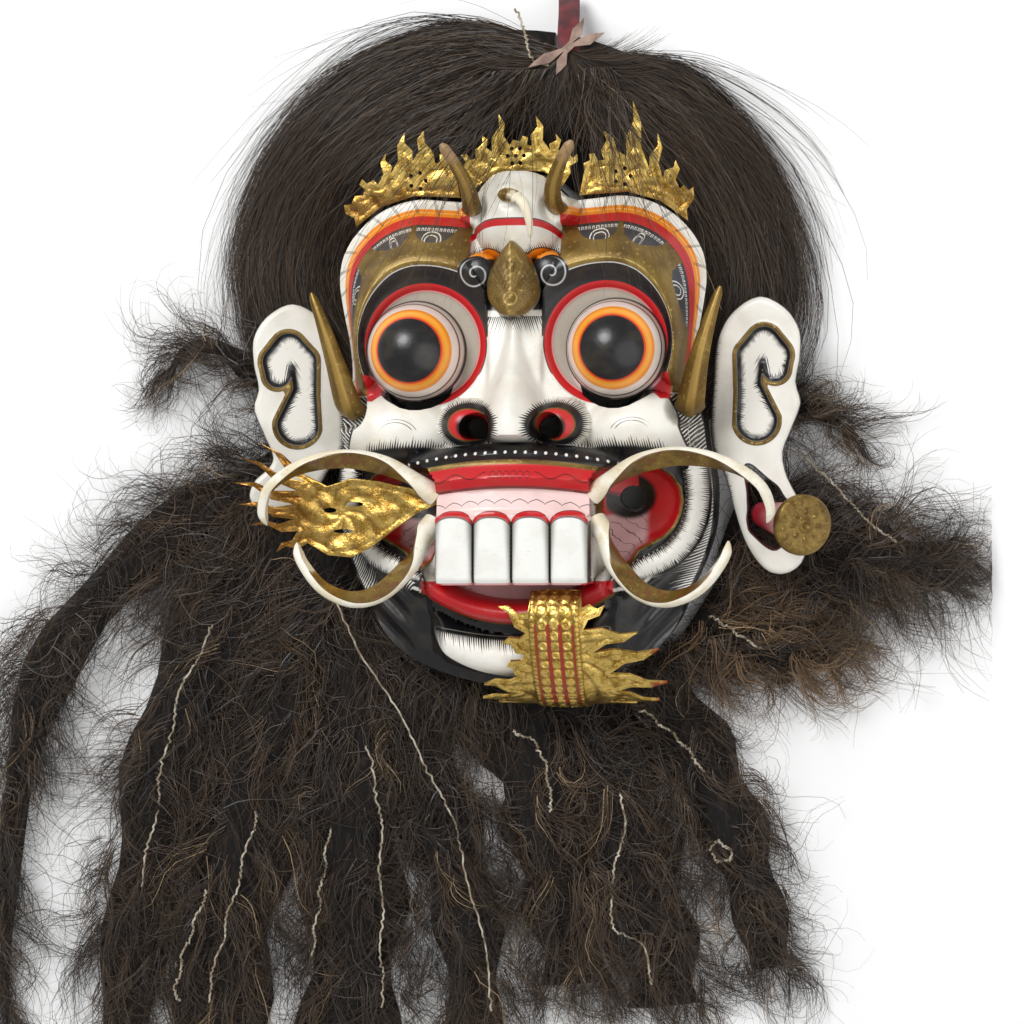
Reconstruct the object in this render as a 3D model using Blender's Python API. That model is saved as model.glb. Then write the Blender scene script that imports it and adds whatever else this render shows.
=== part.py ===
"""A Balinese rangda mask, lying on its back with its face up.

The crown points to +Y and the wearer's left, which is the viewer's right, to +X. All sizes are in metres.
Plan positions are measured from the point midway between the eyes, and heights from the back rim.
The last step moves everything so that the origin is at the middle of the underside.
"""

import math

import bmesh
import bpy
import numpy as np
from mathutils import Vector
from mathutils.geometry import delaunay_2d_cdt

# The wooden face, as a carved shell
CLEARANCE = 0.0004
RIM_WIDTH = 0.009
FACE_WALL = 0.008
FACE_EDGE_HEIGHT = 0.046
FACE_RISE = 0.052
FACE_CENTRE_Y = -0.050
FACE_HALF_WIDTH = 0.135
FACE_HALF_LENGTH = 0.190
FRONT_SPACING = 0.0100
BACK_SPACING = 0.017
OUTLINE_SPACING = 0.0105
SOFT_EDGE = 0.0015
LINE_GAP = 0.0012
MARCH_STEP = 0.0002

# Brow, forehead bump and drop
BROW_EDGE_HEIGHT = 0.054
BROW_RISE = 0.044
BROW_DIP = 0.008
BROW_CREST_SHARE = 0.76
BROW_INNER_END = 0.030
BROW_TURN_Y = 0.062
BROW_TURN = 0.012
BROW_LOW_Y = -0.040
BROW_FADE = 0.028
BUMP_CENTRE_Y = 0.088
BUMP_HALF_WIDTH = 0.030
BUMP_HALF_LENGTH = 0.034
BUMP_FOOT = 0.070
BUMP_TOP = 0.102
SPIRAL_X = 0.0235
SPIRAL_Y = 0.052
SPIRAL_RADIUS = 0.0125
SPIRAL_FOOT = 0.088
SPIRAL_RISE = 0.008
DROP_TOP_Y = 0.071
DROP_BOTTOM_Y = 0.021
DROP_HALF_WIDTH = 0.0175
DROP_RISE = 0.017
DROP_FOOT = 0.094
DROP_LEAN = 0.05

# Eyes
EYE_X = 0.0665
EYE_RADIUS = 0.0325
EYE_FOOT = 0.086
EYE_BULGE = 0.038
SOCKET_X = 0.060
SOCKET_Y = 0.004
SOCKET_RADIUS = 0.0410
SOCKET_HEIGHT = 0.090
SOCKET_DIP = 0.005
EYE_CORNER_PATH = ((0.0885, -0.020), (0.099, -0.030))
EYE_CORNER_RADIUS = 0.008
EYE_CORNER_HEIGHT = 0.080
SLIT_GAP = 0.0012
SLIT_WIDTH = 0.0056
SLIT_HALF_ANGLE = math.radians(40)
SLIT_LEAN = math.radians(6)

# Nose and cheeks
NOSE_TOP_Y = 0.036
NOSE_BRIDGE_Y = 0.017
NOSE_ROOT_HEIGHT = 0.098
NOSE_RISE = 0.032
NOSE_ROOT_HALF_WIDTH = 0.010
NOSE_WIDENING = 0.014
NOSE_SIDE_FALL = 0.030
NOSE_FOOT_FALL = 0.040
NOSE_TIP_Y = -0.052
NOSE_FOOT_Y = -0.0625
WING_X = 0.031
WING_Y = -0.049
WING_HALF_WIDTH = 0.0195
WING_HALF_LENGTH = 0.0175
WING_FOOT = 0.094
WING_HEIGHT = 0.117
NOSTRIL_X = 0.0235
NOSTRIL_Y = -0.0515
NOSTRIL_RADIUS = 0.0070
NOSTRIL_DEPTH = 0.015
NOSTRIL_RIM = 1.55
CHEEK_X = 0.080
CHEEK_Y = -0.052
CHEEK_HALF_WIDTH = 0.040
CHEEK_HALF_LENGTH = 0.025
CHEEK_FOOT = 0.078
CHEEK_HEIGHT = 0.107

# Mouth: heights of the upper lip along a line down its middle, as (y, height)
LIP_PROFILE = (
    (-0.061, 0.104),
    (-0.064, 0.116),
    (-0.068, 0.121),
    (-0.0725, 0.118),
    (-0.0755, 0.119),
    (-0.083, 0.125),
    (-0.0895, 0.120),
    (-0.0915, 0.116),
    (-0.104, 0.118),
    (-0.1065, 0.120),
    (-0.110, 0.119),
)
LIP_TOP_Y = -0.061
LIP_EDGE_Y = -0.0915
LIP_HALF_WIDTH = 0.074
LIP_SAG = 0.006
LIP_FALL = 0.016
JAW_HALF_WIDTH = 0.0505
JAW_SIDE = 0.0015
CORNER_TOP_Y = -0.081
LIP_POINT_SPACING = 0.0085
TOOTH_COUNT = 4
TOOTH_TOP_Y = -0.109
TOOTH_EDGE_Y = -0.1535
TOOTH_HEIGHT = 0.119
TOOTH_LEAN = 0.004
TOOTH_ROUND = 0.004
MOUTH_FLOOR = 0.083
CORNER_FLOOR = 0.047
CORNER_SLOPE = 0.45
CORNER_LIP = 0.0050
CORNER_ROUND_RUN = 0.014
CORNER_HOLE_X = 0.0735
CORNER_HOLE_Y = -0.099
CORNER_HOLE_HALF_WIDTH = 0.0090
CORNER_HOLE_HALF_LENGTH = 0.0080
ROLL_RADIUS = 0.0085
ROLL_HEIGHT = 0.012
RIB_HEIGHT = 0.0025
RIB_SPACING = 0.0035
RIBS_TOP_Y = -0.080
RIBS_INNER_X = 0.070
RIBS_FADE = 0.018
LOWER_LIP_Y = -0.1735
LOWER_LIP_RISE = 0.022
LOWER_LIP_HALF_LENGTH = 0.063
LOWER_LIP_RADIUS = 0.0085
LOWER_LIP_FOOT = 0.084
LOWER_LIP_HEIGHT = 0.103
LIP_BOW = 2.2
LIP_GROOVE_HEIGHT = 0.078
LIP_GROOVE_WIDTH = 0.006
CHIN_Y = -0.2035
CHIN_RISE = 0.017
CHIN_HALF_LENGTH = 0.060
CHIN_RADIUS = 0.0145
CHIN_FOOT = 0.070
CHIN_HEIGHT = 0.092

# Right half of the face outline, from the forehead to the chin
HALF_OUTLINE = (
    (0.000, 0.1180),
    (0.016, 0.1160),
    (0.0275, 0.1065),
    (0.036, 0.1005),
    (0.052, 0.1015),
    (0.072, 0.1025),
    (0.093, 0.0960),
    (0.110, 0.0830),
    (0.121, 0.0660),
    (0.124, 0.0480),
    (0.1215, 0.0280),
    (0.1175, 0.0060),
    (0.1160, -0.0150),
    (0.1180, -0.0350),
    (0.1215, -0.0500),
    (0.1230, -0.0650),
    (0.1265, -0.0800),
    (0.1285, -0.0960),
    (0.1265, -0.1220),
    (0.1190, -0.1450),
    (0.1100, -0.1640),
    (0.1030, -0.1820),
    (0.0910, -0.1980),
    (0.0740, -0.2100),
    (0.0500, -0.2190),
    (0.0250, -0.2245),
    (0.000, -0.2260),
)

# Right open corner of the mouth, and the bristled roll beside it
CORNER_LOOP = (
    (0.0518, -0.094),
    (0.0519, -0.082),
    (0.0600, -0.0765),
    (0.076, -0.0755),
    (0.093, -0.078),
    (0.104, -0.087),
    (0.108, -0.100),
    (0.104, -0.116),
    (0.093, -0.127),
    (0.080, -0.133),
    (0.070, -0.146),
    (0.061, -0.142),
    (0.0545, -0.128),
    (0.0518, -0.112),
)
ROLL_PATH = (
    (0.1165, -0.0790),
    (0.1180, -0.1000),
    (0.1130, -0.1210),
    (0.1000, -0.1370),
    (0.0820, -0.1460),
    (0.0690, -0.1560),
)

# Ears: right outline, hollow and lobe slot as tapered capsules of (x, y, radius)
EAR_OUTLINE = (
    (0.158, 0.0345),
    (0.175, 0.0270),
    (0.185, 0.0120),
    (0.1855, -0.0060),
    (0.1825, -0.0230),
    (0.1855, -0.0370),
    (0.1790, -0.0550),
    (0.1735, -0.0700),
    (0.1765, -0.0860),
    (0.1860, -0.1060),
    (0.1895, -0.1290),
    (0.1850, -0.1440),
    (0.1730, -0.1510),
    (0.1600, -0.1470),
    (0.1480, -0.1300),
    (0.1400, -0.1060),
    (0.1345, -0.0860),
    (0.1270, -0.0690),
    (0.1250, -0.0520),
    (0.1270, -0.0250),
    (0.1300, 0.0050),
    (0.1400, 0.0240),
)
EAR_HOLLOW = (
    (0.1562, -0.0480, 0.0150),
    (0.1512, -0.0245, 0.0088),
    (0.1520, -0.0046, 0.0100),
    (0.1615, 0.0040, 0.0115),
    (0.1693, -0.0050, 0.0110),
    (0.1690, -0.0140, 0.0095),
)
EAR_SLOT = (
    (0.1505, -0.0800, 0.0030),
    (0.1605, -0.0985, 0.0110),
    (0.1655, -0.1140, 0.0160),
    (0.1665, -0.1220, 0.0125),
)
EAR_LEFT_LOBE_TOP_Y = -0.070
EAR_LEFT_LOBE_SHARE = 0.45
EAR_THICKNESS = 0.009
EAR_INNER_X = 0.125
EAR_INNER_HEIGHT = 0.040
EAR_TILT = 0.22
EAR_HOLLOW_DEPTH = 0.0035
EAR_HOLLOW_SLOPE = 0.0025
EAR_SPACING = 0.009
EAR_EDGE_GAP = 0.0025

# Ear plug, a cone with a wider cap
PLUG_ROOT = (0.1575, -0.1110, 0.0310)
PLUG_CAP = (0.1885, -0.1165, 0.0930)
PLUG_ROOT_RADIUS = 0.0078
PLUG_NECK_RADIUS = 0.0145
PLUG_CAP_RADIUS = 0.0200
PLUG_CAP_THICKNESS = 0.0050
PLUG_DOME = 0.0020

# Right tusks, as (x, y, height) along their middles
UPPER_TUSK = (
    (0.0533, -0.0950, 0.1030),
    (0.0650, -0.0870, 0.1100),
    (0.0850, -0.0750, 0.1170),
    (0.1110, -0.0705, 0.1210),
    (0.1380, -0.0760, 0.1200),
    (0.1590, -0.0890, 0.1150),
    (0.1660, -0.1030, 0.1090),
    (0.1650, -0.1140, 0.1050),
)
LOWER_TUSK = (
    (0.0533, -0.1130, 0.1000),
    (0.0610, -0.1230, 0.1070),
    (0.0690, -0.1410, 0.1170),
    (0.0850, -0.1570, 0.1250),
    (0.1030, -0.1615, 0.1290),
    (0.1220, -0.1540, 0.1290),
    (0.1360, -0.1380, 0.1260),
    (0.1410, -0.1250, 0.1230),
)
TUSK_ROOT_RADIUS = 0.0076
TUSK_TIP_RADIUS = 0.0042
TUSK_RINGS = 12
TUSK_SIDES = 8
TUSK_INNER_FLAT = 0.35

# Gilt spikes, horns and the bone hook on the forehead
SPIKE_SEAT = (0.1130, -0.0385, 0.0680)
SPIKE_RISE = ((0.0020, 0.0060, 0.0120), (0.0080, 0.0320, 0.0215), (0.0150, 0.0560, 0.0250), (0.0225, 0.0780, 0.0260))
SPIKE_RADIUS = 0.0085
SPIKE_TIP_RADIUS = 0.0026
HORN_SEAT = (0.0285, 0.0930, 0.0850)
HORN_RISE = ((-0.0015, 0.0040, 0.0130), (0.0000, 0.0140, 0.0230), (0.0060, 0.0270, 0.0320), (0.0140, 0.0400, 0.0380))
HORN_RADIUS = 0.0070
HORN_TIP_RADIUS = 0.0034
HORN_RINGS = 7
HORN_SIDES = 6
HOOK_SEAT = (-0.0030, 0.1010, 0.1000)
HOOK_RISE = ((0.0045, -0.0010, 0.0095), (0.0120, -0.0060, 0.0150), (0.016, -0.017, 0.015), (0.0165, -0.029, 0.010))
HOOK_RADIUS = 0.0055
HOOK_TIP_RADIUS = 0.0016

# Gilt leather: crown plates, cheek leaf and tongue
LEATHER = 0.0020
CROWN_HEIGHT = 0.0560
CROWN_LEAN = 0.12
CROWN_BACK_Y = 0.100
CROWN_ROSETTE_RADIUS = 0.0055
PIERCED_RADIUS = 0.0014
CRINKLE = 0.0006
LEAF_HEIGHT = 0.0983
LEAF_LEAN = 0.10
FLAME_BEND = 0.0022
TONGUE_X = 0.0270
TONGUE_LENGTH = 0.1212
TONGUE_MIDDLE_HALF = 0.0170
TONGUE_RIDGE = 0.0022
TONGUE_DROOP = 1.6
TONGUE_SPACING = 0.0095
TONGUE_SPARE = 8

# Hair
HAIR_GAP = 0.0012
HAIR_ROOT_GAP = 0.0035
CROWN_END_SHARE = 0.80
HAIR_FOOT = 0.0020
HAIR_WAVE = 0.08
HAIR_HALF_WIDTH = 0.0430
CURL_HALF_WIDTH = 0.0180
HAIR_END_NARROWING = 0.40
LOCK_ROOT_HEIGHT = 0.0210
LOCK_HEIGHT = 0.0330
LOCK_END_HEIGHT = 0.0090
LOCK_ROWS = 8
LOCK_COLUMNS = 5
CROWN_HAIR_X = -0.011
CROWN_HAIR_Y = 0.040
CROWN_HAIR_RADIUS = 0.191
CROWN_HAIR_INNER = 0.070
CROWN_HAIR_HEIGHT = 0.0420
CROWN_HAIR_LOW = 0.0230
CROWN_PARTING = math.radians(80)
CROWN_LEFT_END = math.radians(196)
CROWN_RIGHT_END = math.radians(-21)

# Ties at the top of the hair
STRAP_RADIUS = 0.0018
STRAP_WIDENING = 4.0
STRAP_RINGS = 7
LACE_KNOT_X = 0.0330
LACE_KNOT_INSET = 0.0290
LACE_TURNS = (math.radians(20), math.radians(60), math.radians(205), math.radians(245))
LACE_LENGTHS = (0.026, 0.022, 0.030, 0.020)
LACE_ROOT = 0.004
LACE_HALF_WIDTH = 0.0036
LACE_HEIGHT = 0.0525

# Middle lines of the locks that fan out round the mask, from the left ear under the chin to the right ear
LOCK_PATHS = {
    "hair_left_curl": (
        (-0.131, -0.036), (-0.165, -0.027), (-0.196, -0.010),
        (-0.222, 0.006), (-0.246, 0.004), (-0.262, -0.020),
    ),
    "mane_left_1": (
        (-0.134, -0.062), (-0.205, -0.094), (-0.290, -0.150),
        (-0.350, -0.225), (-0.378, -0.340), (-0.386, -0.480),
    ),
    "mane_left_2": (
        (-0.137, -0.088), (-0.195, -0.150), (-0.240, -0.225),
        (-0.268, -0.320), (-0.286, -0.400), (-0.300, -0.492),
    ),
    "mane_left_3": (
        (-0.134, -0.126), (-0.162, -0.185), (-0.190, -0.260),
        (-0.208, -0.340), (-0.222, -0.420), (-0.232, -0.500),
    ),
    "mane_left_4": (
        (-0.119, -0.164), (-0.130, -0.225), (-0.132, -0.290),
        (-0.130, -0.360), (-0.132, -0.430), (-0.138, -0.502),
    ),
    "mane_left_5": (
        (-0.085, -0.213), (-0.086, -0.262), (-0.070, -0.320),
        (-0.052, -0.380), (-0.046, -0.430), (-0.046, -0.485),
    ),
    "beard_left": (
        (-0.028, -0.233), (-0.004, -0.270), (0.007, -0.315),
        (0.015, -0.360), (0.022, -0.402), (0.027, -0.445),
    ),
    "beard_middle": (
        (0.028, -0.233), (0.050, -0.275), (0.062, -0.325),
        (0.074, -0.375), (0.083, -0.420), (0.088, -0.460),
    ),
    "beard_right": (
        (0.075, -0.220), (0.104, -0.262), (0.126, -0.305),
        (0.143, -0.350), (0.155, -0.392), (0.161, -0.432),
    ),
    "mane_right_2": (
        (0.114, -0.177), (0.141, -0.194), (0.163, -0.202),
        (0.183, -0.203), (0.200, -0.199), (0.217, -0.193),
    ),
    "mane_right_1": (
        (0.136, -0.115), (0.168, -0.127), (0.202, -0.137),
        (0.236, -0.142), (0.266, -0.146), (0.292, -0.150),
    ),
    "hair_right_curl": (
        (0.133, -0.040), (0.157, -0.036), (0.178, -0.037),
        (0.196, -0.042), (0.211, -0.051), (0.224, -0.064),
    ),
}


def ease(start, end, value):
    """Smooth step from 0 at start to 1 at end; start may be the larger."""
    share = np.clip((value - start) / (end - start), 0.0, 1.0)
    return share * share * (3 - 2 * share)


def bulge(square):
    """Height share of a dome at a squared share of its radius."""
    return np.sqrt(np.clip(1 - square, 0.0, 1.0))


def higher(first, second, blend):
    """The larger of two heights, with a soft join."""
    return 0.5 * (first + second + np.sqrt((first - second) ** 2 + blend * blend))


def smooth_path(points, count, closed=False):
    """Evenly spaced points on a smooth curve through the given ones."""
    given = np.array(points, float)
    total = len(given)
    spans = total if closed else total - 1
    samples = []
    for span in range(spans):
        if closed:
            four = [given[(span + shift) % total] for shift in (-1, 0, 1, 2)]
        else:
            four = [given[min(max(span + shift, 0), total - 1)] for shift in (-1, 0, 1, 2)]
        for step in range(12):
            t = step / 12
            bend = (2 * four[0] - 5 * four[1] + 4 * four[2] - four[3]) * t * t
            twist = (3 * four[1] - four[0] - 3 * four[2] + four[3]) * t * t * t
            samples.append(0.5 * (2 * four[1] + (four[2] - four[0]) * t + bend + twist))
    samples.append(given[0] if closed else given[-1])
    curve = np.array(samples)
    along = np.concatenate([[0], np.cumsum(np.linalg.norm(np.diff(curve, axis=0), axis=1))])
    places = np.linspace(0, along[-1], count + 1 if closed else count)
    even = np.stack([np.interp(places, along, curve[:, k]) for k in range(curve.shape[1])], axis=1)
    return even[:-1] if closed else even


def mirrored(loop):
    """The loop reflected in the middle plane, still running the same way round."""
    flipped = np.array(loop, float)
    flipped[:, 0] *= -1
    return flipped[::-1]


def sideways(path):
    """Unit vectors square to a path, to its left."""
    ahead = np.gradient(path, axis=0)
    return np.stack([-ahead[:, 1], ahead[:, 0]], axis=1) / np.hypot(*ahead.T)[:, None]


def path_distance(x, y, path, closed=False):
    """Distance from each point to a path."""
    points = np.asarray(path, float)
    ends = np.roll(points, -1, axis=0) if closed else points[1:]
    best = np.full(np.shape(x), 10.0)
    for start, end in zip(points, ends):
        run = end - start
        share = ((x - start[0]) * run[0] + (y - start[1]) * run[1]) / (run @ run)
        share = np.clip(share, 0, 1)
        best = np.minimum(best, np.hypot(x - start[0] - share * run[0], y - start[1] - share * run[1]))
    return best


def inside(x, y, loop):
    """Whether each point lies inside a closed loop."""
    found = np.zeros(np.shape(x), bool)
    for (ax, ay), (bx, by) in zip(loop, np.roll(loop, -1, axis=0)):
        if ay == by:
            continue
        crosses = (ay > y) != (by > y)
        found ^= crosses & (x < (bx - ax) * (y - ay) / (by - ay) + ax)
    return found


def capsules_inset(x, y, capsules):
    """How deep each point lies inside a chain of tapered capsules; negative outside."""
    depth = np.full(np.shape(x), -10.0)
    for (ax, ay, ar), (bx, by, br) in zip(capsules[:-1], capsules[1:]):
        run = (bx - ax, by - ay)
        share = ((x - ax) * run[0] + (y - ay) * run[1]) / (run[0] ** 2 + run[1] ** 2)
        share = np.clip(share, 0, 1)
        away = np.hypot(x - ax - share * run[0], y - ay - share * run[1])
        depth = np.maximum(depth, ar + share * (br - ar) - away)
    return depth


def ellipse(x, y, half_x, half_y, count):
    """Points round an ellipse, counter-clockwise."""
    turn = np.linspace(0, 2 * math.pi, count, endpoint=False)
    return np.stack([x + half_x * np.cos(turn), y + half_y * np.sin(turn)], axis=1)


OUTLINE_POINTS = HALF_OUTLINE + tuple((-x, y) for x, y in HALF_OUTLINE[-2:0:-1])
OUTLINE_LENGTH = 1.05
FACE_OUTLINE = smooth_path(OUTLINE_POINTS, round(OUTLINE_LENGTH / OUTLINE_SPACING), closed=True)[::-1]
BROW_EDGE = smooth_path([point for point in HALF_OUTLINE if point[0] > BROW_INNER_END and point[1] > -0.036], 26)
CORNER_EDGE = smooth_path(CORNER_LOOP, 22, closed=True)
ROLL_LINE = smooth_path(ROLL_PATH, 12)


def brow_share(x, y):
    """0 at the brow's outer edge and 1 at the eye socket."""
    outer = path_distance(x, y, BROW_EDGE)
    inner = np.maximum(np.hypot(x - SOCKET_X, y - SOCKET_Y) - SOCKET_RADIUS, 0)
    return outer / (outer + inner + 1e-6)


def drop_half_width(y):
    """Half width of the gilt drop on the forehead."""
    share = np.clip((y - DROP_BOTTOM_Y) / (DROP_TOP_Y - DROP_BOTTOM_Y), 0, 1)
    return DROP_HALF_WIDTH * np.clip(np.sin(math.pi * share**0.72), 0, 1) ** 0.7


def bowed_offset(x, y, middle_y, rise, half_length):
    """Signed distance from a line that bows up towards its ends, such as a lip's."""
    share = np.minimum(x / half_length, 1.2)
    line = middle_y + rise * share**LIP_BOW
    slope = LIP_BOW * rise / half_length * share ** (LIP_BOW - 1)
    return (y - line) / np.sqrt(1 + slope * slope)


def seat(z, x, y, place, radius):
    """Flattens the carving under a spike or horn, so that its foot sits on wood."""
    near = ease(radius * 1.75, radius * 1.2, np.hypot(x - place[0], y - place[1]))
    return z + (place[2] - z) * near


def brow_and_forehead(z, x, y):
    """Adds the brows, the bump between them, the spirals under it and the drop."""
    share = brow_share(x, y)
    crest = ease(0, BROW_CREST_SHARE, share)
    brow = BROW_EDGE_HEIGHT + BROW_RISE * crest - BROW_DIP * ease(BROW_CREST_SHARE, 1, share)
    inner_end = BROW_INNER_END - np.clip((BROW_TURN_Y - y) / 2, 0, BROW_TURN)
    on_brow = ease(BROW_LOW_Y, BROW_LOW_Y + BROW_FADE, y) * ease(inner_end - SOFT_EDGE, inner_end + SOFT_EDGE, x)
    z = z + (brow - z) * on_brow
    bump_square = (x / BUMP_HALF_WIDTH) ** 2 + ((y - BUMP_CENTRE_Y) / BUMP_HALF_LENGTH) ** 2
    bump = BUMP_FOOT + (BUMP_TOP - BUMP_FOOT) * bulge(bump_square)
    z = np.where(bump_square < 1, np.maximum(z, bump), z)
    spiral_square = ((x - SPIRAL_X) ** 2 + (y - SPIRAL_Y) ** 2) / SPIRAL_RADIUS**2
    z = np.where(spiral_square < 1, np.maximum(z, SPIRAL_FOOT + SPIRAL_RISE * bulge(spiral_square)), z)
    width = np.maximum(drop_half_width(y), 1e-5)
    in_drop = (x < width) & (y < DROP_TOP_Y) & (y > DROP_BOTTOM_Y)
    lift = DROP_RISE * bulge((x / width) ** 2) ** 0.8
    foot = DROP_FOOT + DROP_LEAN * ((DROP_TOP_Y + DROP_BOTTOM_Y) / 2 - y)
    return np.where(in_drop, foot + lift, z)


def eyes(z, x, y):
    """Cuts the sockets and adds the domed eyes."""
    away = np.hypot(x - SOCKET_X, y - SOCKET_Y)
    socket = SOCKET_HEIGHT - SOCKET_DIP * ease(SOCKET_RADIUS, EYE_RADIUS + SOFT_EDGE, away)
    z = np.where(away < SOCKET_RADIUS, socket, z)
    from_corner = path_distance(x, y, EYE_CORNER_PATH)
    in_corner = ease(EYE_CORNER_RADIUS, EYE_CORNER_RADIUS - 2 * SOFT_EDGE, from_corner) * (away >= SOCKET_RADIUS)
    z = z + (EYE_CORNER_HEIGHT - z) * in_corner
    square = ((x - EYE_X) ** 2 + y * y) / EYE_RADIUS**2
    return np.where(square < 1, EYE_FOOT + EYE_BULGE * bulge(square), z)


def nose_and_cheeks(z, x, y):
    """Adds the nose, its wings, the nostril hollows and the cheeks."""
    cheek_square = ((x - CHEEK_X) / CHEEK_HALF_WIDTH) ** 2 + ((y - CHEEK_Y) / CHEEK_HALF_LENGTH) ** 2
    cheek = CHEEK_FOOT + (CHEEK_HEIGHT - CHEEK_FOOT) * bulge(cheek_square)
    z = np.where(cheek_square < 1, higher(z, cheek, 2 * SOFT_EDGE), z)
    to_tip = ease(NOSE_BRIDGE_Y, NOSE_TIP_Y, y)
    half_width = NOSE_ROOT_HALF_WIDTH + NOSE_WIDENING * to_tip
    nose = NOSE_ROOT_HEIGHT + NOSE_RISE * to_tip - NOSE_SIDE_FALL * (x / half_width) ** 2
    nose = nose - NOSE_SIDE_FALL * ease(NOSE_BRIDGE_Y, NOSE_TOP_Y, y)
    nose = nose - NOSE_FOOT_FALL * ease(NOSE_TIP_Y - 2 * SOFT_EDGE, NOSE_FOOT_Y - 2 * SOFT_EDGE, y)
    on_nose = (y < NOSE_TOP_Y) & (y > NOSE_FOOT_Y - 3 * SOFT_EDGE)
    z = np.where(on_nose, higher(z, nose, 2 * SOFT_EDGE), z)
    wing_square = ((x - WING_X) / WING_HALF_WIDTH) ** 2 + ((y - WING_Y) / WING_HALF_LENGTH) ** 2
    wing = WING_FOOT + (WING_HEIGHT - WING_FOOT) * bulge(wing_square)
    z = np.where(wing_square < 1, higher(z, wing, 2 * SOFT_EDGE), z)
    hole = np.hypot(x - NOSTRIL_X, y - NOSTRIL_Y) / NOSTRIL_RADIUS
    return z - NOSTRIL_DEPTH * ease(NOSTRIL_RIM, 1.0, hole)


def upper_lip(z, x, y):
    """Adds the moustache band, the gilt line, the red lip and the gum, then the teeth below them."""
    lip_y = y + LIP_SAG * (x / LIP_HALF_WIDTH) ** 2
    profile = np.array(LIP_PROFILE)[::-1]
    lip = np.interp(lip_y, profile[:, 0], profile[:, 1]) - LIP_FALL * (x / LIP_HALF_WIDTH) ** 2
    in_width = ease(LIP_HALF_WIDTH + 4 * SOFT_EDGE, LIP_HALF_WIDTH - 3 * SOFT_EDGE, x)
    on_lip = in_width * (lip_y < LIP_TOP_Y) * (lip_y > LIP_EDGE_Y)
    z = np.where(on_lip > 0, np.maximum(z, lip * on_lip), z)
    width = 2 * JAW_HALF_WIDTH / TOOTH_COUNT
    across = ((x / width) % 1 - 0.5) * 2
    down = (TOOTH_TOP_Y - y) / (TOOTH_TOP_Y - TOOTH_EDGE_Y)
    tooth = TOOTH_HEIGHT + TOOTH_LEAN * down + TOOTH_ROUND * bulge(across**2)
    jaw = np.where(y > TOOTH_TOP_Y, lip, tooth)
    beside = ease(JAW_HALF_WIDTH + JAW_SIDE, JAW_HALF_WIDTH, x)
    in_jaw = (y < LIP_EDGE_Y + LIP_SAG / 2) & (y > TOOTH_EDGE_Y)
    return np.where(in_jaw, z + (jaw - z) * beside, z)


def lower_lip_and_chin(z, x, y):
    """Adds the gap under the teeth, the lower lip, the groove under it and the chin."""
    lower = bowed_offset(x, y, LOWER_LIP_Y, LOWER_LIP_RISE, LOWER_LIP_HALF_LENGTH)
    under_teeth = (y < TOOTH_EDGE_Y) & (x < JAW_HALF_WIDTH + 3 * SOFT_EDGE)
    z = np.where(under_teeth & (lower > 0.7 * LOWER_LIP_RADIUS), MOUTH_FLOOR, z)
    clear = (y < TOOTH_EDGE_Y) | (x > JAW_HALF_WIDTH + JAW_SIDE)
    ends = ease(LOWER_LIP_HALF_LENGTH + 2 * SOFT_EDGE, LOWER_LIP_HALF_LENGTH - 4 * SOFT_EDGE, x) * clear
    groove_end = LOWER_LIP_RADIUS + LIP_GROOVE_WIDTH
    in_groove = ease(groove_end + LIP_GROOVE_WIDTH, groove_end, abs(lower)) * ends * (lower < 0)
    z = z + (LIP_GROOVE_HEIGHT - z) * in_groove
    lip_square = (lower / LOWER_LIP_RADIUS) ** 2
    lip = LOWER_LIP_FOOT + (LOWER_LIP_HEIGHT - LOWER_LIP_FOOT) * bulge(lip_square) * ends
    z = np.where((lip_square < 1) & (ends > 0), lip, z)
    chin = bowed_offset(x, y, CHIN_Y, CHIN_RISE, CHIN_HALF_LENGTH)
    chin_square = (chin / CHIN_RADIUS) ** 2
    chin_ends = ease(CHIN_HALF_LENGTH + 3 * SOFT_EDGE, CHIN_HALF_LENGTH - 8 * SOFT_EDGE, x)
    chin_height = CHIN_FOOT + (CHIN_HEIGHT - CHIN_FOOT) * bulge(chin_square)
    return np.where((chin_square < 1) & (lower < -LOWER_LIP_RADIUS), z + (chin_height - z) * chin_ends, z)


def mouth(z, x, y):
    """Adds the lips, the teeth, the open corners, the rolls beside them and the chin."""
    z = upper_lip(z, x, y)
    outer = np.where(inside(x, y, CORNER_EDGE), path_distance(x, y, CORNER_EDGE, closed=True), 0)
    from_hole = np.hypot(x - CORNER_HOLE_X, y - CORNER_HOLE_Y)
    floor = CORNER_FLOOR + CORNER_SLOPE * np.maximum(from_hole - CORNER_HOLE_HALF_WIDTH, 0)
    round_over = JAW_SIDE * 0.4 + CORNER_LIP * ease(JAW_HALF_WIDTH, JAW_HALF_WIDTH + CORNER_ROUND_RUN, x)
    z = z + (np.minimum(floor, z) - z) * ease(0, round_over, outer)
    z = lower_lip_and_chin(z, x, y)
    beside_roll = path_distance(x, y, ROLL_LINE)
    ribs = RIB_HEIGHT * np.sin((x - y) / RIB_SPACING) * ease(ROLL_RADIUS, ROLL_RADIUS * 1.7, beside_roll)
    lower_side = ease(RIBS_TOP_Y, RIBS_TOP_Y - RIBS_FADE, y) * ease(RIBS_INNER_X, RIBS_INNER_X + RIBS_FADE, x)
    z = z + ribs * lower_side * (outer == 0)
    return z + ROLL_HEIGHT * bulge((beside_roll / ROLL_RADIUS) ** 2)


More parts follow.
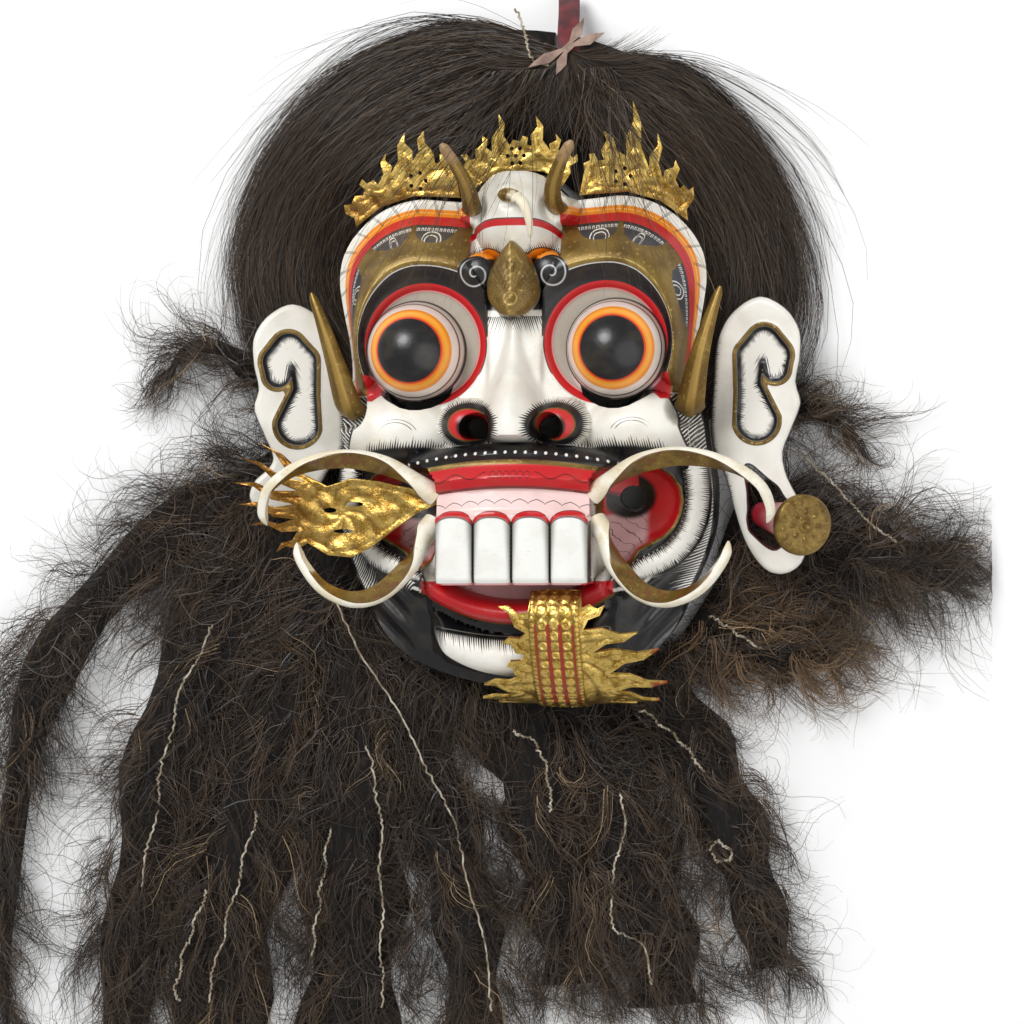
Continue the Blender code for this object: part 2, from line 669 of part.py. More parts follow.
def face_height(x, y):
    """Height of the carved front above the back rim."""
    half = np.abs(x)
    rounding = (half / FACE_HALF_WIDTH) ** 2 + ((y - FACE_CENTRE_Y) / FACE_HALF_LENGTH) ** 2
    z = FACE_EDGE_HEIGHT + FACE_RISE * (1 - rounding)
    z = brow_and_forehead(z, half, y)
    z = eyes(z, half, y)
    z = nose_and_cheeks(z, half, y)
    z = mouth(z, half, y)
    z = seat(z, half, y, SPIKE_SEAT, SPIKE_RADIUS)
    z = seat(z, half, y, HORN_SEAT, HORN_RADIUS)
    return seat(z, x, y, HOOK_SEAT, HOOK_RADIUS)


def hollow_height(x, y):
    """Height of the hollow back: one wall below the lowest carving near by."""
    lowest = face_height(x, y)
    for reach in (0.007, BACK_SPACING):
        for turn in np.linspace(0, 2 * math.pi, 12, endpoint=False):
            lowest = np.minimum(lowest, face_height(x + reach * math.cos(turn), y + reach * math.sin(turn)))
    return np.maximum(lowest - FACE_WALL, FACE_WALL)


def principled(name, colour, roughness, metallic=0.0):
    """A material of one colour."""
    material = bpy.data.materials.new(name)
    material.use_nodes = True
    shader = material.node_tree.nodes["Principled BSDF"]
    shader.inputs["Base Color"].default_value = (*colour, 1)
    shader.inputs["Roughness"].default_value = roughness
    shader.inputs["Metallic"].default_value = metallic
    return material


PAINT = principled("painted wood", (0.72, 0.70, 0.62), 0.35)
IVORY = principled("tusk", (0.80, 0.76, 0.64), 0.30)
GILT = principled("gilt", (0.55, 0.38, 0.08), 0.35, 1.0)
GILT_LEATHER = principled("gilt leather", (0.62, 0.45, 0.10), 0.30, 1.0)
RED_LEATHER = principled("red leather", (0.12, 0.02, 0.02), 0.60)
PALE_LEATHER = principled("pale leather", (0.50, 0.40, 0.34), 0.60)
HAIR = principled("hair", (0.030, 0.022, 0.016), 0.70)


def add_object(name, vertices, faces, material, smooth_angle=math.radians(35)):
    """One closed named object, with its faces pointing out."""
    mesh = bpy.data.meshes.new(name)
    mesh.from_pydata([tuple(vertex) for vertex in vertices], [], faces)
    shape = bmesh.new()
    shape.from_mesh(mesh)
    bmesh.ops.remove_doubles(shape, verts=shape.verts, dist=1e-7)
    bmesh.ops.recalc_face_normals(shape, faces=shape.faces)
    shape.to_mesh(mesh)
    shape.free()
    mesh.shade_smooth()
    mesh.set_sharp_from_angle(angle=smooth_angle)
    mesh.materials.append(material)
    piece = bpy.data.objects.new(name, mesh)
    bpy.context.scene.collection.objects.link(piece)
    return piece


def spread_points(loop, holes, feature, spacing, edge_gap):
    """Feature points, then an even triangular fill between them, all clear of the loops."""
    low = loop.min(axis=0)
    high = loop.max(axis=0)
    rows = int((high[1] - low[1]) / (spacing * 0.866)) + 1
    fill = []
    for row in range(rows):
        shift = 0.5 * spacing if row % 2 else 0
        for x in np.arange(low[0] + shift, high[0], spacing):
            fill.append((x, low[1] + row * spacing * 0.866))
    kept = np.zeros((0, 2))
    for points, near in ((np.array(feature).reshape(-1, 2), 0.0016), (np.array(fill), spacing * 0.66)):
        if not len(points):
            continue
        good = inside(points[:, 0], points[:, 1], loop)
        good &= path_distance(points[:, 0], points[:, 1], loop, closed=True) > edge_gap
        for hole in holes:
            good &= ~inside(points[:, 0], points[:, 1], hole)
            good &= path_distance(points[:, 0], points[:, 1], hole, closed=True) > edge_gap * 0.5
        for point in points[good]:
            if not len(kept) or np.min(np.hypot(*(kept - point).T)) > near:
                kept = np.vstack([kept, point])
    return kept


def triangles_between(loop, holes, points):
    """Triangles that fill the loop round its holes; the vertices keep the order given."""
    every = np.vstack([loop, *holes, points])
    edges = []
    start = 0
    for ring in (loop, *holes):
        count = len(ring)
        edges += [(start + k, start + (k + 1) % count) for k in range(count)]
        start += count
    found = delaunay_2d_cdt([Vector(point) for point in every], edges, [], 0, 1e-7)
    place = {}
    for index, originals in enumerate(found[3]):
        place[index] = originals[0]
    corners = np.array([[place[index] for index in face] for face in found[2]])
    centres = every[corners].mean(axis=1)
    good = inside(centres[:, 0], centres[:, 1], loop)
    for hole in holes:
        good &= ~inside(centres[:, 0], centres[:, 1], hole)
    return every, corners[good]


def relief(name, outer, inner, holes, front, back, material, bottom=None):
    """A carved plate or shell between a front and a back height, joined by upright walls.

    front and back are (extra points, height function). The outer and inner loops have the same number of points,
    and a shell's rim lies between them at the height bottom.
    """
    front_plan, front_faces = triangles_between(outer, holes, front[0])
    back_plan, back_faces = triangles_between(inner, holes, back[0])
    front_z = front[1](front_plan[:, 0], front_plan[:, 1])
    back_z = back[1](back_plan[:, 0], back_plan[:, 1])
    vertices = [(*point, z) for point, z in zip(front_plan, front_z)]
    rings = [list(range(len(outer)))]
    if bottom is not None:
        for ring in (outer, inner):
            rings.append(list(range(len(vertices), len(vertices) + len(ring))))
            vertices += [(*point, bottom) for point in ring]
    first = len(vertices)
    vertices += [(*point, z) for point, z in zip(back_plan, back_z)]
    rings.append(list(range(first, first + len(inner))))
    faces = [tuple(face) for face in front_faces]
    faces += [tuple(first + index for index in face[::-1]) for face in back_faces]
    pairs = list(zip(rings[:-1], rings[1:]))
    start = len(outer)
    for hole in holes:
        span = range(start, start + len(hole))
        pairs.append((list(span), [first + index for index in span]))
        start += len(hole)
    for above, below in pairs:
        count = len(above)
        for k in range(count):
            after = (k + 1) % count
            faces.append((above[k], above[after], below[after], below[k]))
    return add_object(name, vertices, faces, material)


def sweep(name, path, radii, sides, material, inward=None, flat=1.0, squash=1.0):
    """A tapered horn along a path; inward gives the side that is flattened."""
    points = np.array(path)
    count = len(points)
    vertices = []
    faces = []
    for row, (point, radius) in enumerate(zip(points, radii)):
        ahead = points[min(row + 1, count - 1)] - points[max(row - 1, 0)]
        ahead /= np.linalg.norm(ahead)
        side = (inward[row] if inward is not None else np.array((0.0, 0.0, 1.0)))
        side = side - ahead * (side @ ahead)
        side /= np.linalg.norm(side)
        other = np.cross(ahead, side)
        for k in range(sides):
            turn = 2 * math.pi * k / sides
            along_side = min(math.cos(turn), flat)
            vertices.append(point + radius * (side * along_side + other * math.sin(turn) * squash))
    for row in range(count - 1):
        for k in range(sides):
            after = (k + 1) % sides
            low = row * sides
            faces.append((low + k, low + after, low + sides + after, low + sides + k))
    for row in (0, count - 1):
        centre = len(vertices)
        ring = [row * sides + k for k in range(sides)]
        vertices.append(np.mean([vertices[index] for index in ring], axis=0))
        faces += [(ring[k], ring[(k + 1) % sides], centre) for k in range(sides)]
    return add_object(name, vertices, faces, material)


def feature_points():
    """Points along the carved lines of the right half of the face."""
    found = [(EYE_X, 0), EYE_CORNER_PATH[1]]
    for share, count in ((1.03, 26), (0.97, 26), (0.84, 20), (0.58, 13), (0.28, 6)):
        found += list(ellipse(EYE_X, 0, EYE_RADIUS * share, EYE_RADIUS * share, count))
    for radius in (SOCKET_RADIUS - LINE_GAP, SOCKET_RADIUS + LINE_GAP):
        found += list(ellipse(SOCKET_X, SOCKET_Y, radius, radius, 26))
    for reach in (1.15, NOSTRIL_RIM + 0.15):
        found += list(ellipse(NOSTRIL_X, NOSTRIL_Y, NOSTRIL_RADIUS * reach, NOSTRIL_RADIUS * reach, 12))
    found += list(ellipse(WING_X, WING_Y, WING_HALF_WIDTH, WING_HALF_LENGTH, 18))
    for share in (1.03, 0.90):
        for y in np.linspace(DROP_BOTTOM_Y + LINE_GAP, DROP_TOP_Y - LINE_GAP, 9):
            found.append((drop_half_width(y) * share, y))
    found += [(0, y) for y in np.linspace(NOSE_FOOT_Y, DROP_TOP_Y, 20)]
    for outer in BROW_EDGE[:-2]:
        ahead = outer - (SOCKET_X, SOCKET_Y)
        edge = np.array((SOCKET_X, SOCKET_Y)) + ahead * SOCKET_RADIUS / np.hypot(*ahead)
        found += [outer + (edge - outer) * share for share in (0.14, 0.40, BROW_CREST_SHARE, 0.90)]
    for y in np.linspace(BROW_TURN_Y, HALF_OUTLINE[3][1], 5):
        found += [(BROW_INNER_END - SOFT_EDGE, y), (BROW_INNER_END + SOFT_EDGE, y)]
    found += list(ellipse(0, BUMP_CENTRE_Y, BUMP_HALF_WIDTH * 0.93, BUMP_HALF_LENGTH * 0.93, 20))
    for y, _ in LIP_PROFILE:
        reach = LIP_HALF_WIDTH if y > CORNER_TOP_Y else JAW_HALF_WIDTH
        for x in np.linspace(0, reach, round(reach / LIP_POINT_SPACING)):
            found.append((x, y - LIP_SAG * (x / LIP_HALF_WIDTH) ** 2))
    width = 2 * JAW_HALF_WIDTH / TOOTH_COUNT
    for tooth in range(TOOTH_COUNT // 2):
        for share in (0.0, 0.12, 0.5, 0.88, 1.0):
            for y in np.linspace(TOOTH_TOP_Y - LINE_GAP, TOOTH_EDGE_Y + LINE_GAP / 3, 5):
                found.append((min((tooth + share) * width, JAW_HALF_WIDTH - LINE_GAP / 3), y))
            found.append(((tooth + share) * width, TOOTH_EDGE_Y - LINE_GAP))
    for x in (JAW_HALF_WIDTH - LINE_GAP / 3, JAW_HALF_WIDTH + JAW_SIDE + LINE_GAP / 4):
        found += [(x, y) for y in np.linspace(CORNER_TOP_Y, TOOTH_EDGE_Y, 12)]
    for share in (1.0, 0.6, 0.0, -0.6, -1.0, -1.8):
        for x in np.linspace(0, LOWER_LIP_HALF_LENGTH, 9):
            rise = LOWER_LIP_RISE * (x / LOWER_LIP_HALF_LENGTH) ** LIP_BOW
            found.append((x, LOWER_LIP_Y + rise + share * LOWER_LIP_RADIUS))
    for share in (1.0, 0.55, 0.0, -0.55, -1.0):
        for x in np.linspace(0, CHIN_HALF_LENGTH, 8):
            found.append((x, CHIN_Y + CHIN_RISE * (x / CHIN_HALF_LENGTH) ** LIP_BOW + share * CHIN_RADIUS))
    middle = CORNER_EDGE.mean(axis=0)
    for share in (1.02, 0.84, 0.62):
        found += list(middle + (CORNER_EDGE - middle) * share)
    for share in (-1.0, -0.5, 0.5, 1.0):
        found += list(ROLL_LINE + sideways(ROLL_LINE) * ROLL_RADIUS * share)
    for place, radius in ((SPIKE_SEAT, SPIKE_RADIUS), (HORN_SEAT, HORN_RADIUS)):
        found += list(ellipse(place[0], place[1], radius * 1.15, radius * 1.15, 10))
        found += list(ellipse(place[0], place[1], radius * 1.8, radius * 1.8, 12))
    return np.array(found)


def eye_slit():
    """The see-through crescent under the right eye, as a closed loop."""
    turns = np.linspace(-SLIT_HALF_ANGLE, SLIT_HALF_ANGLE, 9) - math.pi / 2 - SLIT_LEAN
    inner_radius = EYE_RADIUS + SLIT_GAP
    upper = [(EYE_X + inner_radius * math.cos(t), inner_radius * math.sin(t)) for t in turns]
    lower = []
    for t in turns[-2:0:-1]:
        share = (t + math.pi / 2 + SLIT_LEAN) / SLIT_HALF_ANGLE
        radius = inner_radius + SLIT_WIDTH * math.sqrt(max(1 - share * share, 0.05))
        lower.append((EYE_X + radius * math.cos(t), radius * math.sin(t)))
    return np.array(upper + lower)


def build_face():
    """The mask itself, with its through openings."""
    nostril = ellipse(NOSTRIL_X, NOSTRIL_Y, NOSTRIL_RADIUS, NOSTRIL_RADIUS, 12)
    corner = ellipse(CORNER_HOLE_X, CORNER_HOLE_Y, CORNER_HOLE_HALF_WIDTH, CORNER_HOLE_HALF_LENGTH, 14)
    holes = []
    for hole in (eye_slit(), nostril, corner):
        holes += [hole, mirrored(hole)]
    ahead = np.roll(FACE_OUTLINE, -1, axis=0) - np.roll(FACE_OUTLINE, 1, axis=0)
    inward = np.stack([-ahead[:, 1], ahead[:, 0]], axis=1) / np.hypot(*ahead.T)[:, None]
    inner = FACE_OUTLINE + inward * RIM_WIDTH
    features = feature_points()
    hook_foot = ellipse(*HOOK_SEAT[:2], HOOK_RADIUS * 1.2, HOOK_RADIUS * 1.2, 10)
    both = np.vstack([features, features * (-1, 1), hook_foot])
    front = spread_points(FACE_OUTLINE, holes, both, FRONT_SPACING, 0.0025)
    back = spread_points(inner, holes, [], BACK_SPACING, 0.0050)
    return relief(
        "mask_face", FACE_OUTLINE, inner, holes, (front, face_height), (back, hollow_height), PAINT, bottom=0.0
    )


def build_ear(name, side, slotted):
    """A flat ear, tilted so that its outer edge stands nearer to the viewer. The unslotted one has a short lobe."""
    outline = smooth_path(EAR_OUTLINE, 38, closed=True)[::-1]
    if not slotted:
        below = np.minimum(outline[:, 1] - EAR_LEFT_LOBE_TOP_Y, 0)
        outline[:, 1] -= below * (1 - EAR_LEFT_LOBE_SHARE)
    rim = capsule_outline(EAR_HOLLOW, 11)
    features = np.vstack([rim, [rim_point(rim, k, EAR_HOLLOW_SLOPE) for k in range(len(rim))]])
    holes = [smooth_path(capsule_outline(EAR_SLOT, 5), 20, closed=True)[::-1]] if slotted else []
    if side < 0:
        outline = mirrored(outline)
        features = features * (-1, 1)
        holes = [mirrored(hole) for hole in holes]

    def under(x, y):
        return EAR_INNER_HEIGHT - EAR_THICKNESS + EAR_TILT * (np.abs(x) - EAR_INNER_X)

    def top(x, y):
        inset = capsules_inset(np.abs(x), y, EAR_HOLLOW)
        return under(x, y) + EAR_THICKNESS - EAR_HOLLOW_DEPTH * ease(0, EAR_HOLLOW_SLOPE, inset)

    front = spread_points(outline, holes, features, EAR_SPACING, EAR_EDGE_GAP)
    back = spread_points(outline, holes, [], EAR_SPACING * 2, EAR_EDGE_GAP * 2)
    return relief(name, outline, outline, holes, (front, top), (back, under), PAINT)


def capsule_outline(capsules, count):
    """Outline of a chain of tapered capsules, found by marching out from its middle line."""
    line = smooth_path([(x, y) for x, y, _ in capsules], count)
    side = sideways(line)
    edges = []
    for direction, points, normals in ((1, line, side), (-1, line[::-1], side[::-1])):
        for point, normal in zip(points, normals):
            reach = 0.0
            while capsules_inset(*(point + direction * normal * reach), capsules) > 0:
                reach += MARCH_STEP
            edges.append(point + direction * normal * reach)
        tip = points[-1]
        onward = tip - points[-2]
        radius = capsules[-1][2] if direction > 0 else capsules[0][2]
        edges.append(tip + onward / np.hypot(*onward) * radius)
    return np.array(edges)


def rim_point(rim, index, inset):
    """A point a little inside the rim."""
    ahead = rim[(index + 1) % len(rim)] - rim[index - 1]
    normal = np.array((ahead[1], -ahead[0])) / max(np.hypot(*ahead), 1e-9)
    return rim[index] + normal * inset


def build_plug():
    """The cone-shaped ear plug, turned about its own axis."""
    root = Vector(PLUG_ROOT)
    axis = Vector(PLUG_CAP) - root
    length = axis.length
    shoulder = length - PLUG_CAP_THICKNESS
    profile = (
        (0.0, PLUG_ROOT_RADIUS * 0.8),
        (0.002, PLUG_ROOT_RADIUS),
        (length * 0.5, (PLUG_ROOT_RADIUS + PLUG_NECK_RADIUS) * 0.5),
        (shoulder, PLUG_NECK_RADIUS),
        (shoulder + 0.0008, PLUG_CAP_RADIUS),
        (length - 0.0008, PLUG_CAP_RADIUS),
        (length, PLUG_CAP_RADIUS * 0.9),
        (length + PLUG_DOME, PLUG_CAP_RADIUS * 0.45),
    )
    turn = axis.to_track_quat("Z", "Y")
    path = [root + turn @ Vector((0, 0, height)) for height, _ in profile]
    side = np.array(turn @ Vector((1, 0, 0)))
    return sweep("ear_plug", path, [radius for _, radius in profile], 16, PAINT, [side] * len(profile))


def build_tusk(name, points, side):
    """One tusk, rounded outside and flattened on the inside of its curl."""
    path = smooth_path(points, TUSK_RINGS) * (side, 1, 1)
    radii = TUSK_ROOT_RADIUS + (TUSK_TIP_RADIUS - TUSK_ROOT_RADIUS) * np.linspace(0, 1, TUSK_RINGS) ** 1.3
    middle = path[:-3].mean(axis=0)
    inward = [(middle - point) * (1, 1, 0) + (0, 0, 0.012) for point in path]
    path[0, 0] = side * (JAW_HALF_WIDTH + JAW_SIDE + CLEARANCE)
    tip = path[-1] + (path[-1] - path[-2]) * 0.35
    path = np.vstack([path, tip])
    radii = np.append(radii, TUSK_TIP_RADIUS * 0.4)
    inward.append(inward[-1])
    tusk = sweep(name, path, radii, TUSK_SIDES, IVORY, inward, TUSK_INNER_FLAT)
    level_foot(tusk, TUSK_SIDES, 0, side * (JAW_HALF_WIDTH + JAW_SIDE + CLEARANCE))
    return tusk


def level_foot(piece, sides, axis, value):
    """Presses the first ring and its centre into one flat foot."""
    vertices = piece.data.vertices
    count = len(vertices)
    for index in [*range(sides), count - 2]:
        vertices[index].co[axis] = value


def build_spike(name, place, rise, side, radius, tip_radius, material, squash=0.7):
    """A gilt spike, horn or hook standing on its seat."""
    seat_point = np.array(place) + (0, 0, CLEARANCE)
    points = [seat_point] + [seat_point + step for step in rise]
    path = smooth_path(points, HORN_RINGS) * (side, 1, 1)
    radii = radius + (tip_radius - radius) * np.linspace(0, 1, HORN_RINGS) ** 0.9
    turned = [np.array((1.0, 0.0, 0.0))] * HORN_RINGS
    horn = sweep(name, path, radii, HORN_SIDES, material, turned, squash=squash)
    level_foot(horn, HORN_SIDES, 2, seat_point[2])
    return horn


def flame(base_left, tip, base_right, bend, steps=3):
    """Two edges of one flickering flame, from its left foot over the tip to just before its right foot."""
    edges = []
    for start, end in ((base_left, tip), (tip, base_right)):
        start = np.array(start)
        run = np.array(end) - start
        normal = np.array((-run[1], run[0])) / np.hypot(*run)
        for step in range(steps):
            share = step / steps
            edges.append(start + run * share + normal * bend * math.sin(2 * math.pi * share))
    return edges


def flames(feet, tips, bend=FLAME_BEND):
    """Edge of a row of flames between the feet given."""
    edge = []
    for left, tip, right in zip(feet[:-1], tips, feet[1:]):
        edge += flame(left, tip, right, bend)
    edge.append(np.array(feet[-1]))
    return edge


def rosette(x, y, radius, count, middle=True):
    """Round pierced holes in a ring, with one in the middle."""
    places = [(x, y)] if middle else []
    for k in range(count):
        turn = 2 * math.pi * k / count
        places.append((x + radius * math.cos(turn), y + radius * math.sin(turn)))
    return [ellipse(*place, PIERCED_RADIUS, PIERCED_RADIUS, 5) for place in places]


def leather_plate(name, outline, holes, surface, spacing=0.012, thickness=LEATHER, material=GILT_LEATHER):
    """Thin leather cut to an outline and lying on a surface."""
    loop = np.array(outline)
    area = np.sum(loop[:, 0] * np.roll(loop[:, 1], -1) - np.roll(loop[:, 0], -1) * loop[:, 1])
    loop = loop if area > 0 else loop[::-1]
    points = spread_points(loop, holes, [], spacing, 0.003)

    def top(x, y):
        return surface(x, y) + thickness

    return relief(name, loop, loop, holes, (points, top), (points, surface), material)


def crown_surface(x, y):
    """The crown plates lean up from behind the brow."""
    return CROWN_HEIGHT + CROWN_LEAN * (y - CROWN_BACK_Y) + CRINKLE * np.sin(x * 160) * np.cos(y * 140)


def build_crown():
    """Three gilt leather flame plates behind the brow."""
    middle_feet = ((0.0345, 0.1180), (0.0300, 0.1290), (0.0210, 0.1330), (0.0090, 0.1360), (-0.0060, 0.1370),
                   (-0.0180, 0.1330), (-0.0290, 0.1290), (-0.0360, 0.1180))
    middle_tips = ((0.0390, 0.1300), (0.0250, 0.1440), (0.0120, 0.1560), (0.0030, 0.1430), (-0.0130, 0.1580),
                   (-0.0245, 0.1440), (-0.0390, 0.1310))
    forehead_side = [(-0.0300, 0.1095), (-0.0160, 0.1190), (0.0, 0.1208), (0.0160, 0.1190), (0.0290, 0.1095)]
    holes = rosette(-0.0020, 0.1300, CROWN_ROSETTE_RADIUS, 6)
    leather_plate("crown_middle", flames(middle_feet, middle_tips) + forehead_side, holes, crown_surface)
    feet = ((0.1120, 0.0850), (0.1070, 0.1060), (0.0960, 0.1130), (0.0870, 0.1200), (0.0720, 0.1280),
            (0.0570, 0.1260), (0.0440, 0.1200))
    right_tips = ((0.1160, 0.1070), (0.1045, 0.1250), (0.0930, 0.1430), (0.0770, 0.1640), (0.0570, 0.1450),
                  (0.0470, 0.1300))
    left_tips = ((0.1200, 0.1000), (0.1070, 0.1170), (0.0900, 0.1340), (0.0770, 0.1470), (0.0640, 0.1480),
                 (0.0500, 0.1330))
    brow_side = [(0.0400, 0.1030), (0.0520, 0.1040), (0.0720, 0.1050), (0.0940, 0.0985), (0.1075, 0.0885)]
    for name, tips, side in (("crown_right", right_tips, 1), ("crown_left", left_tips, -1)):
        edge = np.array(flames(feet, tips) + brow_side) * (side, 1)
        holes = rosette(side * 0.0690, 0.1150, CROWN_ROSETTE_RADIUS, 5, middle=False)
        leather_plate(name, edge, holes, crown_surface)


def build_cheek_leaf():
    """The gilt leather leaf at the left corner of the mouth."""
    feet = ((-0.1280, -0.0890), (-0.1440, -0.0860), (-0.1490, -0.0920), (-0.1520, -0.1010), (-0.1520, -0.1110),
            (-0.1490, -0.1190), (-0.1420, -0.1270))
    tips = ((-0.1760, -0.0590), (-0.1900, -0.0690), (-0.1940, -0.0860), (-0.1900, -0.1010), (-0.1820, -0.1150),
            (-0.1640, -0.1330))
    edge = flames(feet, tips)
    edge += [(-0.128, -0.135), (-0.112, -0.1365), (-0.098, -0.130), (-0.082, -0.118), (-0.066, -0.107)]
    edge += [(-0.0530, -0.1015), (-0.0530, -0.0965), (-0.072, -0.0900), (-0.092, -0.0860), (-0.112, -0.0840)]

    def surface(x, y):
        return LEAF_HEIGHT + LEAF_LEAN * x + CRINKLE * np.sin(x * 150) * np.sin(y * 130)

    holes = [ellipse(-0.109, -0.1010, 0.0060, 0.0016, 8), ellipse(-0.126, -0.1050, 0.0045, 0.0017, 8)]
    holes += [ellipse(-0.117, -0.1190, 0.0070, 0.0014, 8)]
    leather_plate("cheek_leaf", edge, holes, surface)


def tongue_profile():
    """The line that the tongue's middle follows over the lip and chin, as (y, height)."""
    points = ((-0.1600, 0.1050), (-0.1665, 0.1120), (-0.1740, 0.1145), (-0.1860, 0.1110), (-0.2020, 0.1015),
              (-0.2190, 0.0890), (-0.2305, 0.0740), (-0.2345, 0.0580), (-0.2365, 0.0420))
    line = smooth_path(points, 40)
    return np.vstack([line, line[-1] + (line[-1] - line[-2]) * TONGUE_SPARE])


def build_tongue():
    """The gilt leather tongue, cut flat and then bent over the lower lip and chin."""
    line = tongue_profile()
    along = np.concatenate([[0], np.cumsum(np.hypot(*np.diff(line, axis=0).T))])
    left_feet = ((-0.0170, -0.126), (-0.0190, -0.234), (-0.0210, -0.378), (-0.0250, -0.523), (-0.0280, -0.667),
                 (-0.0260, -0.811), (-0.0200, -0.937))
    left_tips = ((-0.0370, -0.099), (-0.0350, -0.297), (-0.0340, -0.459), (-0.0510, -0.595), (-0.0540, -0.739),
                 (-0.0460, -0.901))
    right_feet = ((0.0200, -0.919), (0.0280, -0.793), (0.0360, -0.649), (0.0340, -0.505), (0.0240, -0.360),
                  (0.0190, -0.216), (0.0180, -0.108))
    right_tips = ((0.0480, -0.901), (0.0640, -0.775), (0.0710, -0.577), (0.0670, -0.342), (0.0540, -0.234),
                  (0.0330, -0.090))
    stretch = (1, TONGUE_LENGTH)
    edge = flames(np.array(left_feet) * stretch, np.array(left_tips) * stretch)
    edge += [(-0.0080, -TONGUE_LENGTH), (0.0080, -TONGUE_LENGTH)]
    edge += flames(np.array(right_feet) * stretch, np.array(right_tips) * stretch)
    edge += [(0.0170, 0.0), (0.0, 0.0), (-0.0160, 0.0)]

    def lifted(x, y):
        return TONGUE_RIDGE * ease(TONGUE_MIDDLE_HALF + 0.003, TONGUE_MIDDLE_HALF - 0.003, np.abs(x))

    tongue = leather_plate("tongue", np.array(edge), [], lifted, TONGUE_SPACING)
    for vertex in tongue.data.vertices:
        x, run, lift = vertex.co
        place = np.clip(-run, 0, along[-1])
        near = (place - 0.002, place, place + 0.002)
        ys = np.interp(near, along, line[:, 0])
        zs = np.interp(near, along, line[:, 1])
        ahead = np.array((ys[2] - ys[0], zs[2] - zs[0]))
        ahead /= np.hypot(*ahead)
        vertex.co = (x + TONGUE_X, ys[1] + lift * ahead[1], zs[1] - lift * ahead[0] - TONGUE_DROOP * x * x)


def lock_edges(names, index, shares):
    """Left edge, middle and right edge of one lock, clear of its neighbours. The first and last are slim curls."""
    paths = [smooth_path(LOCK_PATHS[name], LOCK_ROWS) for name in names]
    middle = paths[index]
    narrowing = 1.0 - HAIR_END_NARROWING * ease(0.60, 1.0, shares)
    if index in (0, len(names) - 1):
        away = paths[1 if index == 0 else index - 1] - middle
        reach = np.minimum(CURL_HALF_WIDTH * narrowing, np.hypot(*away.T) / 2 - HAIR_GAP)
        aside = sideways(middle) * reach[:, None]
        return middle - aside, middle, middle + aside
    edges = []
    for neighbour in (index - 1, index + 1):
        run = paths[neighbour] - middle
        far = np.hypot(*run.T)
        reach = np.minimum(HAIR_HALF_WIDTH * narrowing, far / 2 - HAIR_GAP / 2)
        edges.append(middle + run / far[:, None] * reach[:, None])
    return edges[0], middle, edges[1]


def strip_solid(name, rows, heights, material):
    """A low body on the floor from rows of plan points and their heights, with a flat underside."""
    count = len(rows[0])
    vertices = [(x, y, z) for row, tops in zip(rows, heights) for (x, y), z in zip(row, tops)]
    faces = []
    for r in range(len(rows) - 1):
        for c in range(count - 1):
            low = r * count + c
            faces.append((low, low + 1, low + count + 1, low + count))
    last = (len(rows) - 1) * count
    rim = list(range(count)) + [r * count + count - 1 for r in range(1, len(rows))]
    rim += list(range(last + count - 2, last - 1, -1)) + [r * count for r in range(len(rows) - 2, 0, -1)]
    first = len(vertices)
    vertices += [(vertices[index][0], vertices[index][1], 0.0) for index in rim]
    total = len(rim)
    for k in range(total):
        after = (k + 1) % total
        faces.append((rim[k], first + k, first + after, rim[after]))
    faces.append(tuple(range(first, first + total)))
    return add_object(name, vertices, faces, material)


def build_locks():
    """The locks that fan out from the rim of the mask."""
    names = list(LOCK_PATHS)
    shares = np.linspace(0, 1, LOCK_ROWS)
    across = np.linspace(-1, 1, LOCK_COLUMNS)
    for index, name in enumerate(names):
        left, middle, right = lock_edges(names, index, shares)
        rows = []
        heights = []
        for r, share in enumerate(shares):
            rows.append([middle[r] + abs(c) * ((right[r] if c > 0 else left[r]) - middle[r]) for c in across])
            body = LOCK_ROOT_HEIGHT + (LOCK_HEIGHT - LOCK_ROOT_HEIGHT) * ease(0.15, 0.5, share)
            body += (LOCK_END_HEIGHT - LOCK_HEIGHT) * ease(0.6, 1.0, share)
            wave = 1 + HAIR_WAVE * np.sin(across * 5.5 + share * 7 + index)
            heights.append(HAIR_FOOT + (body - HAIR_FOOT) * bulge(across**2) * wave)
        strip_solid(name, rows, heights, HAIR)


def build_crown_hair():
    """Two tufts parted at the top, combed round the head of the mask down to the ears."""
    columns = np.linspace(0, 1, 6)
    centre = np.array((CROWN_HAIR_X, CROWN_HAIR_Y))
    for name, side, end in (("crown_hair_left", 1, CROWN_LEFT_END), ("crown_hair_right", -1, CROWN_RIGHT_END)):
        start = CROWN_PARTING + side * HAIR_GAP / CROWN_HAIR_RADIUS * 2
        rows = []
        heights = []
        for turn in np.linspace(start, end, 14):
            ahead = np.array((math.cos(turn), math.sin(turn)))
            reach = CROWN_HAIR_INNER
            while inside(*(centre + ahead * reach), FACE_OUTLINE):
                reach += MARCH_STEP
            inner = reach + HAIR_ROOT_GAP
            to_end = abs(turn - start) / abs(end - start)
            outer = CROWN_HAIR_RADIUS * (1 - (1 - CROWN_END_SHARE) * ease(0.78, 1.0, to_end))
            rows.append([centre + ahead * (inner + (outer - inner) * column) for column in columns])
            low = ease(math.radians(48), math.radians(78), abs(turn - math.pi / 2))
            top = CROWN_HAIR_HEIGHT + (CROWN_HAIR_LOW - CROWN_HAIR_HEIGHT) * low
            shape = bulge(np.clip(columns * 1.05 - 0.15, 0, 1) ** 2)
            shape *= 1 - HAIR_WAVE * np.sin(columns * 14 + turn * 4) ** 2
            heights.append(HAIR_FOOT + (top - HAIR_FOOT) * shape)
        strip_solid(name, rows, heights, HAIR)


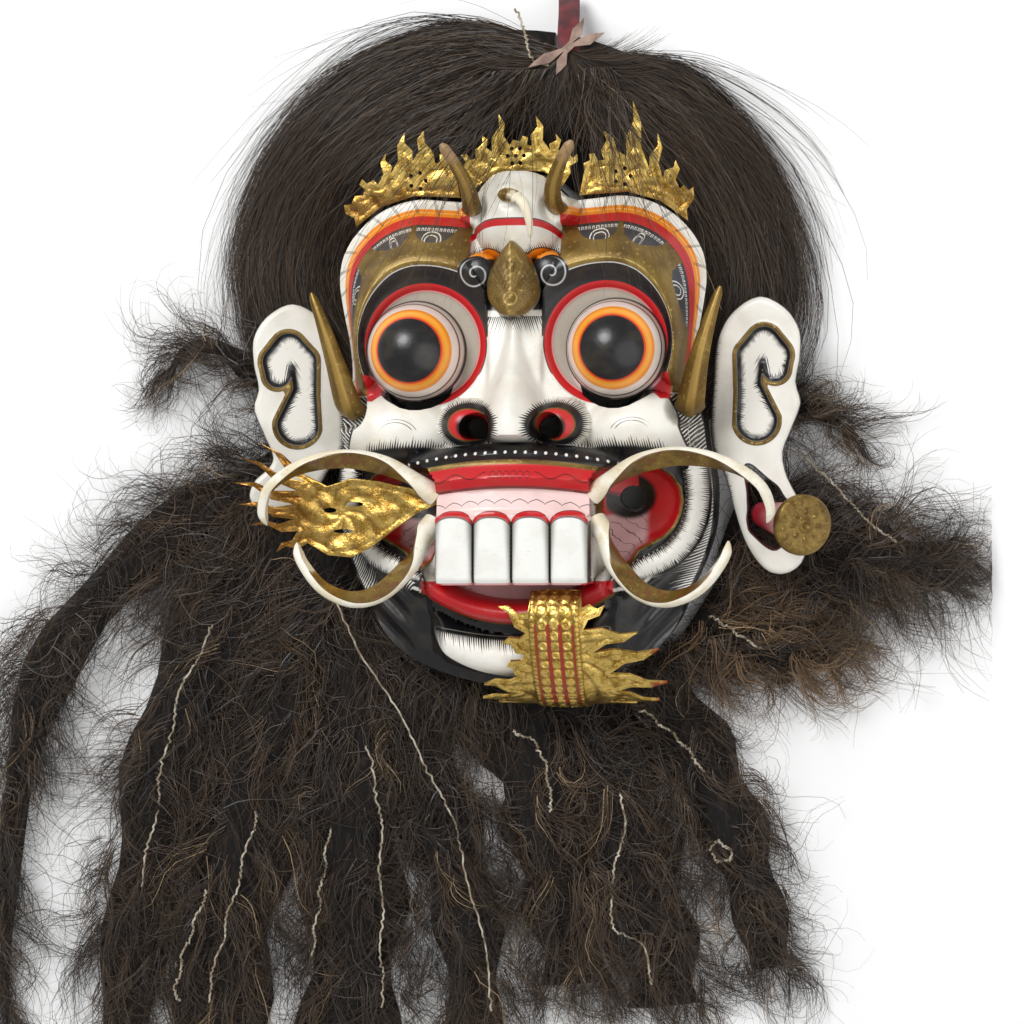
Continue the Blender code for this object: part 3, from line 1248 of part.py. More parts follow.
def build_hair_ties():
    """The red strap at the top of the hair and the pale leaf-shaped lace ends tied to it."""
    hair_top = CROWN_HAIR_Y + CROWN_HAIR_RADIUS
    points = np.array(((0.0330, -0.0410, 0.0500), (0.0320, -0.0210, 0.0450), (0.0310, -0.0030, 0.0290),
                       (0.0290, 0.0120, 0.0100)))
    path = smooth_path(points + (0, hair_top, 0), STRAP_RINGS)
    upward = [np.array((0.0, 0.5, 1.0))] * STRAP_RINGS
    sweep("hair_strap", path, [STRAP_RADIUS] * STRAP_RINGS, 8, RED_LEATHER, upward, squash=STRAP_WIDENING)
    leaf = []
    centre = np.array((LACE_KNOT_X, hair_top - LACE_KNOT_INSET))
    for turn, length in zip(LACE_TURNS, LACE_LENGTHS):
        ahead = np.array((math.cos(turn), math.sin(turn)))
        aside = np.array((-ahead[1], ahead[0]))
        half_way = centre + ahead * length * 0.55
        root = centre + ahead * LACE_ROOT
        leaf += [root - aside * LACE_HALF_WIDTH / 3, half_way - aside * LACE_HALF_WIDTH]
        leaf += [centre + ahead * length, half_way + aside * LACE_HALF_WIDTH, root + aside * LACE_HALF_WIDTH / 3]

    def lying(x, y):
        return np.full(np.shape(x), LACE_HEIGHT)

    leather_plate("lace_ends", leaf, [], lying, LACE_ROOT * 5, material=PALE_LEATHER)


def stand_at_origin():
    """Moves everything so that the origin is at the middle of the underside."""
    pieces = list(bpy.context.scene.collection.objects)
    corners = np.array([tuple(vertex.co) for piece in pieces for vertex in piece.data.vertices])
    middle = (corners.min(axis=0) + corners.max(axis=0)) / 2
    for piece in pieces:
        for vertex in piece.data.vertices:
            vertex.co.x -= middle[0]
            vertex.co.y -= middle[1]


for old in list(bpy.data.objects):
    bpy.data.objects.remove(old)

build_face()
build_ear("ear_left", -1, slotted=False)
build_ear("ear_right", 1, slotted=True)
build_plug()
for end, side in (("left", -1), ("right", 1)):
    build_tusk(f"tusk_upper_{end}", UPPER_TUSK, side)
    build_tusk(f"tusk_lower_{end}", LOWER_TUSK, side)
    build_spike(f"temple_spike_{end}", SPIKE_SEAT, SPIKE_RISE, side, SPIKE_RADIUS, SPIKE_TIP_RADIUS, GILT)
    build_spike(f"horn_{end}", HORN_SEAT, HORN_RISE, side, HORN_RADIUS, HORN_TIP_RADIUS, GILT)
build_spike("forehead_hook", HOOK_SEAT, HOOK_RISE, 1, HOOK_RADIUS, HOOK_TIP_RADIUS, IVORY)
build_crown()
build_cheek_leaf()
build_tongue()
build_locks()
build_crown_hair()
build_hair_ties()
stand_at_origin()
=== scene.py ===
"""A Balinese rangda mask lying on its back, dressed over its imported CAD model."""

import math

import bmesh
import bpy
import numpy as np
from mathutils import Matrix, Vector
from mathutils.geometry import delaunay_2d_cdt
from mathutils.kdtree import KDTree


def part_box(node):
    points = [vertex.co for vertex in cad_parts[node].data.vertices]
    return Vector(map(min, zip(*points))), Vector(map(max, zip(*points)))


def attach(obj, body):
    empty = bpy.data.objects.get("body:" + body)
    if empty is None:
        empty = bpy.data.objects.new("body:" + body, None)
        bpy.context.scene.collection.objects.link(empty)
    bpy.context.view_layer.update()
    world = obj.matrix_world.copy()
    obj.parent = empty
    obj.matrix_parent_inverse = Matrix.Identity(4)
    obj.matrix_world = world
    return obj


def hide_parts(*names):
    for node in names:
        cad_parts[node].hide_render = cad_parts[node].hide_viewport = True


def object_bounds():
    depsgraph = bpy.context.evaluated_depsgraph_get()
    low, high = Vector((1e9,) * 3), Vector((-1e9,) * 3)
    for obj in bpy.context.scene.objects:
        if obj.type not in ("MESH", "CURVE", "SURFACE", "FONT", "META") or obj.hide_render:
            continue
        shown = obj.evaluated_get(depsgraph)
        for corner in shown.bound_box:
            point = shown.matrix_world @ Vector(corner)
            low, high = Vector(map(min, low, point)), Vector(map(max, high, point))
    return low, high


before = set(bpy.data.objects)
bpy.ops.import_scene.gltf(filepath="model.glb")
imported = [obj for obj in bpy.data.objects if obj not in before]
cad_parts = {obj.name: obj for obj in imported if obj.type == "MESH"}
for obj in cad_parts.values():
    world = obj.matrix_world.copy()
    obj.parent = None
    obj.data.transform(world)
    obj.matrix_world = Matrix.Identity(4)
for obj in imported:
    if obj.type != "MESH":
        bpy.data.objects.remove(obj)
cad_low, cad_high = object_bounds()
bpy.ops.object.select_all(action="DESELECT")

# The mask hung on a wall when it was photographed, so the camera looks down on it lying,
# a little from the crown and from the right. Places on the mask are counted from the point
# midway between its eyes, at the height of the back rim.
face_low, face_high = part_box("mask_face")
FOREHEAD_TOP = 0.1180
between_eyes = np.array(((face_low.x + face_high.x) / 2, face_high.y - FOREHEAD_TOP, 0.0))
LOOK_AT = np.array((-0.00323, -0.10681, 0.090))
CAMERA_DISTANCE = 1.800
VIEW_HALF_WIDTH = 0.33792
tilt_x = math.radians(7.8)
tilt_y = math.radians(2.0)
roll = math.radians(0.6)
back = Vector((math.sin(tilt_x) * math.cos(tilt_y), math.sin(tilt_y), math.cos(tilt_x) * math.cos(tilt_y)))
right = Vector((0, 1, 0)).cross(back).normalized()
up = back.cross(right)
rolled_right = right * math.cos(roll) - up * math.sin(roll)
rolled_up = up * math.cos(roll) + right * math.sin(roll)
eye_point = Vector(LOOK_AT + between_eyes) + back * CAMERA_DISTANCE
bpy.ops.object.camera_add()
camera = bpy.context.object
camera.matrix_world = Matrix.Translation(eye_point) @ Matrix((rolled_right, rolled_up, back)).transposed().to_4x4()
camera.data.sensor_width = 36
camera.data.lens = 36 * CAMERA_DISTANCE / (2 * VIEW_HALF_WIDTH)
camera.data.clip_end = 20
bpy.context.scene.camera = camera

# The floor is a plain sheet of white paper board.
bpy.ops.mesh.primitive_plane_add(size=12)
floor = bpy.context.object
floor.name = "floor"
board = bpy.data.materials.new("white board")
board.use_nodes = True
board.node_tree.nodes["Principled BSDF"].inputs["Base Color"].default_value = (0.93, 0.93, 0.93, 1)
board.node_tree.nodes["Principled BSDF"].inputs["Roughness"].default_value = 0.9
floor.data.materials.append(board)

# Soft studio light: a broad one from the crown's side, a smaller one from the left, and a pale room.
for place, size, power in (((-0.9, 1.4, 2.2), 1.3, 52), ((1.6, -0.5, 1.9), 3.2, 26)):
    bpy.ops.object.light_add(type="AREA", location=place)
    lamp = bpy.context.object
    lamp.data.shape = "DISK"
    lamp.data.size = size
    lamp.data.energy = power
    lamp.rotation_euler = (Vector((0, -0.05, 0.05)) - Vector(place)).to_track_quat("-Z", "Y").to_euler()
room = bpy.data.worlds.new("pale room")
bpy.context.scene.world = room
room.use_nodes = True
room.node_tree.nodes["Background"].inputs["Color"].default_value = (1, 1, 1, 1)
room.node_tree.nodes["Background"].inputs["Strength"].default_value = 0.42
bpy.context.scene.view_settings.view_transform = "Standard"
bpy.context.scene.cycles.max_bounces = 4
bpy.context.scene.cycles.diffuse_bounces = 2
bpy.context.scene.cycles.glossy_bounces = 2

# The face is one piece of light wood, carved in front and hollowed behind, sanded, primed white
# and painted by hand with a fine brush. Its sizes and its carving are those of the solid, and the
# surface is cut much finer here.
RIM_WIDTH = 0.009
FACE_WALL = 0.008
FACE_EDGE_HEIGHT = 0.046
FACE_RISE = 0.052
FACE_CENTRE_Y = -0.050
FACE_HALF_WIDTH = 0.135
FACE_HALF_LENGTH = 0.190
BACK_SPACING = 0.017
OUTLINE_SPACING = 0.0105
SOFT_EDGE = 0.0015
MARCH_STEP = 0.0002

# Brow, forehead bump and drop
BROW_EDGE_HEIGHT = 0.054
BROW_RISE = 0.044
BROW_DIP = 0.008
BROW_CREST_SHARE = 0.76
BROW_INNER_END = 0.030
BROW_TURN_Y = 0.062
BROW_TURN = 0.012
BROW_LOW_Y = -0.040
BROW_FADE = 0.028
BUMP_CENTRE_Y = 0.088
BUMP_HALF_WIDTH = 0.030
BUMP_HALF_LENGTH = 0.034
BUMP_FOOT = 0.070
BUMP_TOP = 0.102
SPIRAL_X = 0.0235
SPIRAL_Y = 0.052
SPIRAL_RADIUS = 0.0125
SPIRAL_FOOT = 0.088
SPIRAL_RISE = 0.008
DROP_TOP_Y = 0.071
DROP_BOTTOM_Y = 0.021
DROP_HALF_WIDTH = 0.0175
DROP_RISE = 0.017
DROP_FOOT = 0.094
DROP_LEAN = 0.05

# Eyes
EYE_X = 0.0665
EYE_RADIUS = 0.0325
EYE_FOOT = 0.086
EYE_BULGE = 0.038
SOCKET_X = 0.060
SOCKET_Y = 0.004
SOCKET_RADIUS = 0.0410
SOCKET_HEIGHT = 0.090
SOCKET_DIP = 0.005
EYE_CORNER_PATH = ((0.0885, -0.020), (0.099, -0.030))
EYE_CORNER_RADIUS = 0.008
EYE_CORNER_HEIGHT = 0.080
SLIT_GAP = 0.0012
SLIT_WIDTH = 0.0056
SLIT_HALF_ANGLE = math.radians(40)
SLIT_LEAN = math.radians(6)

# Nose and cheeks
NOSE_TOP_Y = 0.036
NOSE_BRIDGE_Y = 0.017
NOSE_ROOT_HEIGHT = 0.098
NOSE_RISE = 0.032
NOSE_ROOT_HALF_WIDTH = 0.010
NOSE_WIDENING = 0.014
NOSE_SIDE_FALL = 0.030
NOSE_FOOT_FALL = 0.040
NOSE_TIP_Y = -0.052
NOSE_FOOT_Y = -0.0625
WING_X = 0.031
WING_Y = -0.049
WING_HALF_WIDTH = 0.0195
WING_HALF_LENGTH = 0.0175
WING_FOOT = 0.094
WING_HEIGHT = 0.117
NOSTRIL_X = 0.0235
NOSTRIL_Y = -0.0515
NOSTRIL_RADIUS = 0.0070
NOSTRIL_DEPTH = 0.015
NOSTRIL_RIM = 1.55
CHEEK_X = 0.080
CHEEK_Y = -0.052
CHEEK_HALF_WIDTH = 0.040
CHEEK_HALF_LENGTH = 0.025
CHEEK_FOOT = 0.078
CHEEK_HEIGHT = 0.107

# Mouth: heights of the upper lip along a line down its middle, as (y, height)
LIP_PROFILE = (
    (-0.061, 0.104),
    (-0.064, 0.116),
    (-0.068, 0.121),
    (-0.0725, 0.118),
    (-0.0755, 0.119),
    (-0.083, 0.125),
    (-0.0895, 0.120),
    (-0.0915, 0.116),
    (-0.104, 0.118),
    (-0.1065, 0.120),
    (-0.110, 0.119),
)
LIP_TOP_Y = -0.061
LIP_EDGE_Y = -0.0915
LIP_HALF_WIDTH = 0.074
LIP_SAG = 0.006
LIP_FALL = 0.016
JAW_HALF_WIDTH = 0.0505
JAW_SIDE = 0.0015
TOOTH_COUNT = 4
TOOTH_TOP_Y = -0.109
TOOTH_EDGE_Y = -0.1535
TOOTH_HEIGHT = 0.119
TOOTH_LEAN = 0.004
TOOTH_ROUND = 0.004
MOUTH_FLOOR = 0.083
CORNER_FLOOR = 0.047
CORNER_SLOPE = 0.45
CORNER_LIP = 0.0050
CORNER_ROUND_RUN = 0.014
CORNER_HOLE_X = 0.0735
CORNER_HOLE_Y = -0.099
CORNER_HOLE_HALF_WIDTH = 0.0090
CORNER_HOLE_HALF_LENGTH = 0.0080
ROLL_RADIUS = 0.0085
ROLL_HEIGHT = 0.012
RIB_HEIGHT = 0.0025
RIB_SPACING = 0.0035
RIBS_TOP_Y = -0.080
RIBS_INNER_X = 0.070
RIBS_FADE = 0.018
LOWER_LIP_Y = -0.1735
LOWER_LIP_RISE = 0.022
LOWER_LIP_HALF_LENGTH = 0.063
LOWER_LIP_RADIUS = 0.0085
LOWER_LIP_FOOT = 0.084
LOWER_LIP_HEIGHT = 0.103
LIP_BOW = 2.2
LIP_GROOVE_HEIGHT = 0.078
LIP_GROOVE_WIDTH = 0.006
CHIN_Y = -0.2035
CHIN_RISE = 0.017
CHIN_HALF_LENGTH = 0.060
CHIN_RADIUS = 0.0145
CHIN_FOOT = 0.070
CHIN_HEIGHT = 0.092

# Right half of the face outline, from the forehead to the chin
HALF_OUTLINE = (
    (0.000, 0.1180),
    (0.016, 0.1160),
    (0.0275, 0.1065),
    (0.036, 0.1005),
    (0.052, 0.1015),
    (0.072, 0.1025),
    (0.093, 0.0960),
    (0.110, 0.0830),
    (0.121, 0.0660),
    (0.124, 0.0480),
    (0.1215, 0.0280),
    (0.1175, 0.0060),
    (0.1160, -0.0150),
    (0.1180, -0.0350),
    (0.1215, -0.0500),
    (0.1230, -0.0650),
    (0.1265, -0.0800),
    (0.1285, -0.0960),
    (0.1265, -0.1220),
    (0.1190, -0.1450),
    (0.1100, -0.1640),
    (0.1030, -0.1820),
    (0.0910, -0.1980),
    (0.0740, -0.2100),
    (0.0500, -0.2190),
    (0.0250, -0.2245),
    (0.000, -0.2260),
)

# Right open corner of the mouth, and the bristled roll beside it
CORNER_LOOP = (
    (0.0518, -0.094),
    (0.0519, -0.082),
    (0.0600, -0.0765),
    (0.076, -0.0755),
    (0.093, -0.078),
    (0.104, -0.087),
    (0.108, -0.100),
    (0.104, -0.116),
    (0.093, -0.127),
    (0.080, -0.133),
    (0.070, -0.146),
    (0.061, -0.142),
    (0.0545, -0.128),
    (0.0518, -0.112),
)
ROLL_PATH = (
    (0.1165, -0.0790),
    (0.1180, -0.1000),
    (0.1130, -0.1210),
    (0.1000, -0.1370),
    (0.0820, -0.1460),
    (0.0690, -0.1560),
)

SPIKE_SEAT = (0.1130, -0.0385, 0.0680)
SPIKE_RADIUS = 0.0085
HORN_SEAT = (0.0285, 0.0930, 0.0850)
HORN_RADIUS = 0.0070
HOOK_SEAT = (-0.0030, 0.1010, 0.1000)
HOOK_RADIUS = 0.0055


def ease(start, end, value):
    """Smooth step from 0 at start to 1 at end; start may be the larger."""
    share = np.clip((value - start) / (end - start), 0.0, 1.0)
    return share * share * (3 - 2 * share)


def bulge(square):
    """Height share of a dome at a squared share of its radius."""
    return np.sqrt(np.clip(1 - square, 0.0, 1.0))


def higher(first, second, blend):
    """The larger of two heights, with a soft join."""
    return 0.5 * (first + second + np.sqrt((first - second) ** 2 + blend * blend))


def smooth_path(points, count, closed=False):
    """Evenly spaced points on a smooth curve through the given ones."""
    given = np.array(points, float)
    total = len(given)
    spans = total if closed else total - 1
    samples = []
    for span in range(spans):
        if closed:
            four = [given[(span + shift) % total] for shift in (-1, 0, 1, 2)]
        else:
            four = [given[min(max(span + shift, 0), total - 1)] for shift in (-1, 0, 1, 2)]
        for step in range(12):
            t = step / 12
            bend = (2 * four[0] - 5 * four[1] + 4 * four[2] - four[3]) * t * t
            twist = (3 * four[1] - four[0] - 3 * four[2] + four[3]) * t * t * t
            samples.append(0.5 * (2 * four[1] + (four[2] - four[0]) * t + bend + twist))
    samples.append(given[0] if closed else given[-1])
    curve = np.array(samples)
    along = np.concatenate([[0], np.cumsum(np.linalg.norm(np.diff(curve, axis=0), axis=1))])
    places = np.linspace(0, along[-1], count + 1 if closed else count)
    even = np.stack([np.interp(places, along, curve[:, k]) for k in range(curve.shape[1])], axis=1)
    return even[:-1] if closed else even


def mirrored(loop):
    """The loop reflected in the middle plane, still running the same way round."""
    flipped = np.array(loop, float)
    flipped[:, 0] *= -1
    return flipped[::-1]


def sideways(path):
    """Unit vectors square to a path, to its left."""
    ahead = np.gradient(path, axis=0)
    return np.stack([-ahead[:, 1], ahead[:, 0]], axis=1) / np.hypot(*ahead.T)[:, None]


def path_distance(x, y, path, closed=False):
    """Distance from each point to a path."""
    points = np.asarray(path, float)
    ends = np.roll(points, -1, axis=0) if closed else points[1:]
    best = np.full(np.shape(x), 10.0)
    for start, end in zip(points, ends):
        run = end - start
        share = ((x - start[0]) * run[0] + (y - start[1]) * run[1]) / (run @ run)
        share = np.clip(share, 0, 1)
        best = np.minimum(best, np.hypot(x - start[0] - share * run[0], y - start[1] - share * run[1]))
    return best


def inside(x, y, loop):
    """Whether each point lies inside a closed loop."""
    found = np.zeros(np.shape(x), bool)
    for (ax, ay), (bx, by) in zip(loop, np.roll(loop, -1, axis=0)):
        if ay == by:
            continue
        crosses = (ay > y) != (by > y)
        found ^= crosses & (x < (bx - ax) * (y - ay) / (by - ay) + ax)
    return found


def ellipse(x, y, half_x, half_y, count):
    """Points round an ellipse, counter-clockwise."""
    turn = np.linspace(0, 2 * math.pi, count, endpoint=False)
    return np.stack([x + half_x * np.cos(turn), y + half_y * np.sin(turn)], axis=1)


OUTLINE_POINTS = HALF_OUTLINE + tuple((-x, y) for x, y in HALF_OUTLINE[-2:0:-1])
OUTLINE_LENGTH = 1.05
FACE_OUTLINE = smooth_path(OUTLINE_POINTS, round(OUTLINE_LENGTH / OUTLINE_SPACING), closed=True)[::-1]
BROW_EDGE = smooth_path([point for point in HALF_OUTLINE if point[0] > BROW_INNER_END and point[1] > -0.036], 26)
CORNER_EDGE = smooth_path(CORNER_LOOP, 22, closed=True)
ROLL_LINE = smooth_path(ROLL_PATH, 12)


def brow_share(x, y):
    """0 at the brow's outer edge and 1 at the eye socket."""
    outer = path_distance(x, y, BROW_EDGE)
    inner = np.maximum(np.hypot(x - SOCKET_X, y - SOCKET_Y) - SOCKET_RADIUS, 0)
    return outer / (outer + inner + 1e-6)


def drop_half_width(y):
    """Half width of the gilt drop on the forehead."""
    share = np.clip((y - DROP_BOTTOM_Y) / (DROP_TOP_Y - DROP_BOTTOM_Y), 0, 1)
    return DROP_HALF_WIDTH * np.clip(np.sin(math.pi * share**0.72), 0, 1) ** 0.7


def bowed_offset(x, y, middle_y, rise, half_length):
    """Signed distance from a line that bows up towards its ends, such as a lip's."""
    share = np.minimum(x / half_length, 1.2)
    line = middle_y + rise * share**LIP_BOW
    slope = LIP_BOW * rise / half_length * share ** (LIP_BOW - 1)
    return (y - line) / np.sqrt(1 + slope * slope)


def seat(z, x, y, place, radius):
    """Flattens the carving under a spike or horn, so that its foot sits on wood."""
    near = ease(radius * 1.75, radius * 1.2, np.hypot(x - place[0], y - place[1]))
    return z + (place[2] - z) * near


def brow_and_forehead(z, x, y):
    """Adds the brows, the bump between them, the spirals under it and the drop."""
    share = brow_share(x, y)
    crest = ease(0, BROW_CREST_SHARE, share)
    brow = BROW_EDGE_HEIGHT + BROW_RISE * crest - BROW_DIP * ease(BROW_CREST_SHARE, 1, share)
    inner_end = BROW_INNER_END - np.clip((BROW_TURN_Y - y) / 2, 0, BROW_TURN)
    on_brow = ease(BROW_LOW_Y, BROW_LOW_Y + BROW_FADE, y) * ease(inner_end - SOFT_EDGE, inner_end + SOFT_EDGE, x)
    z = z + (brow - z) * on_brow
    bump_square = (x / BUMP_HALF_WIDTH) ** 2 + ((y - BUMP_CENTRE_Y) / BUMP_HALF_LENGTH) ** 2
    bump = BUMP_FOOT + (BUMP_TOP - BUMP_FOOT) * bulge(bump_square)
    z = np.where(bump_square < 1, np.maximum(z, bump), z)
    spiral_square = ((x - SPIRAL_X) ** 2 + (y - SPIRAL_Y) ** 2) / SPIRAL_RADIUS**2
    z = np.where(spiral_square < 1, np.maximum(z, SPIRAL_FOOT + SPIRAL_RISE * bulge(spiral_square)), z)
    width = np.maximum(drop_half_width(y), 1e-5)
    in_drop = (x < width) & (y < DROP_TOP_Y) & (y > DROP_BOTTOM_Y)
    lift = DROP_RISE * bulge((x / width) ** 2) ** 0.8
    foot = DROP_FOOT + DROP_LEAN * ((DROP_TOP_Y + DROP_BOTTOM_Y) / 2 - y)
    return np.where(in_drop, foot + lift, z)


def eyes(z, x, y):
    """Cuts the sockets and adds the domed eyes."""
    away = np.hypot(x - SOCKET_X, y - SOCKET_Y)
    socket = SOCKET_HEIGHT - SOCKET_DIP * ease(SOCKET_RADIUS, EYE_RADIUS + SOFT_EDGE, away)
    z = np.where(away < SOCKET_RADIUS, socket, z)
    from_corner = path_distance(x, y, EYE_CORNER_PATH)
    in_corner = ease(EYE_CORNER_RADIUS, EYE_CORNER_RADIUS - 2 * SOFT_EDGE, from_corner) * (away >= SOCKET_RADIUS)
    z = z + (EYE_CORNER_HEIGHT - z) * in_corner
    square = ((x - EYE_X) ** 2 + y * y) / EYE_RADIUS**2
    return np.where(square < 1, EYE_FOOT + EYE_BULGE * bulge(square), z)


def nose_and_cheeks(z, x, y):
    """Adds the nose, its wings, the nostril hollows and the cheeks."""
    cheek_square = ((x - CHEEK_X) / CHEEK_HALF_WIDTH) ** 2 + ((y - CHEEK_Y) / CHEEK_HALF_LENGTH) ** 2
    cheek = CHEEK_FOOT + (CHEEK_HEIGHT - CHEEK_FOOT) * bulge(cheek_square)
    z = np.where(cheek_square < 1, higher(z, cheek, 2 * SOFT_EDGE), z)
    to_tip = ease(NOSE_BRIDGE_Y, NOSE_TIP_Y, y)
    half_width = NOSE_ROOT_HALF_WIDTH + NOSE_WIDENING * to_tip
    nose = NOSE_ROOT_HEIGHT + NOSE_RISE * to_tip - NOSE_SIDE_FALL * (x / half_width) ** 2
    nose = nose - NOSE_SIDE_FALL * ease(NOSE_BRIDGE_Y, NOSE_TOP_Y, y)
    nose = nose - NOSE_FOOT_FALL * ease(NOSE_TIP_Y - 2 * SOFT_EDGE, NOSE_FOOT_Y - 2 * SOFT_EDGE, y)
    on_nose = (y < NOSE_TOP_Y) & (y > NOSE_FOOT_Y - 3 * SOFT_EDGE)
    z = np.where(on_nose, higher(z, nose, 2 * SOFT_EDGE), z)
    wing_square = ((x - WING_X) / WING_HALF_WIDTH) ** 2 + ((y - WING_Y) / WING_HALF_LENGTH) ** 2
    wing = WING_FOOT + (WING_HEIGHT - WING_FOOT) * bulge(wing_square)
    z = np.where(wing_square < 1, higher(z, wing, 2 * SOFT_EDGE), z)
    hole = np.hypot(x - NOSTRIL_X, y - NOSTRIL_Y) / NOSTRIL_RADIUS
    return z - NOSTRIL_DEPTH * ease(NOSTRIL_RIM, 1.0, hole)


def upper_lip(z, x, y):
    """Adds the moustache band, the gilt line, the red lip and the gum, then the teeth below them."""
    lip_y = y + LIP_SAG * (x / LIP_HALF_WIDTH) ** 2
    profile = np.array(LIP_PROFILE)[::-1]
    lip = np.interp(lip_y, profile[:, 0], profile[:, 1]) - LIP_FALL * (x / LIP_HALF_WIDTH) ** 2
    in_width = ease(LIP_HALF_WIDTH + 4 * SOFT_EDGE, LIP_HALF_WIDTH - 3 * SOFT_EDGE, x)
    on_lip = in_width * (lip_y < LIP_TOP_Y) * (lip_y > LIP_EDGE_Y)
    z = np.where(on_lip > 0, np.maximum(z, lip * on_lip), z)
    width = 2 * JAW_HALF_WIDTH / TOOTH_COUNT
    across = ((x / width) % 1 - 0.5) * 2
    down = (TOOTH_TOP_Y - y) / (TOOTH_TOP_Y - TOOTH_EDGE_Y)
    tooth = TOOTH_HEIGHT + TOOTH_LEAN * down + TOOTH_ROUND * bulge(across**2)
    jaw = np.where(y > TOOTH_TOP_Y, lip, tooth)
    beside = ease(JAW_HALF_WIDTH + JAW_SIDE, JAW_HALF_WIDTH, x)
    in_jaw = (y < LIP_EDGE_Y + LIP_SAG / 2) & (y > TOOTH_EDGE_Y)
    return np.where(in_jaw, z + (jaw - z) * beside, z)


def lower_lip_and_chin(z, x, y):
    """Adds the gap under the teeth, the lower lip, the groove under it and the chin."""
    lower = bowed_offset(x, y, LOWER_LIP_Y, LOWER_LIP_RISE, LOWER_LIP_HALF_LENGTH)
    under_teeth = (y < TOOTH_EDGE_Y) & (x < JAW_HALF_WIDTH + 3 * SOFT_EDGE)
    z = np.where(under_teeth & (lower > 0.7 * LOWER_LIP_RADIUS), MOUTH_FLOOR, z)
    clear = (y < TOOTH_EDGE_Y) | (x > JAW_HALF_WIDTH + JAW_SIDE)
    ends = ease(LOWER_LIP_HALF_LENGTH + 2 * SOFT_EDGE, LOWER_LIP_HALF_LENGTH - 4 * SOFT_EDGE, x) * clear
    groove_end = LOWER_LIP_RADIUS + LIP_GROOVE_WIDTH
    in_groove = ease(groove_end + LIP_GROOVE_WIDTH, groove_end, abs(lower)) * ends * (lower < 0)
    z = z + (LIP_GROOVE_HEIGHT - z) * in_groove
    lip_square = (lower / LOWER_LIP_RADIUS) ** 2
    lip = LOWER_LIP_FOOT + (LOWER_LIP_HEIGHT - LOWER_LIP_FOOT) * bulge(lip_square) * ends
    z = np.where((lip_square < 1) & (ends > 0), lip, z)
    chin = bowed_offset(x, y, CHIN_Y, CHIN_RISE, CHIN_HALF_LENGTH)
    chin_square = (chin / CHIN_RADIUS) ** 2
    chin_ends = ease(CHIN_HALF_LENGTH + 3 * SOFT_EDGE, CHIN_HALF_LENGTH - 8 * SOFT_EDGE, x)
    chin_height = CHIN_FOOT + (CHIN_HEIGHT - CHIN_FOOT) * bulge(chin_square)
    return np.where((chin_square < 1) & (lower < -LOWER_LIP_RADIUS), z + (chin_height - z) * chin_ends, z)


def mouth(z, x, y):
    """Adds the lips, the teeth, the open corners, the rolls beside them and the chin."""
    z = upper_lip(z, x, y)
    outer = np.where(inside(x, y, CORNER_EDGE), path_distance(x, y, CORNER_EDGE, closed=True), 0)
    from_hole = np.hypot(x - CORNER_HOLE_X, y - CORNER_HOLE_Y)
    floor = CORNER_FLOOR + CORNER_SLOPE * np.maximum(from_hole - CORNER_HOLE_HALF_WIDTH, 0)
    round_over = JAW_SIDE * 0.4 + CORNER_LIP * ease(JAW_HALF_WIDTH, JAW_HALF_WIDTH + CORNER_ROUND_RUN, x)
    z = z + (np.minimum(floor, z) - z) * ease(0, round_over, outer)
    z = lower_lip_and_chin(z, x, y)
    beside_roll = path_distance(x, y, ROLL_LINE)
    ribs = RIB_HEIGHT * np.sin((x - y) / RIB_SPACING) * ease(ROLL_RADIUS, ROLL_RADIUS * 1.7, beside_roll)
    lower_side = ease(RIBS_TOP_Y, RIBS_TOP_Y - RIBS_FADE, y) * ease(RIBS_INNER_X, RIBS_INNER_X + RIBS_FADE, x)
    z = z + ribs * lower_side * (outer == 0)
    return z + ROLL_HEIGHT * bulge((beside_roll / ROLL_RADIUS) ** 2)


def face_height(x, y):
    """Height of the carved front above the back rim."""
    half = np.abs(x)
    rounding = (half / FACE_HALF_WIDTH) ** 2 + ((y - FACE_CENTRE_Y) / FACE_HALF_LENGTH) ** 2
    z = FACE_EDGE_HEIGHT + FACE_RISE * (1 - rounding)
    z = brow_and_forehead(z, half, y)
    z = eyes(z, half, y)
    z = nose_and_cheeks(z, half, y)
    z = mouth(z, half, y)
    z = seat(z, half, y, SPIKE_SEAT, SPIKE_RADIUS)
    z = seat(z, half, y, HORN_SEAT, HORN_RADIUS)
    return seat(z, x, y, HOOK_SEAT, HOOK_RADIUS)


def hollow_height(x, y):
    """Height of the hollow back: one wall below the lowest carving near by."""
    lowest = face_height(x, y)
    for reach in (0.007, BACK_SPACING):
        for turn in np.linspace(0, 2 * math.pi, 12, endpoint=False):
            lowest = np.minimum(lowest, face_height(x + reach * math.cos(turn), y + reach * math.sin(turn)))
    return np.maximum(lowest - FACE_WALL, FACE_WALL)


def eye_slit():
    """The see-through crescent under the right eye, as a closed loop."""
    turns = np.linspace(-SLIT_HALF_ANGLE, SLIT_HALF_ANGLE, 9) - math.pi / 2 - SLIT_LEAN
    inner_radius = EYE_RADIUS + SLIT_GAP
    upper = [(EYE_X + inner_radius * math.cos(t), inner_radius * math.sin(t)) for t in turns]
    lower = []
    for t in turns[-2:0:-1]:
        share = (t + math.pi / 2 + SLIT_LEAN) / SLIT_HALF_ANGLE
        radius = inner_radius + SLIT_WIDTH * math.sqrt(max(1 - share * share, 0.05))
        lower.append((EYE_X + radius * math.cos(t), radius * math.sin(t)))
    return np.array(upper + lower)


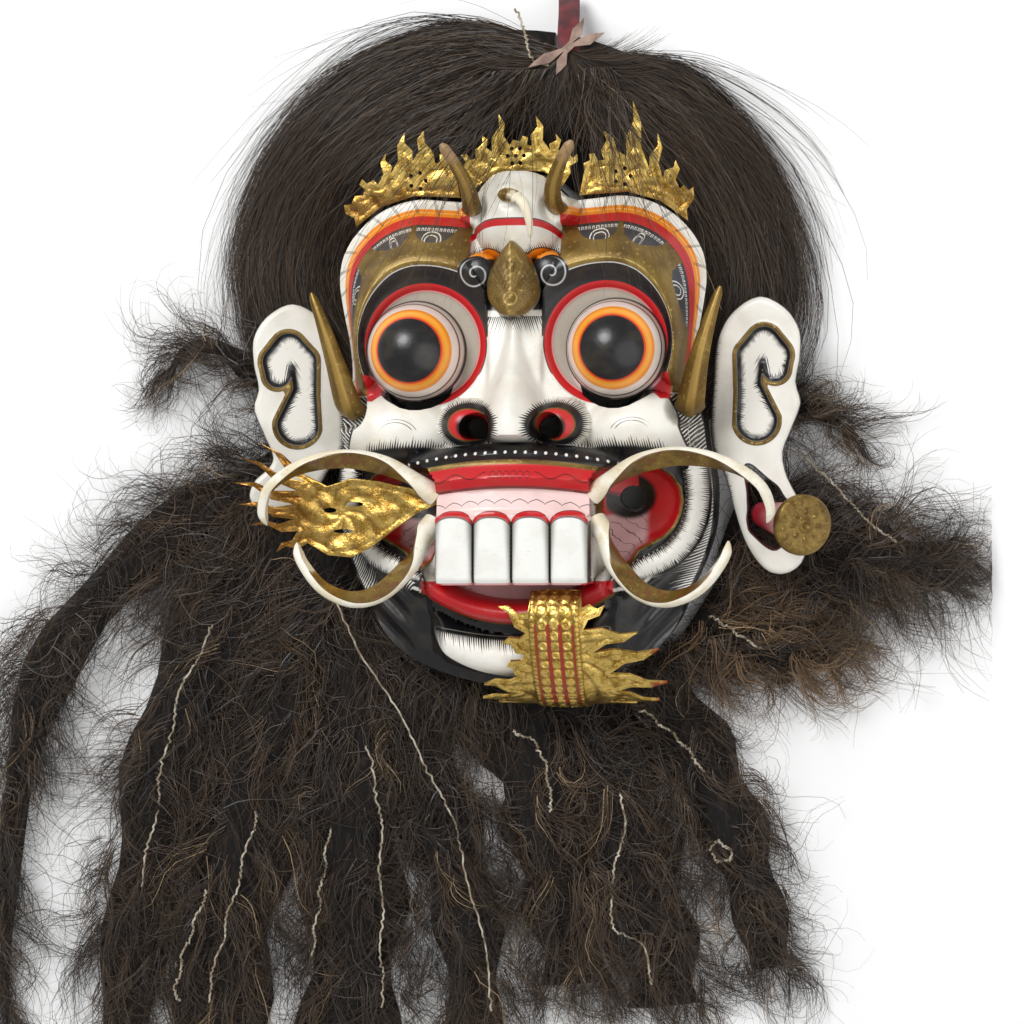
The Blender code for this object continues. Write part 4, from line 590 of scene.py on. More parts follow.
def place_along(x, y, path, closed=False):
    """Distance of each point from a path, how far along it the nearest place is, and on which side."""
    points = np.asarray(path, float)
    ends = np.roll(points, -1, axis=0) if closed else points[1:]
    best = np.full(np.shape(x), 10.0)
    along = np.zeros(np.shape(x))
    hand = np.ones(np.shape(x))
    passed = 0.0
    for start, end in zip(points, ends):
        run = end - start
        length = np.hypot(*run)
        share = np.clip(((x - start[0]) * run[0] + (y - start[1]) * run[1]) / length**2, 0, 1)
        off_x = x - start[0] - share * run[0]
        off_y = y - start[1] - share * run[1]
        away = np.hypot(off_x, off_y)
        nearer = away < best
        best = np.where(nearer, away, best)
        along = np.where(nearer, passed + share * length, along)
        hand = np.where(nearer, np.sign(run[0] * off_y - run[1] * off_x), hand)
        passed += length
    return best, along, hand


def fine_points(loop, holes, lines, spacing, edge_gap):
    """Points along the carved lines, and an even fill between them."""
    low = loop.min(axis=0)
    high = loop.max(axis=0)
    rows = int((high[1] - low[1]) / (spacing * 0.866)) + 1
    fill = [
        (x, low[1] + row * spacing * 0.866)
        for row in range(rows)
        for x in np.arange(low[0] + 0.5 * spacing * (row % 2), high[0], spacing)
    ]
    kept = []
    for points in (np.array(lines).reshape(-1, 2), np.array(fill)):
        good = inside(points[:, 0], points[:, 1], loop)
        good &= path_distance(points[:, 0], points[:, 1], loop, closed=True) > edge_gap
        for hole in holes:
            near = path_distance(points[:, 0], points[:, 1], hole, closed=True)
            good &= ~inside(points[:, 0], points[:, 1], hole) & (near > edge_gap * 0.6)
        kept.append(points[good])
    tree = KDTree(max(len(kept[0]), 1))
    for index, point in enumerate(kept[0]):
        tree.insert((*point, 0), index)
    tree.balance()
    spaced = [point for point in kept[1] if not len(kept[0]) or tree.find((*point, 0))[2] > spacing * 0.6]
    return np.vstack([kept[0], np.array(spaced)])


def fill_triangles(loop, holes, points):
    """Triangles that fill the loop round its holes."""
    every = np.vstack([loop, *holes, points])
    edges = []
    start = 0
    for ring in (loop, *holes):
        count = len(ring)
        edges += [(start + k, start + (k + 1) % count) for k in range(count)]
        start += count
    found = delaunay_2d_cdt([Vector(point) for point in every], edges, [], 0, 1e-8)
    place = [originals[0] for originals in found[3]]
    corners = np.array([[place[index] for index in face] for face in found[2]])
    centres = every[corners].mean(axis=1)
    good = inside(centres[:, 0], centres[:, 1], loop)
    for hole in holes:
        good &= ~inside(centres[:, 0], centres[:, 1], hole)
    return every, corners[good]


def new_piece(name, vertices, edges, faces):
    """A new mesh object, the only one that is selected."""
    mesh = bpy.data.meshes.new(name)
    mesh.from_pydata(vertices, edges, faces)
    piece = bpy.data.objects.new(name, mesh)
    bpy.context.scene.collection.objects.link(piece)
    bpy.ops.object.select_all(action="DESELECT")
    bpy.context.view_layer.objects.active = piece
    piece.select_set(True)
    return piece


def face_outward():
    """Turns the faces of the selected piece outward."""
    bpy.ops.object.mode_set(mode="EDIT")
    bpy.ops.mesh.select_all(action="SELECT")
    bpy.ops.mesh.normals_make_consistent(inside=False)
    bpy.ops.object.mode_set(mode="OBJECT")


def carved_shell(name, outer, inner, holes, front, back, wall_rings, bottom=None):
    """A carved plate or shell; its faces come in the order front, back, walls, so that each gets its material."""
    front_plan, front_faces = fill_triangles(outer, holes, front[0])
    back_plan, back_faces = fill_triangles(inner, holes, back[0])
    front_z = front[1](front_plan[:, 0], front_plan[:, 1])
    back_z = back[1](back_plan[:, 0], back_plan[:, 1])
    vertices = [(*point, z) for point, z in zip(front_plan, front_z)]
    count = len(outer)
    rings = [list(range(count))]
    if bottom is not None:
        for ring in range(1, wall_rings + 1):
            share = ring / wall_rings
            rings.append(list(range(len(vertices), len(vertices) + count)))
            vertices += [(*point, z + (bottom - z) * share) for point, z in zip(outer, front_z[:count])]
        rings.append(list(range(len(vertices), len(vertices) + count)))
        vertices += [(*point, bottom) for point in inner]
    first = len(vertices)
    vertices += [(*point, z) for point, z in zip(back_plan, back_z)]
    rings.append(list(range(first, first + count)))
    faces = [tuple(face) for face in front_faces]
    faces += [tuple(first + index for index in face[::-1]) for face in back_faces]
    pairs = list(zip(rings[:-1], rings[1:]))
    start = count
    for hole in holes:
        span = range(start, start + len(hole))
        pairs.append((list(span), [first + index for index in span]))
        start += len(hole)
    for above, below in pairs:
        for k in range(len(above)):
            after = (k + 1) % len(above)
            faces.append((above[k], above[after], below[after], below[k]))
    piece = new_piece(name, [tuple(Vector(vertex) + Vector(between_eyes)) for vertex in vertices], [], faces)
    face_outward()
    bpy.ops.object.shade_smooth_by_angle(angle=math.radians(50))
    return piece, len(front_faces), len(back_faces)


def mark(piece, name, values):
    """Keeps one number for each vertex, which the paint then follows."""
    piece.data.attributes.new(name, "FLOAT", "POINT").data.foreach_set("value", np.asarray(values, np.float32))


def face_kinds(piece, *counts):
    """A material slot for each face, by the order of the faces: the first so many, the next, and the rest."""
    kinds = np.full(len(piece.data.polygons), len(counts), np.int32)
    kinds[:sum(counts)] = np.repeat(np.arange(len(counts)), counts)
    return kinds


def plan_of(piece):
    """Each vertex's place, counted from between the eyes."""
    flat = np.empty(len(piece.data.vertices) * 3)
    piece.data.vertices.foreach_get("co", flat)
    return flat.reshape(-1, 3) - between_eyes


FINE_SPACING = 0.00155
TOOTH_GAP = 0.0035
TOOTH_GAP_HALF_WIDTH = 0.0022
TOOTH_GAP_FADE = 0.006
TOOTH_EDGE_FALL = 0.003
TOOTH_EDGE_RUN = 0.005
ROLL_RIDGES = ((0.0006, 0.00035), (0.00023, 0.00015))
VEIN_SPACING = 0.00075
VEIN_HEIGHT = 0.0005
WALL_RINGS = 10


def finer_height(x, y):
    """The carving of the solid, with the gaps of the teeth, the ridges of the rolls and the drop's leaf cut in."""
    z = face_height(x, y)
    half = np.abs(x)
    width = 2 * JAW_HALF_WIDTH / TOOTH_COUNT
    to_gap = np.abs(half - np.round(half / width) * width)
    on_tooth = (half < JAW_HALF_WIDTH + 0.0005) & (y < TOOTH_TOP_Y) & (y > TOOTH_EDGE_Y)
    in_gap = ease(TOOTH_GAP_HALF_WIDTH, 0.0, to_gap) * ease(TOOTH_TOP_Y, TOOTH_TOP_Y - TOOTH_GAP_FADE, y)
    z = z - on_tooth * TOOTH_GAP * in_gap
    z = z - on_tooth * TOOTH_EDGE_FALL * ease(TOOTH_EDGE_Y + TOOTH_EDGE_RUN, TOOTH_EDGE_Y, y)
    away, along, _ = place_along(half, y, ROLL_LINE)
    ridges = sum(np.sin(along / spacing) * height for spacing, height in ROLL_RIDGES)
    z = z + ridges * ease(ROLL_RADIUS, ROLL_RADIUS * 0.5, away)
    drop = drop_half_width(y)
    in_drop = (half < drop * 0.8) & (y < DROP_TOP_Y - 0.006) & (y > DROP_BOTTOM_Y + 0.004)
    vein = np.sin((y + half * 1.3) / VEIN_SPACING) * VEIN_HEIGHT
    return z + np.where(in_drop, vein, 0)


def crowded(points, repeats):
    """Extra points between the neighbours of a row of points."""
    points = np.array(points)
    shares = np.arange(repeats) / repeats
    return np.stack([points[:-1] + (points[1:] - points[:-1]) * share for share in shares], axis=1).reshape(-1, 2)


# The front is cut finest along these lines: the rims of the eyes and nostrils, the jaw, the edge of
# the teeth, the drop and the lower lip
slit_loop = eye_slit()
slit = crowded(np.vstack([slit_loop, slit_loop[:1]]), 3)
nostril = ellipse(NOSTRIL_X, NOSTRIL_Y, NOSTRIL_RADIUS, NOSTRIL_RADIUS, 32)
corner_hole = ellipse(CORNER_HOLE_X, CORNER_HOLE_Y, CORNER_HOLE_HALF_WIDTH, CORNER_HOLE_HALF_LENGTH, 36)
openings = [ring for hole in (slit, nostril, corner_hole) for ring in (hole, mirrored(hole))]
ahead = np.roll(FACE_OUTLINE, -1, axis=0) - np.roll(FACE_OUTLINE, 1, axis=0)
inward = np.stack([-ahead[:, 1], ahead[:, 0]], axis=1) / np.hypot(*ahead.T)[:, None]
fine_outline = smooth_path(FACE_OUTLINE, 620, closed=True)
inner_outline = smooth_path(FACE_OUTLINE + inward * RIM_WIDTH, 620, closed=True)
lines = []
for radius_x, centre in ((EYE_RADIUS, (EYE_X, 0)), (SOCKET_RADIUS, (SOCKET_X, SOCKET_Y))):
    for step in (-0.0004, 0.0004):
        lines += list(ellipse(*centre, radius_x + step, radius_x + step, 190))
for share in (0.3, 0.7, 1.0, 1.3, 1.6):
    radius = NOSTRIL_RADIUS * (1 + share * 0.4)
    lines += list(ellipse(NOSTRIL_X, NOSTRIL_Y, radius, radius, 60))
for x in (JAW_HALF_WIDTH - 0.0002, JAW_HALF_WIDTH + JAW_SIDE + 0.0002):
    lines += [(x, y) for y in np.arange(-0.156, -0.081, 0.0011)]
for step in (-0.0004, 0.0004):
    lines += [(x, TOOTH_EDGE_Y + step) for x in np.arange(0, JAW_HALF_WIDTH, 0.0011)]
    for y in np.arange(DROP_BOTTOM_Y, DROP_TOP_Y, 0.0010):
        lines.append((max(drop_half_width(y) + step, 0), y))
    for x in np.arange(0, LOWER_LIP_HALF_LENGTH, 0.0012):
        rise = LOWER_LIP_RISE * (x / LOWER_LIP_HALF_LENGTH) ** LIP_BOW
        for reach in (LOWER_LIP_RADIUS, -LOWER_LIP_RADIUS):
            lines.append((x, LOWER_LIP_Y + rise + reach + step))
lines = np.array(lines)
lines = np.vstack([lines, lines * (-1, 1)])
front = fine_points(fine_outline, openings, lines, FINE_SPACING, 0.0007)
back = fine_points(inner_outline, openings, [], 0.0055, 0.0020)
mask, front_count, back_count = carved_shell(
    "carved_mask", fine_outline, inner_outline, openings, (front, finer_height), (back, hollow_height),
    WALL_RINGS, bottom=0.0,
)
plan_x, plan_y, _ = plan_of(mask).T
half_x = np.abs(plan_x)
brow_run = place_along(half_x, plan_y, BROW_EDGE)[1]
corner_away, corner_run, _ = place_along(half_x, plan_y, CORNER_EDGE, closed=True)
roll_away, roll_run, roll_hand = place_along(half_x, plan_y, ROLL_LINE)
edge_away, edge_run, _ = place_along(plan_x, plan_y, fine_outline[::4], closed=True)
mark(mask, "brow_share", brow_share(half_x, plan_y))
for name, metres in (
    ("brow_run", brow_run),
    ("corner_depth", np.where(inside(half_x, plan_y, CORNER_EDGE), corner_away, -corner_away)),
    ("corner_run", corner_run),
    ("roll_side", roll_away * roll_hand),
    ("roll_run", roll_run),
    ("edge_away", edge_away),
    ("edge_run", edge_run),
    ("lower_lip", bowed_offset(half_x, plan_y, LOWER_LIP_Y, LOWER_LIP_RISE, LOWER_LIP_HALF_LENGTH)),
    ("chin", bowed_offset(half_x, plan_y, CHIN_Y, CHIN_RISE, CHIN_HALF_LENGTH)),
    ("drop_depth", drop_half_width(plan_y) - half_x),
):
    mark(mask, name, metres * 1000)


def pigment(red, green, blue):
    """A paint's colour from its values on a colour card, 0 to 255."""
    return tuple((value / 255) ** 2.2 for value in (red, green, blue)) + (1.0,)


class Field:
    """A number that varies over a surface, worked out by a material's nodes."""

    def __init__(self, tree, socket):
        self.tree = tree
        self.socket = socket

    def worked(self, kind, *others):
        node = self.tree.nodes.new("ShaderNodeMath")
        node.operation = kind
        for place, value in enumerate((self, *others)):
            if isinstance(value, Field):
                self.tree.links.new(value.socket, node.inputs[place])
            else:
                node.inputs[place].default_value = value
        return Field(self.tree, node.outputs[0])

    def __add__(self, other):
        return self.worked("ADD", other)

    def __sub__(self, other):
        return self.worked("SUBTRACT", other)

    def __mul__(self, other):
        return self.worked("MULTIPLY", other)

    def __truediv__(self, other):
        return self.worked("DIVIDE", other)

    def __abs__(self):
        return self.worked("ABSOLUTE")

    def __pow__(self, power):
        return self.worked("POWER", power)

    def __or__(self, other):
        return self.worked("MAXIMUM", other)

    def __invert__(self):
        return self.times_plus(-1, 1)

    def times_plus(self, factor, offset):
        return self.worked("MULTIPLY_ADD", factor, offset)

    def root(self):
        return self.worked("SQRT")

    def stepped(self, start, end):
        """Smooth step from 0 at start to 1 at end; start may be the larger."""
        node = self.tree.nodes.new("ShaderNodeMapRange")
        node.interpolation_type = "SMOOTHSTEP"
        self.tree.links.new(self.socket, node.inputs["Value"])
        node.inputs["From Min"].default_value = start
        node.inputs["From Max"].default_value = end
        return Field(self.tree, node.outputs["Result"])

    def above(self, edge, soft=0.25):
        """1 where the number is over the edge, with a soft join."""
        return self.stepped(edge - soft, edge + soft)

    def below(self, edge, soft=0.25):
        return self.stepped(edge + soft, edge - soft)

    def between(self, low, high, soft=0.25):
        return self.above(low, soft) * self.below(high, soft)

    def near(self, middle, half_width, soft=0.2):
        """1 close to a value: a painted line."""
        return abs(self - middle).below(half_width, soft)

    def wave(self, length, shift=0.0):
        """Distance from the middle of each repeat, 0 to 1."""
        return abs(self.times_plus(1 / length, shift).worked("FRACT").times_plus(2, -1))


def away_from(across, along):
    """Distance from a middle, given how far off it is both ways."""
    return (across * across + along * along).root()


def oval(across, half_width, along, half_length):
    """Distance from the middle of an ellipse as a share of its radius, 1 on its edge."""
    return away_from(across / half_width, along / half_length)


def domed(square):
    """Height share of an arch at a squared share of its half width."""
    return (~square).worked("MAXIMUM", 0).root()


def surface_fields(tree):
    """Where each point of a piece lies, in millimetres from between the eyes, and its x and y apart."""
    place = tree.nodes.new("ShaderNodeTexCoord")
    mapping = tree.nodes.new("ShaderNodeMapping")
    mapping.inputs["Scale"].default_value = (1000, 1000, 1000)
    mapping.inputs["Location"].default_value = tuple(-1000 * value for value in between_eyes)
    tree.links.new(place.outputs["Object"], mapping.inputs["Vector"])
    apart = tree.nodes.new("ShaderNodeSeparateXYZ")
    tree.links.new(mapping.outputs[0], apart.inputs[0])
    return mapping.outputs[0], Field(tree, apart.outputs["X"]), Field(tree, apart.outputs["Y"])


def marked(tree, name):
    """The number that was kept for each vertex under this name."""
    node = tree.nodes.new("ShaderNodeAttribute")
    node.attribute_name = name
    return Field(tree, node.outputs["Fac"])


def cloudy(tree, vector, scale, detail=2.0, stretch=None):
    """Soft uneven patches, 0 to 1."""
    if stretch is not None:
        mapping = tree.nodes.new("ShaderNodeMapping")
        mapping.inputs["Scale"].default_value = stretch
        tree.links.new(vector, mapping.inputs["Vector"])
        vector = mapping.outputs[0]
    node = tree.nodes.new("ShaderNodeTexNoise")
    node.inputs["Scale"].default_value = scale
    node.inputs["Detail"].default_value = detail
    tree.links.new(vector, node.inputs["Vector"])
    return Field(tree, node.outputs["Fac"])


def laid_over(tree, under, mask, over):
    """One colour over another where the mask is 1."""
    node = tree.nodes.new("ShaderNodeMix")
    node.data_type = "RGBA"
    tree.links.new(mask.socket, node.inputs[0])
    for place, colour in ((6, under), (7, over)):
        if isinstance(colour, tuple):
            node.inputs[place].default_value = colour
        else:
            tree.links.new(colour, node.inputs[place])
    return node.outputs[2]


def group_of(name, inputs, outputs):
    """An empty shader node group with number inputs."""
    tree = bpy.data.node_groups.new(name, "ShaderNodeTree")
    for label, value in inputs.items():
        if value is None:
            tree.interface.new_socket(name=label, in_out="INPUT", socket_type="NodeSocketVector")
        else:
            tree.interface.new_socket(name=label, in_out="INPUT", socket_type="NodeSocketFloat").default_value = value
    for label, kind in outputs.items():
        tree.interface.new_socket(name=label, in_out="OUTPUT", socket_type="NodeSocket" + kind)
    start = tree.nodes.new("NodeGroupInput")
    end = tree.nodes.new("NodeGroupOutput")
    return tree, start, end


def use_group(tree, group, values):
    """Places a group in a material; each value is a number, a Field or a socket."""
    node = tree.nodes.new("ShaderNodeGroup")
    node.node_tree = group
    for label, value in values.items():
        if isinstance(value, Field):
            tree.links.new(value.socket, node.inputs[label])
        elif isinstance(value, (int, float)):
            node.inputs[label].default_value = value
        else:
            tree.links.new(value, node.inputs[label])
    return node


# Short strokes of a fine brush, thick at the root and pointed at the tip.
hairs_group, start, end = group_of(
    "brush hairs",
    {"Run": 0.0, "Reach": 0.0, "Spacing": 1.5, "Weight": 0.7, "Lean": 0.0, "Seed": 0.0},
    {"Mask": "Float"},
)
run, reach, spacing, weight, lean, seed = (Field(hairs_group, socket) for socket in list(start.outputs)[:6])
place = run / spacing + reach * lean + (run * 0.21 + seed).worked("SINE") * 0.35
cell = place.worked("FLOOR")
chance = hairs_group.nodes.new("ShaderNodeTexWhiteNoise")
chance.noise_dimensions = "1D"
hairs_group.links.new((cell + seed).socket, chance.inputs["W"])
share = reach / (Field(hairs_group, chance.outputs["Value"]) * 0.5 + 0.5)
from_middle = abs(place - cell - 0.5) * 2
stroke = ((from_middle - weight * ~share) * -1).above(0.0, 0.18) * share.below(1.0, 0.05)
hairs_group.links.new(stroke.socket, end.inputs["Mask"])


def brush_hairs(tree, run, reach, spacing=1.5, weight=0.7, lean=0.0, seed=0.0):
    """Brush strokes: 1 on them. Run goes along their roots, and reach from 0 at a root to 1 at a tip."""
    values = {"Run": run, "Reach": reach, "Spacing": spacing, "Weight": weight, "Lean": lean, "Seed": seed}
    return Field(tree, use_group(tree, hairs_group, values).outputs["Mask"]) * reach.above(0.0, 0.02)


# Gold paint and leaf that has aged: browner in patches, with small pits and rubbed brighter spots.
gold_group, start, end = group_of(
    "old gilding", {"Place": None, "Scale": 0.1}, {"Colour": "Color", "Roughness": "Float"}
)
fine_scale = Field(gold_group, start.outputs["Scale"]) * 7
wide = gold_group.nodes.new("ShaderNodeTexNoise")
fine = gold_group.nodes.new("ShaderNodeTexNoise")
wide.inputs["Detail"].default_value = 3
fine.inputs["Detail"].default_value = 4
gold_group.links.new(start.outputs["Place"], wide.inputs["Vector"])
gold_group.links.new(start.outputs["Place"], fine.inputs["Vector"])
gold_group.links.new(start.outputs["Scale"], wide.inputs["Scale"])
gold_group.links.new(fine_scale.socket, fine.inputs["Scale"])
patch = Field(gold_group, wide.outputs["Fac"])
pits = Field(gold_group, fine.outputs["Fac"])
tone = laid_over(gold_group, pigment(104, 80, 34), patch.above(0.50, 0.20), pigment(140, 114, 56))
tone = laid_over(gold_group, tone, pits.above(0.66, 0.05) * 0.7, pigment(196, 168, 96))
tone = laid_over(gold_group, tone, pits.below(0.33, 0.04) * 0.6, pigment(72, 52, 22))
gold_group.links.new(tone, end.inputs["Colour"])
gold_group.links.new((pits * 0.2 + 0.34).socket, end.inputs["Roughness"])


def gilding(tree, vector, scale):
    """The colour and the roughness of old gold paint."""
    node = use_group(tree, gold_group, {"Place": vector, "Scale": scale})
    return node.outputs["Colour"], Field(tree, node.outputs["Roughness"])


def new_finish(name, roughness=0.4, coat_weight=0.0):
    """A material with its shader."""
    material = bpy.data.materials.new(name)
    material.use_nodes = True
    shader = material.node_tree.nodes["Principled BSDF"]
    shader.inputs["Roughness"].default_value = roughness
    shader.inputs["Coat Weight"].default_value = coat_weight
    shader.inputs["Coat Roughness"].default_value = 0.28
    return material, material.node_tree, shader


def dress(tree, shader, colour, metallic=None, roughness=None):
    """Gives a shader its colour and, where they vary, how metallic and how rough it is."""
    tree.links.new(colour, shader.inputs["Base Color"])
    for label, value in (("Metallic", metallic), ("Roughness", roughness)):
        if value is not None:
            tree.links.new(value.socket, shader.inputs[label])


def raised(tree, shader, height, distance, strength=0.5):
    """Lets a height that varies over the surface catch the light."""
    bump = tree.nodes.new("ShaderNodeBump")
    bump.inputs["Strength"].default_value = strength
    bump.inputs["Distance"].default_value = distance
    tree.links.new(height.socket, bump.inputs["Height"])
    tree.links.new(bump.outputs["Normal"], shader.inputs["Normal"])


class Coats:
    """Coats of paint and gold, laid one over another on a ground."""

    def __init__(self, tree, vector, gilt_scale, ground):
        self.tree = tree
        self.gilt, self.gilt_roughness = gilding(tree, vector, gilt_scale)
        self.colour = ground
        self.gold = None

    def lay(self, mask, tint):
        """Lays paint, which also covers the gold under it."""
        self.colour = laid_over(self.tree, self.colour, mask, tint)
        if self.gold is not None:
            self.gold = self.gold * ~mask

    def gild(self, mask):
        """Lays gold paint."""
        self.colour = laid_over(self.tree, self.colour, mask, self.gilt)
        self.gold = mask if self.gold is None else self.gold | mask


WHITE = pigment(236, 233, 224)
BLACK = pigment(26, 26, 29)
RED = pigment(198, 34, 40)
ORANGE = pigment(238, 140, 34)
NAVY = pigment(44, 48, 60)
PINK = pigment(222, 178, 178)

mask_paint, tree, shader = new_finish("hand painted wood", 0.38, 0.12)
vector, x, y = surface_fields(tree)
half = abs(x)
names = ("brow_share", "brow_run", "corner_depth", "corner_run", "roll_side", "roll_run", "edge_away", "edge_run")
t, brow_run, corner, corner_run, roll, roll_run, edge, edge_run = (marked(tree, name) for name in names)
lower, chin, drop = (marked(tree, name) for name in ("lower_lip", "chin", "drop_depth"))
hand = cloudy(tree, vector, 0.16)
wobble = (hand - 0.5) * 1.6
ground = laid_over(tree, pigment(222, 216, 200), cloudy(tree, vector, 0.035).above(0.45, 0.2), WHITE)
coats = Coats(tree, vector, 0.05, ground)
lay, gild = coats.lay, coats.gild

# Cheek wrinkles, and the hairs along the cheeks' lower edges
wrinkle = oval(half - 78, 12, y + 56, 9)
lay((wrinkle.near(1.0, 0.025, 0.02) | wrinkle.near(1.22, 0.02, 0.02)) * y.above(-52, 1) * half.below(86, 4), BLACK)
cheek_edge = y + 66 + ((half - 70) / 30) ** 2 * 3 + wobble
on_cheek = half.between(40, 99, 3)
lay(cheek_edge.between(-9, 2.5, 1.2) * on_cheek, BLACK)
cheek_hairs = brush_hairs(tree, half + y * 0.15, (cheek_edge - 1) / 10, 1.7, 0.95, 0.5, 3.0)
lay(cheek_hairs * on_cheek * cheek_edge.above(0, 0.3), BLACK)

# Temple leaves behind the cheeks: black with fine white ribs
leaf = half - 101.5 + (y + 36) * 0.37
on_leaf = leaf.above(0, 0.4) * y.between(-78, -30, 0.5)
lay(on_leaf, BLACK)
ribs = (y * -1 + half * 0.9 + wobble * 0.5).wave(2.9)
lay(on_leaf * ribs.below(0.34, 0.15) * leaf.above(1.4, 0.4), WHITE)

# The lower sides: black painted curls of hair with white strokes
low_side = y.below(-77, 1) * half.above(60, 4) * corner.below(0.5, 0.5)
outer_side = low_side | (y.below(-160, 3) * corner.below(0.5, 0.5)) | y.below(-196, 2)
lay(outer_side, BLACK)
fan = brush_hairs(tree, edge_run + edge * 0.6, (edge - 1.5) / 15, 2.2, 0.62, 1.4, 7.0)
lay(fan * outer_side * half.above(40, 6), WHITE)
second_fan = brush_hairs(tree, corner_run - corner * 0.5, (corner * -1 - 9) / 12, 2.1, 0.62, -1.2, 5.0)
lay(second_fan * outer_side * half.above(52, 4), WHITE)

# Bristled rolls beside the mouth corners
on_roll = abs(roll).below(8.6, 0.3) * y.above(-151, 2) * half.above(66, 2)
lay(on_roll, WHITE)
from_side = abs(roll) * -1 + 8.6
lay(on_roll * from_side.below(1.6, 0.4), BLACK)
lay(on_roll * brush_hairs(tree, roll_run, (from_side - 1.2) / 6.2, 1.25, 0.95, 0.7, 2.0), BLACK)
lay(roll.near(-7.6, 0.45, 0.15) * roll_run.wave(3.4).below(0.22, 0.1), WHITE)

# Open mouth corners: gold rim, red walls, pink gum, and painted shade that makes their depth near black
lay(corner.above(0, 0.2), RED)
gild(corner.between(-0.3, 1.7, 0.25))
gum = corner.above(3, 1) * half.below(83, 3) * (y - half * 0.2).below(-122, 1.5)
lay(gum, PINK)
veins = (y + half * 0.6 + cloudy(tree, vector, 0.09) * 16).wave(7.5)
lay(gum * veins.below(0.07, 0.04), BLACK)
# Painted shade: a near black patch round the hole deep in each corner stands in for the dark hollow
hole = oval(half - 71, 18, y + 98, 15)
lay(hole.below(1.0, 0.12) * corner.above(3.5, 0.8), pigment(8, 6, 6))

# Brows: bands of white, orange, red, navy scales, olive gold, bright gold lines and black
inner_end = (y * -0.5 + 31).worked("MAXIMUM", 0).worked("MINIMUM", 12) * -1 + 30
on_brow = (half - inner_end).above(0, 0.3) * y.above(-29, 0.5) * t.below(0.995, 0.006)
socket = away_from(half - 60, y - 4)
on_brow = on_brow * socket.above(40.6, 0.2) * (y + half * 0.6).above(20, 1)
lay(on_brow * t.above(0.11, 0.006), ORANGE)
lay(on_brow * t.near(0.155, 0.004, 0.004), pigment(250, 196, 120))
lay(on_brow * t.above(0.20, 0.006), RED)
gold_from = 0.31
gild(on_brow * t.above(gold_from, 0.006))
for middle, reach_mm in ((18, 15), (60, 23), (131, 23)):
    away = (brow_run - middle) / reach_mm
    arch = domed(away * away) * 0.22 + gold_from
    patch_mask = on_brow * t.above(gold_from, 0.005) * (t - arch).below(0, 0.006)
    lay(patch_mask, NAVY)
    from_foot = away_from(brow_run - middle, (t - 0.50) * 57)
    rings = from_foot.near(3.6, 0.35) | from_foot.near(6.0, 0.4)
    lay(patch_mask * rings, WHITE)
    beads = brow_run.wave(2.5).below(0.62, 0.1) * t.between(0.345, 0.385, 0.004)
    hollows = brow_run.wave(2.5).below(0.25, 0.1) * t.between(0.355, 0.40, 0.004)
    lay(patch_mask * beads * ~hollows, WHITE)
lay(on_brow * t.above(0.795, 0.004), BLACK)
lay(on_brow * t.near(0.745, 0.006, 0.004) * hand.above(0.5, 0.1), pigment(204, 176, 92))
lay(on_brow * t.near(0.803, 0.006, 0.004), pigment(206, 206, 202))
lay(on_brow * t.near(0.31, 0.003, 0.003), BLACK)
pairs = (brow_run + t * 22).wave(15)
lay(on_brow * t.below(0.17, 0.02) * (pairs.near(0.10, 0.022, 0.015) | pairs.below(0.02, 0.015)), BLACK)

# Forehead bump: white with a red arched line; lashes and orange crescents over the spirals
arch_y = y + (half / 32) ** 4 * 11.5
on_bump = half.below(31, 0.4) * y.above(54, 1)
lay(on_bump * arch_y.between(81.0, 85.6, 0.3), RED)
lay(on_bump * arch_y.between(85.5, 86.2, 0.2), BLACK)
crescent = oval(half - 19, 12.5, y - 57, 10)
lashes = brush_hairs(tree, half + y * 0.3, (y - 65 + (half - 19) ** 2 * 0.03) / 8, 1.3, 0.9, 0.4, 1.0)
lay(lashes * on_bump * half.above(5, 1), BLACK)
lay(crescent.below(1.0, 0.05) * half.above(4, 1), ORANGE)
lay(crescent.near(1.0, 0.035, 0.02) * y.above(58, 1), BLACK)

# Black spirals beside the drop, joined to the lowest band of the brows
beside_drop = y.between(26, 60, 0.8) * drop.below(0.0, 0.3) * half.below(34, 1) * socket.above(40.6, 0.3)
beside_drop = beside_drop * (y - half * 0.9).above(6, 1.5) * (y + half * 0.35).below(66, 0.6)
lay(beside_drop, BLACK)
across = half - 25
rise = y - 50
curl_away = away_from(across, rise)
lay(curl_away.below(12, 0.3), BLACK)
turn = rise.worked("ARCTAN2", across) / (2 * math.pi)
spiral = (curl_away / 6.4 - turn).wave(1.0).below(0.16, 0.12)
lay(curl_away.below(10.5, 0.3) * curl_away.above(1.2, 0.3) * spiral, pigment(190, 190, 188))
lay(brush_hairs(tree, half + y * 0.35, (y * -1 + 22) / 13, 1.35, 0.8, 0.25, 4.0) * half.below(21, 0.6), BLACK)

# Sockets and eyes
lay(socket.below(41.4, 0.2) * (y + half * 0.5).above(-4, 1), BLACK)
lay(socket.below(40.7, 0.2), RED)
corner_leaf = (half - 88).above(0, 0.5) * (y + 18 - (half - 88) * 0.2).below(0, 0.6) * (y + half * 0.9).above(53, 0.8)
lay(corner_leaf * (y + 33).above(0, 0.5) * half.below(101.5, 0.5), RED)
lay(socket.near(35.8, 0.5, 0.25), pigment(232, 150, 150))
eye_away = away_from(half - 66.5, y)
lay(socket.below(35.4, 0.25), pigment(168, 158, 144))
lay(eye_away.below(35.0, 0.25) * y.below(-18, 6), PINK)
lay(eye_away.near(33.0, 0.55, 0.3), pigment(60, 50, 46))
lay(eye_away.below(32.3, 0.2), pigment(206, 196, 184))
lay(eye_away.below(31.0, 0.2), pigment(70, 44, 34))
lay(eye_away.below(30.4, 0.2), pigment(232, 216, 206))
lay(eye_away.below(27.0, 0.3), ORANGE)
lay(eye_away.near(24.3, 1.2, 0.8), pigment(250, 168, 60))
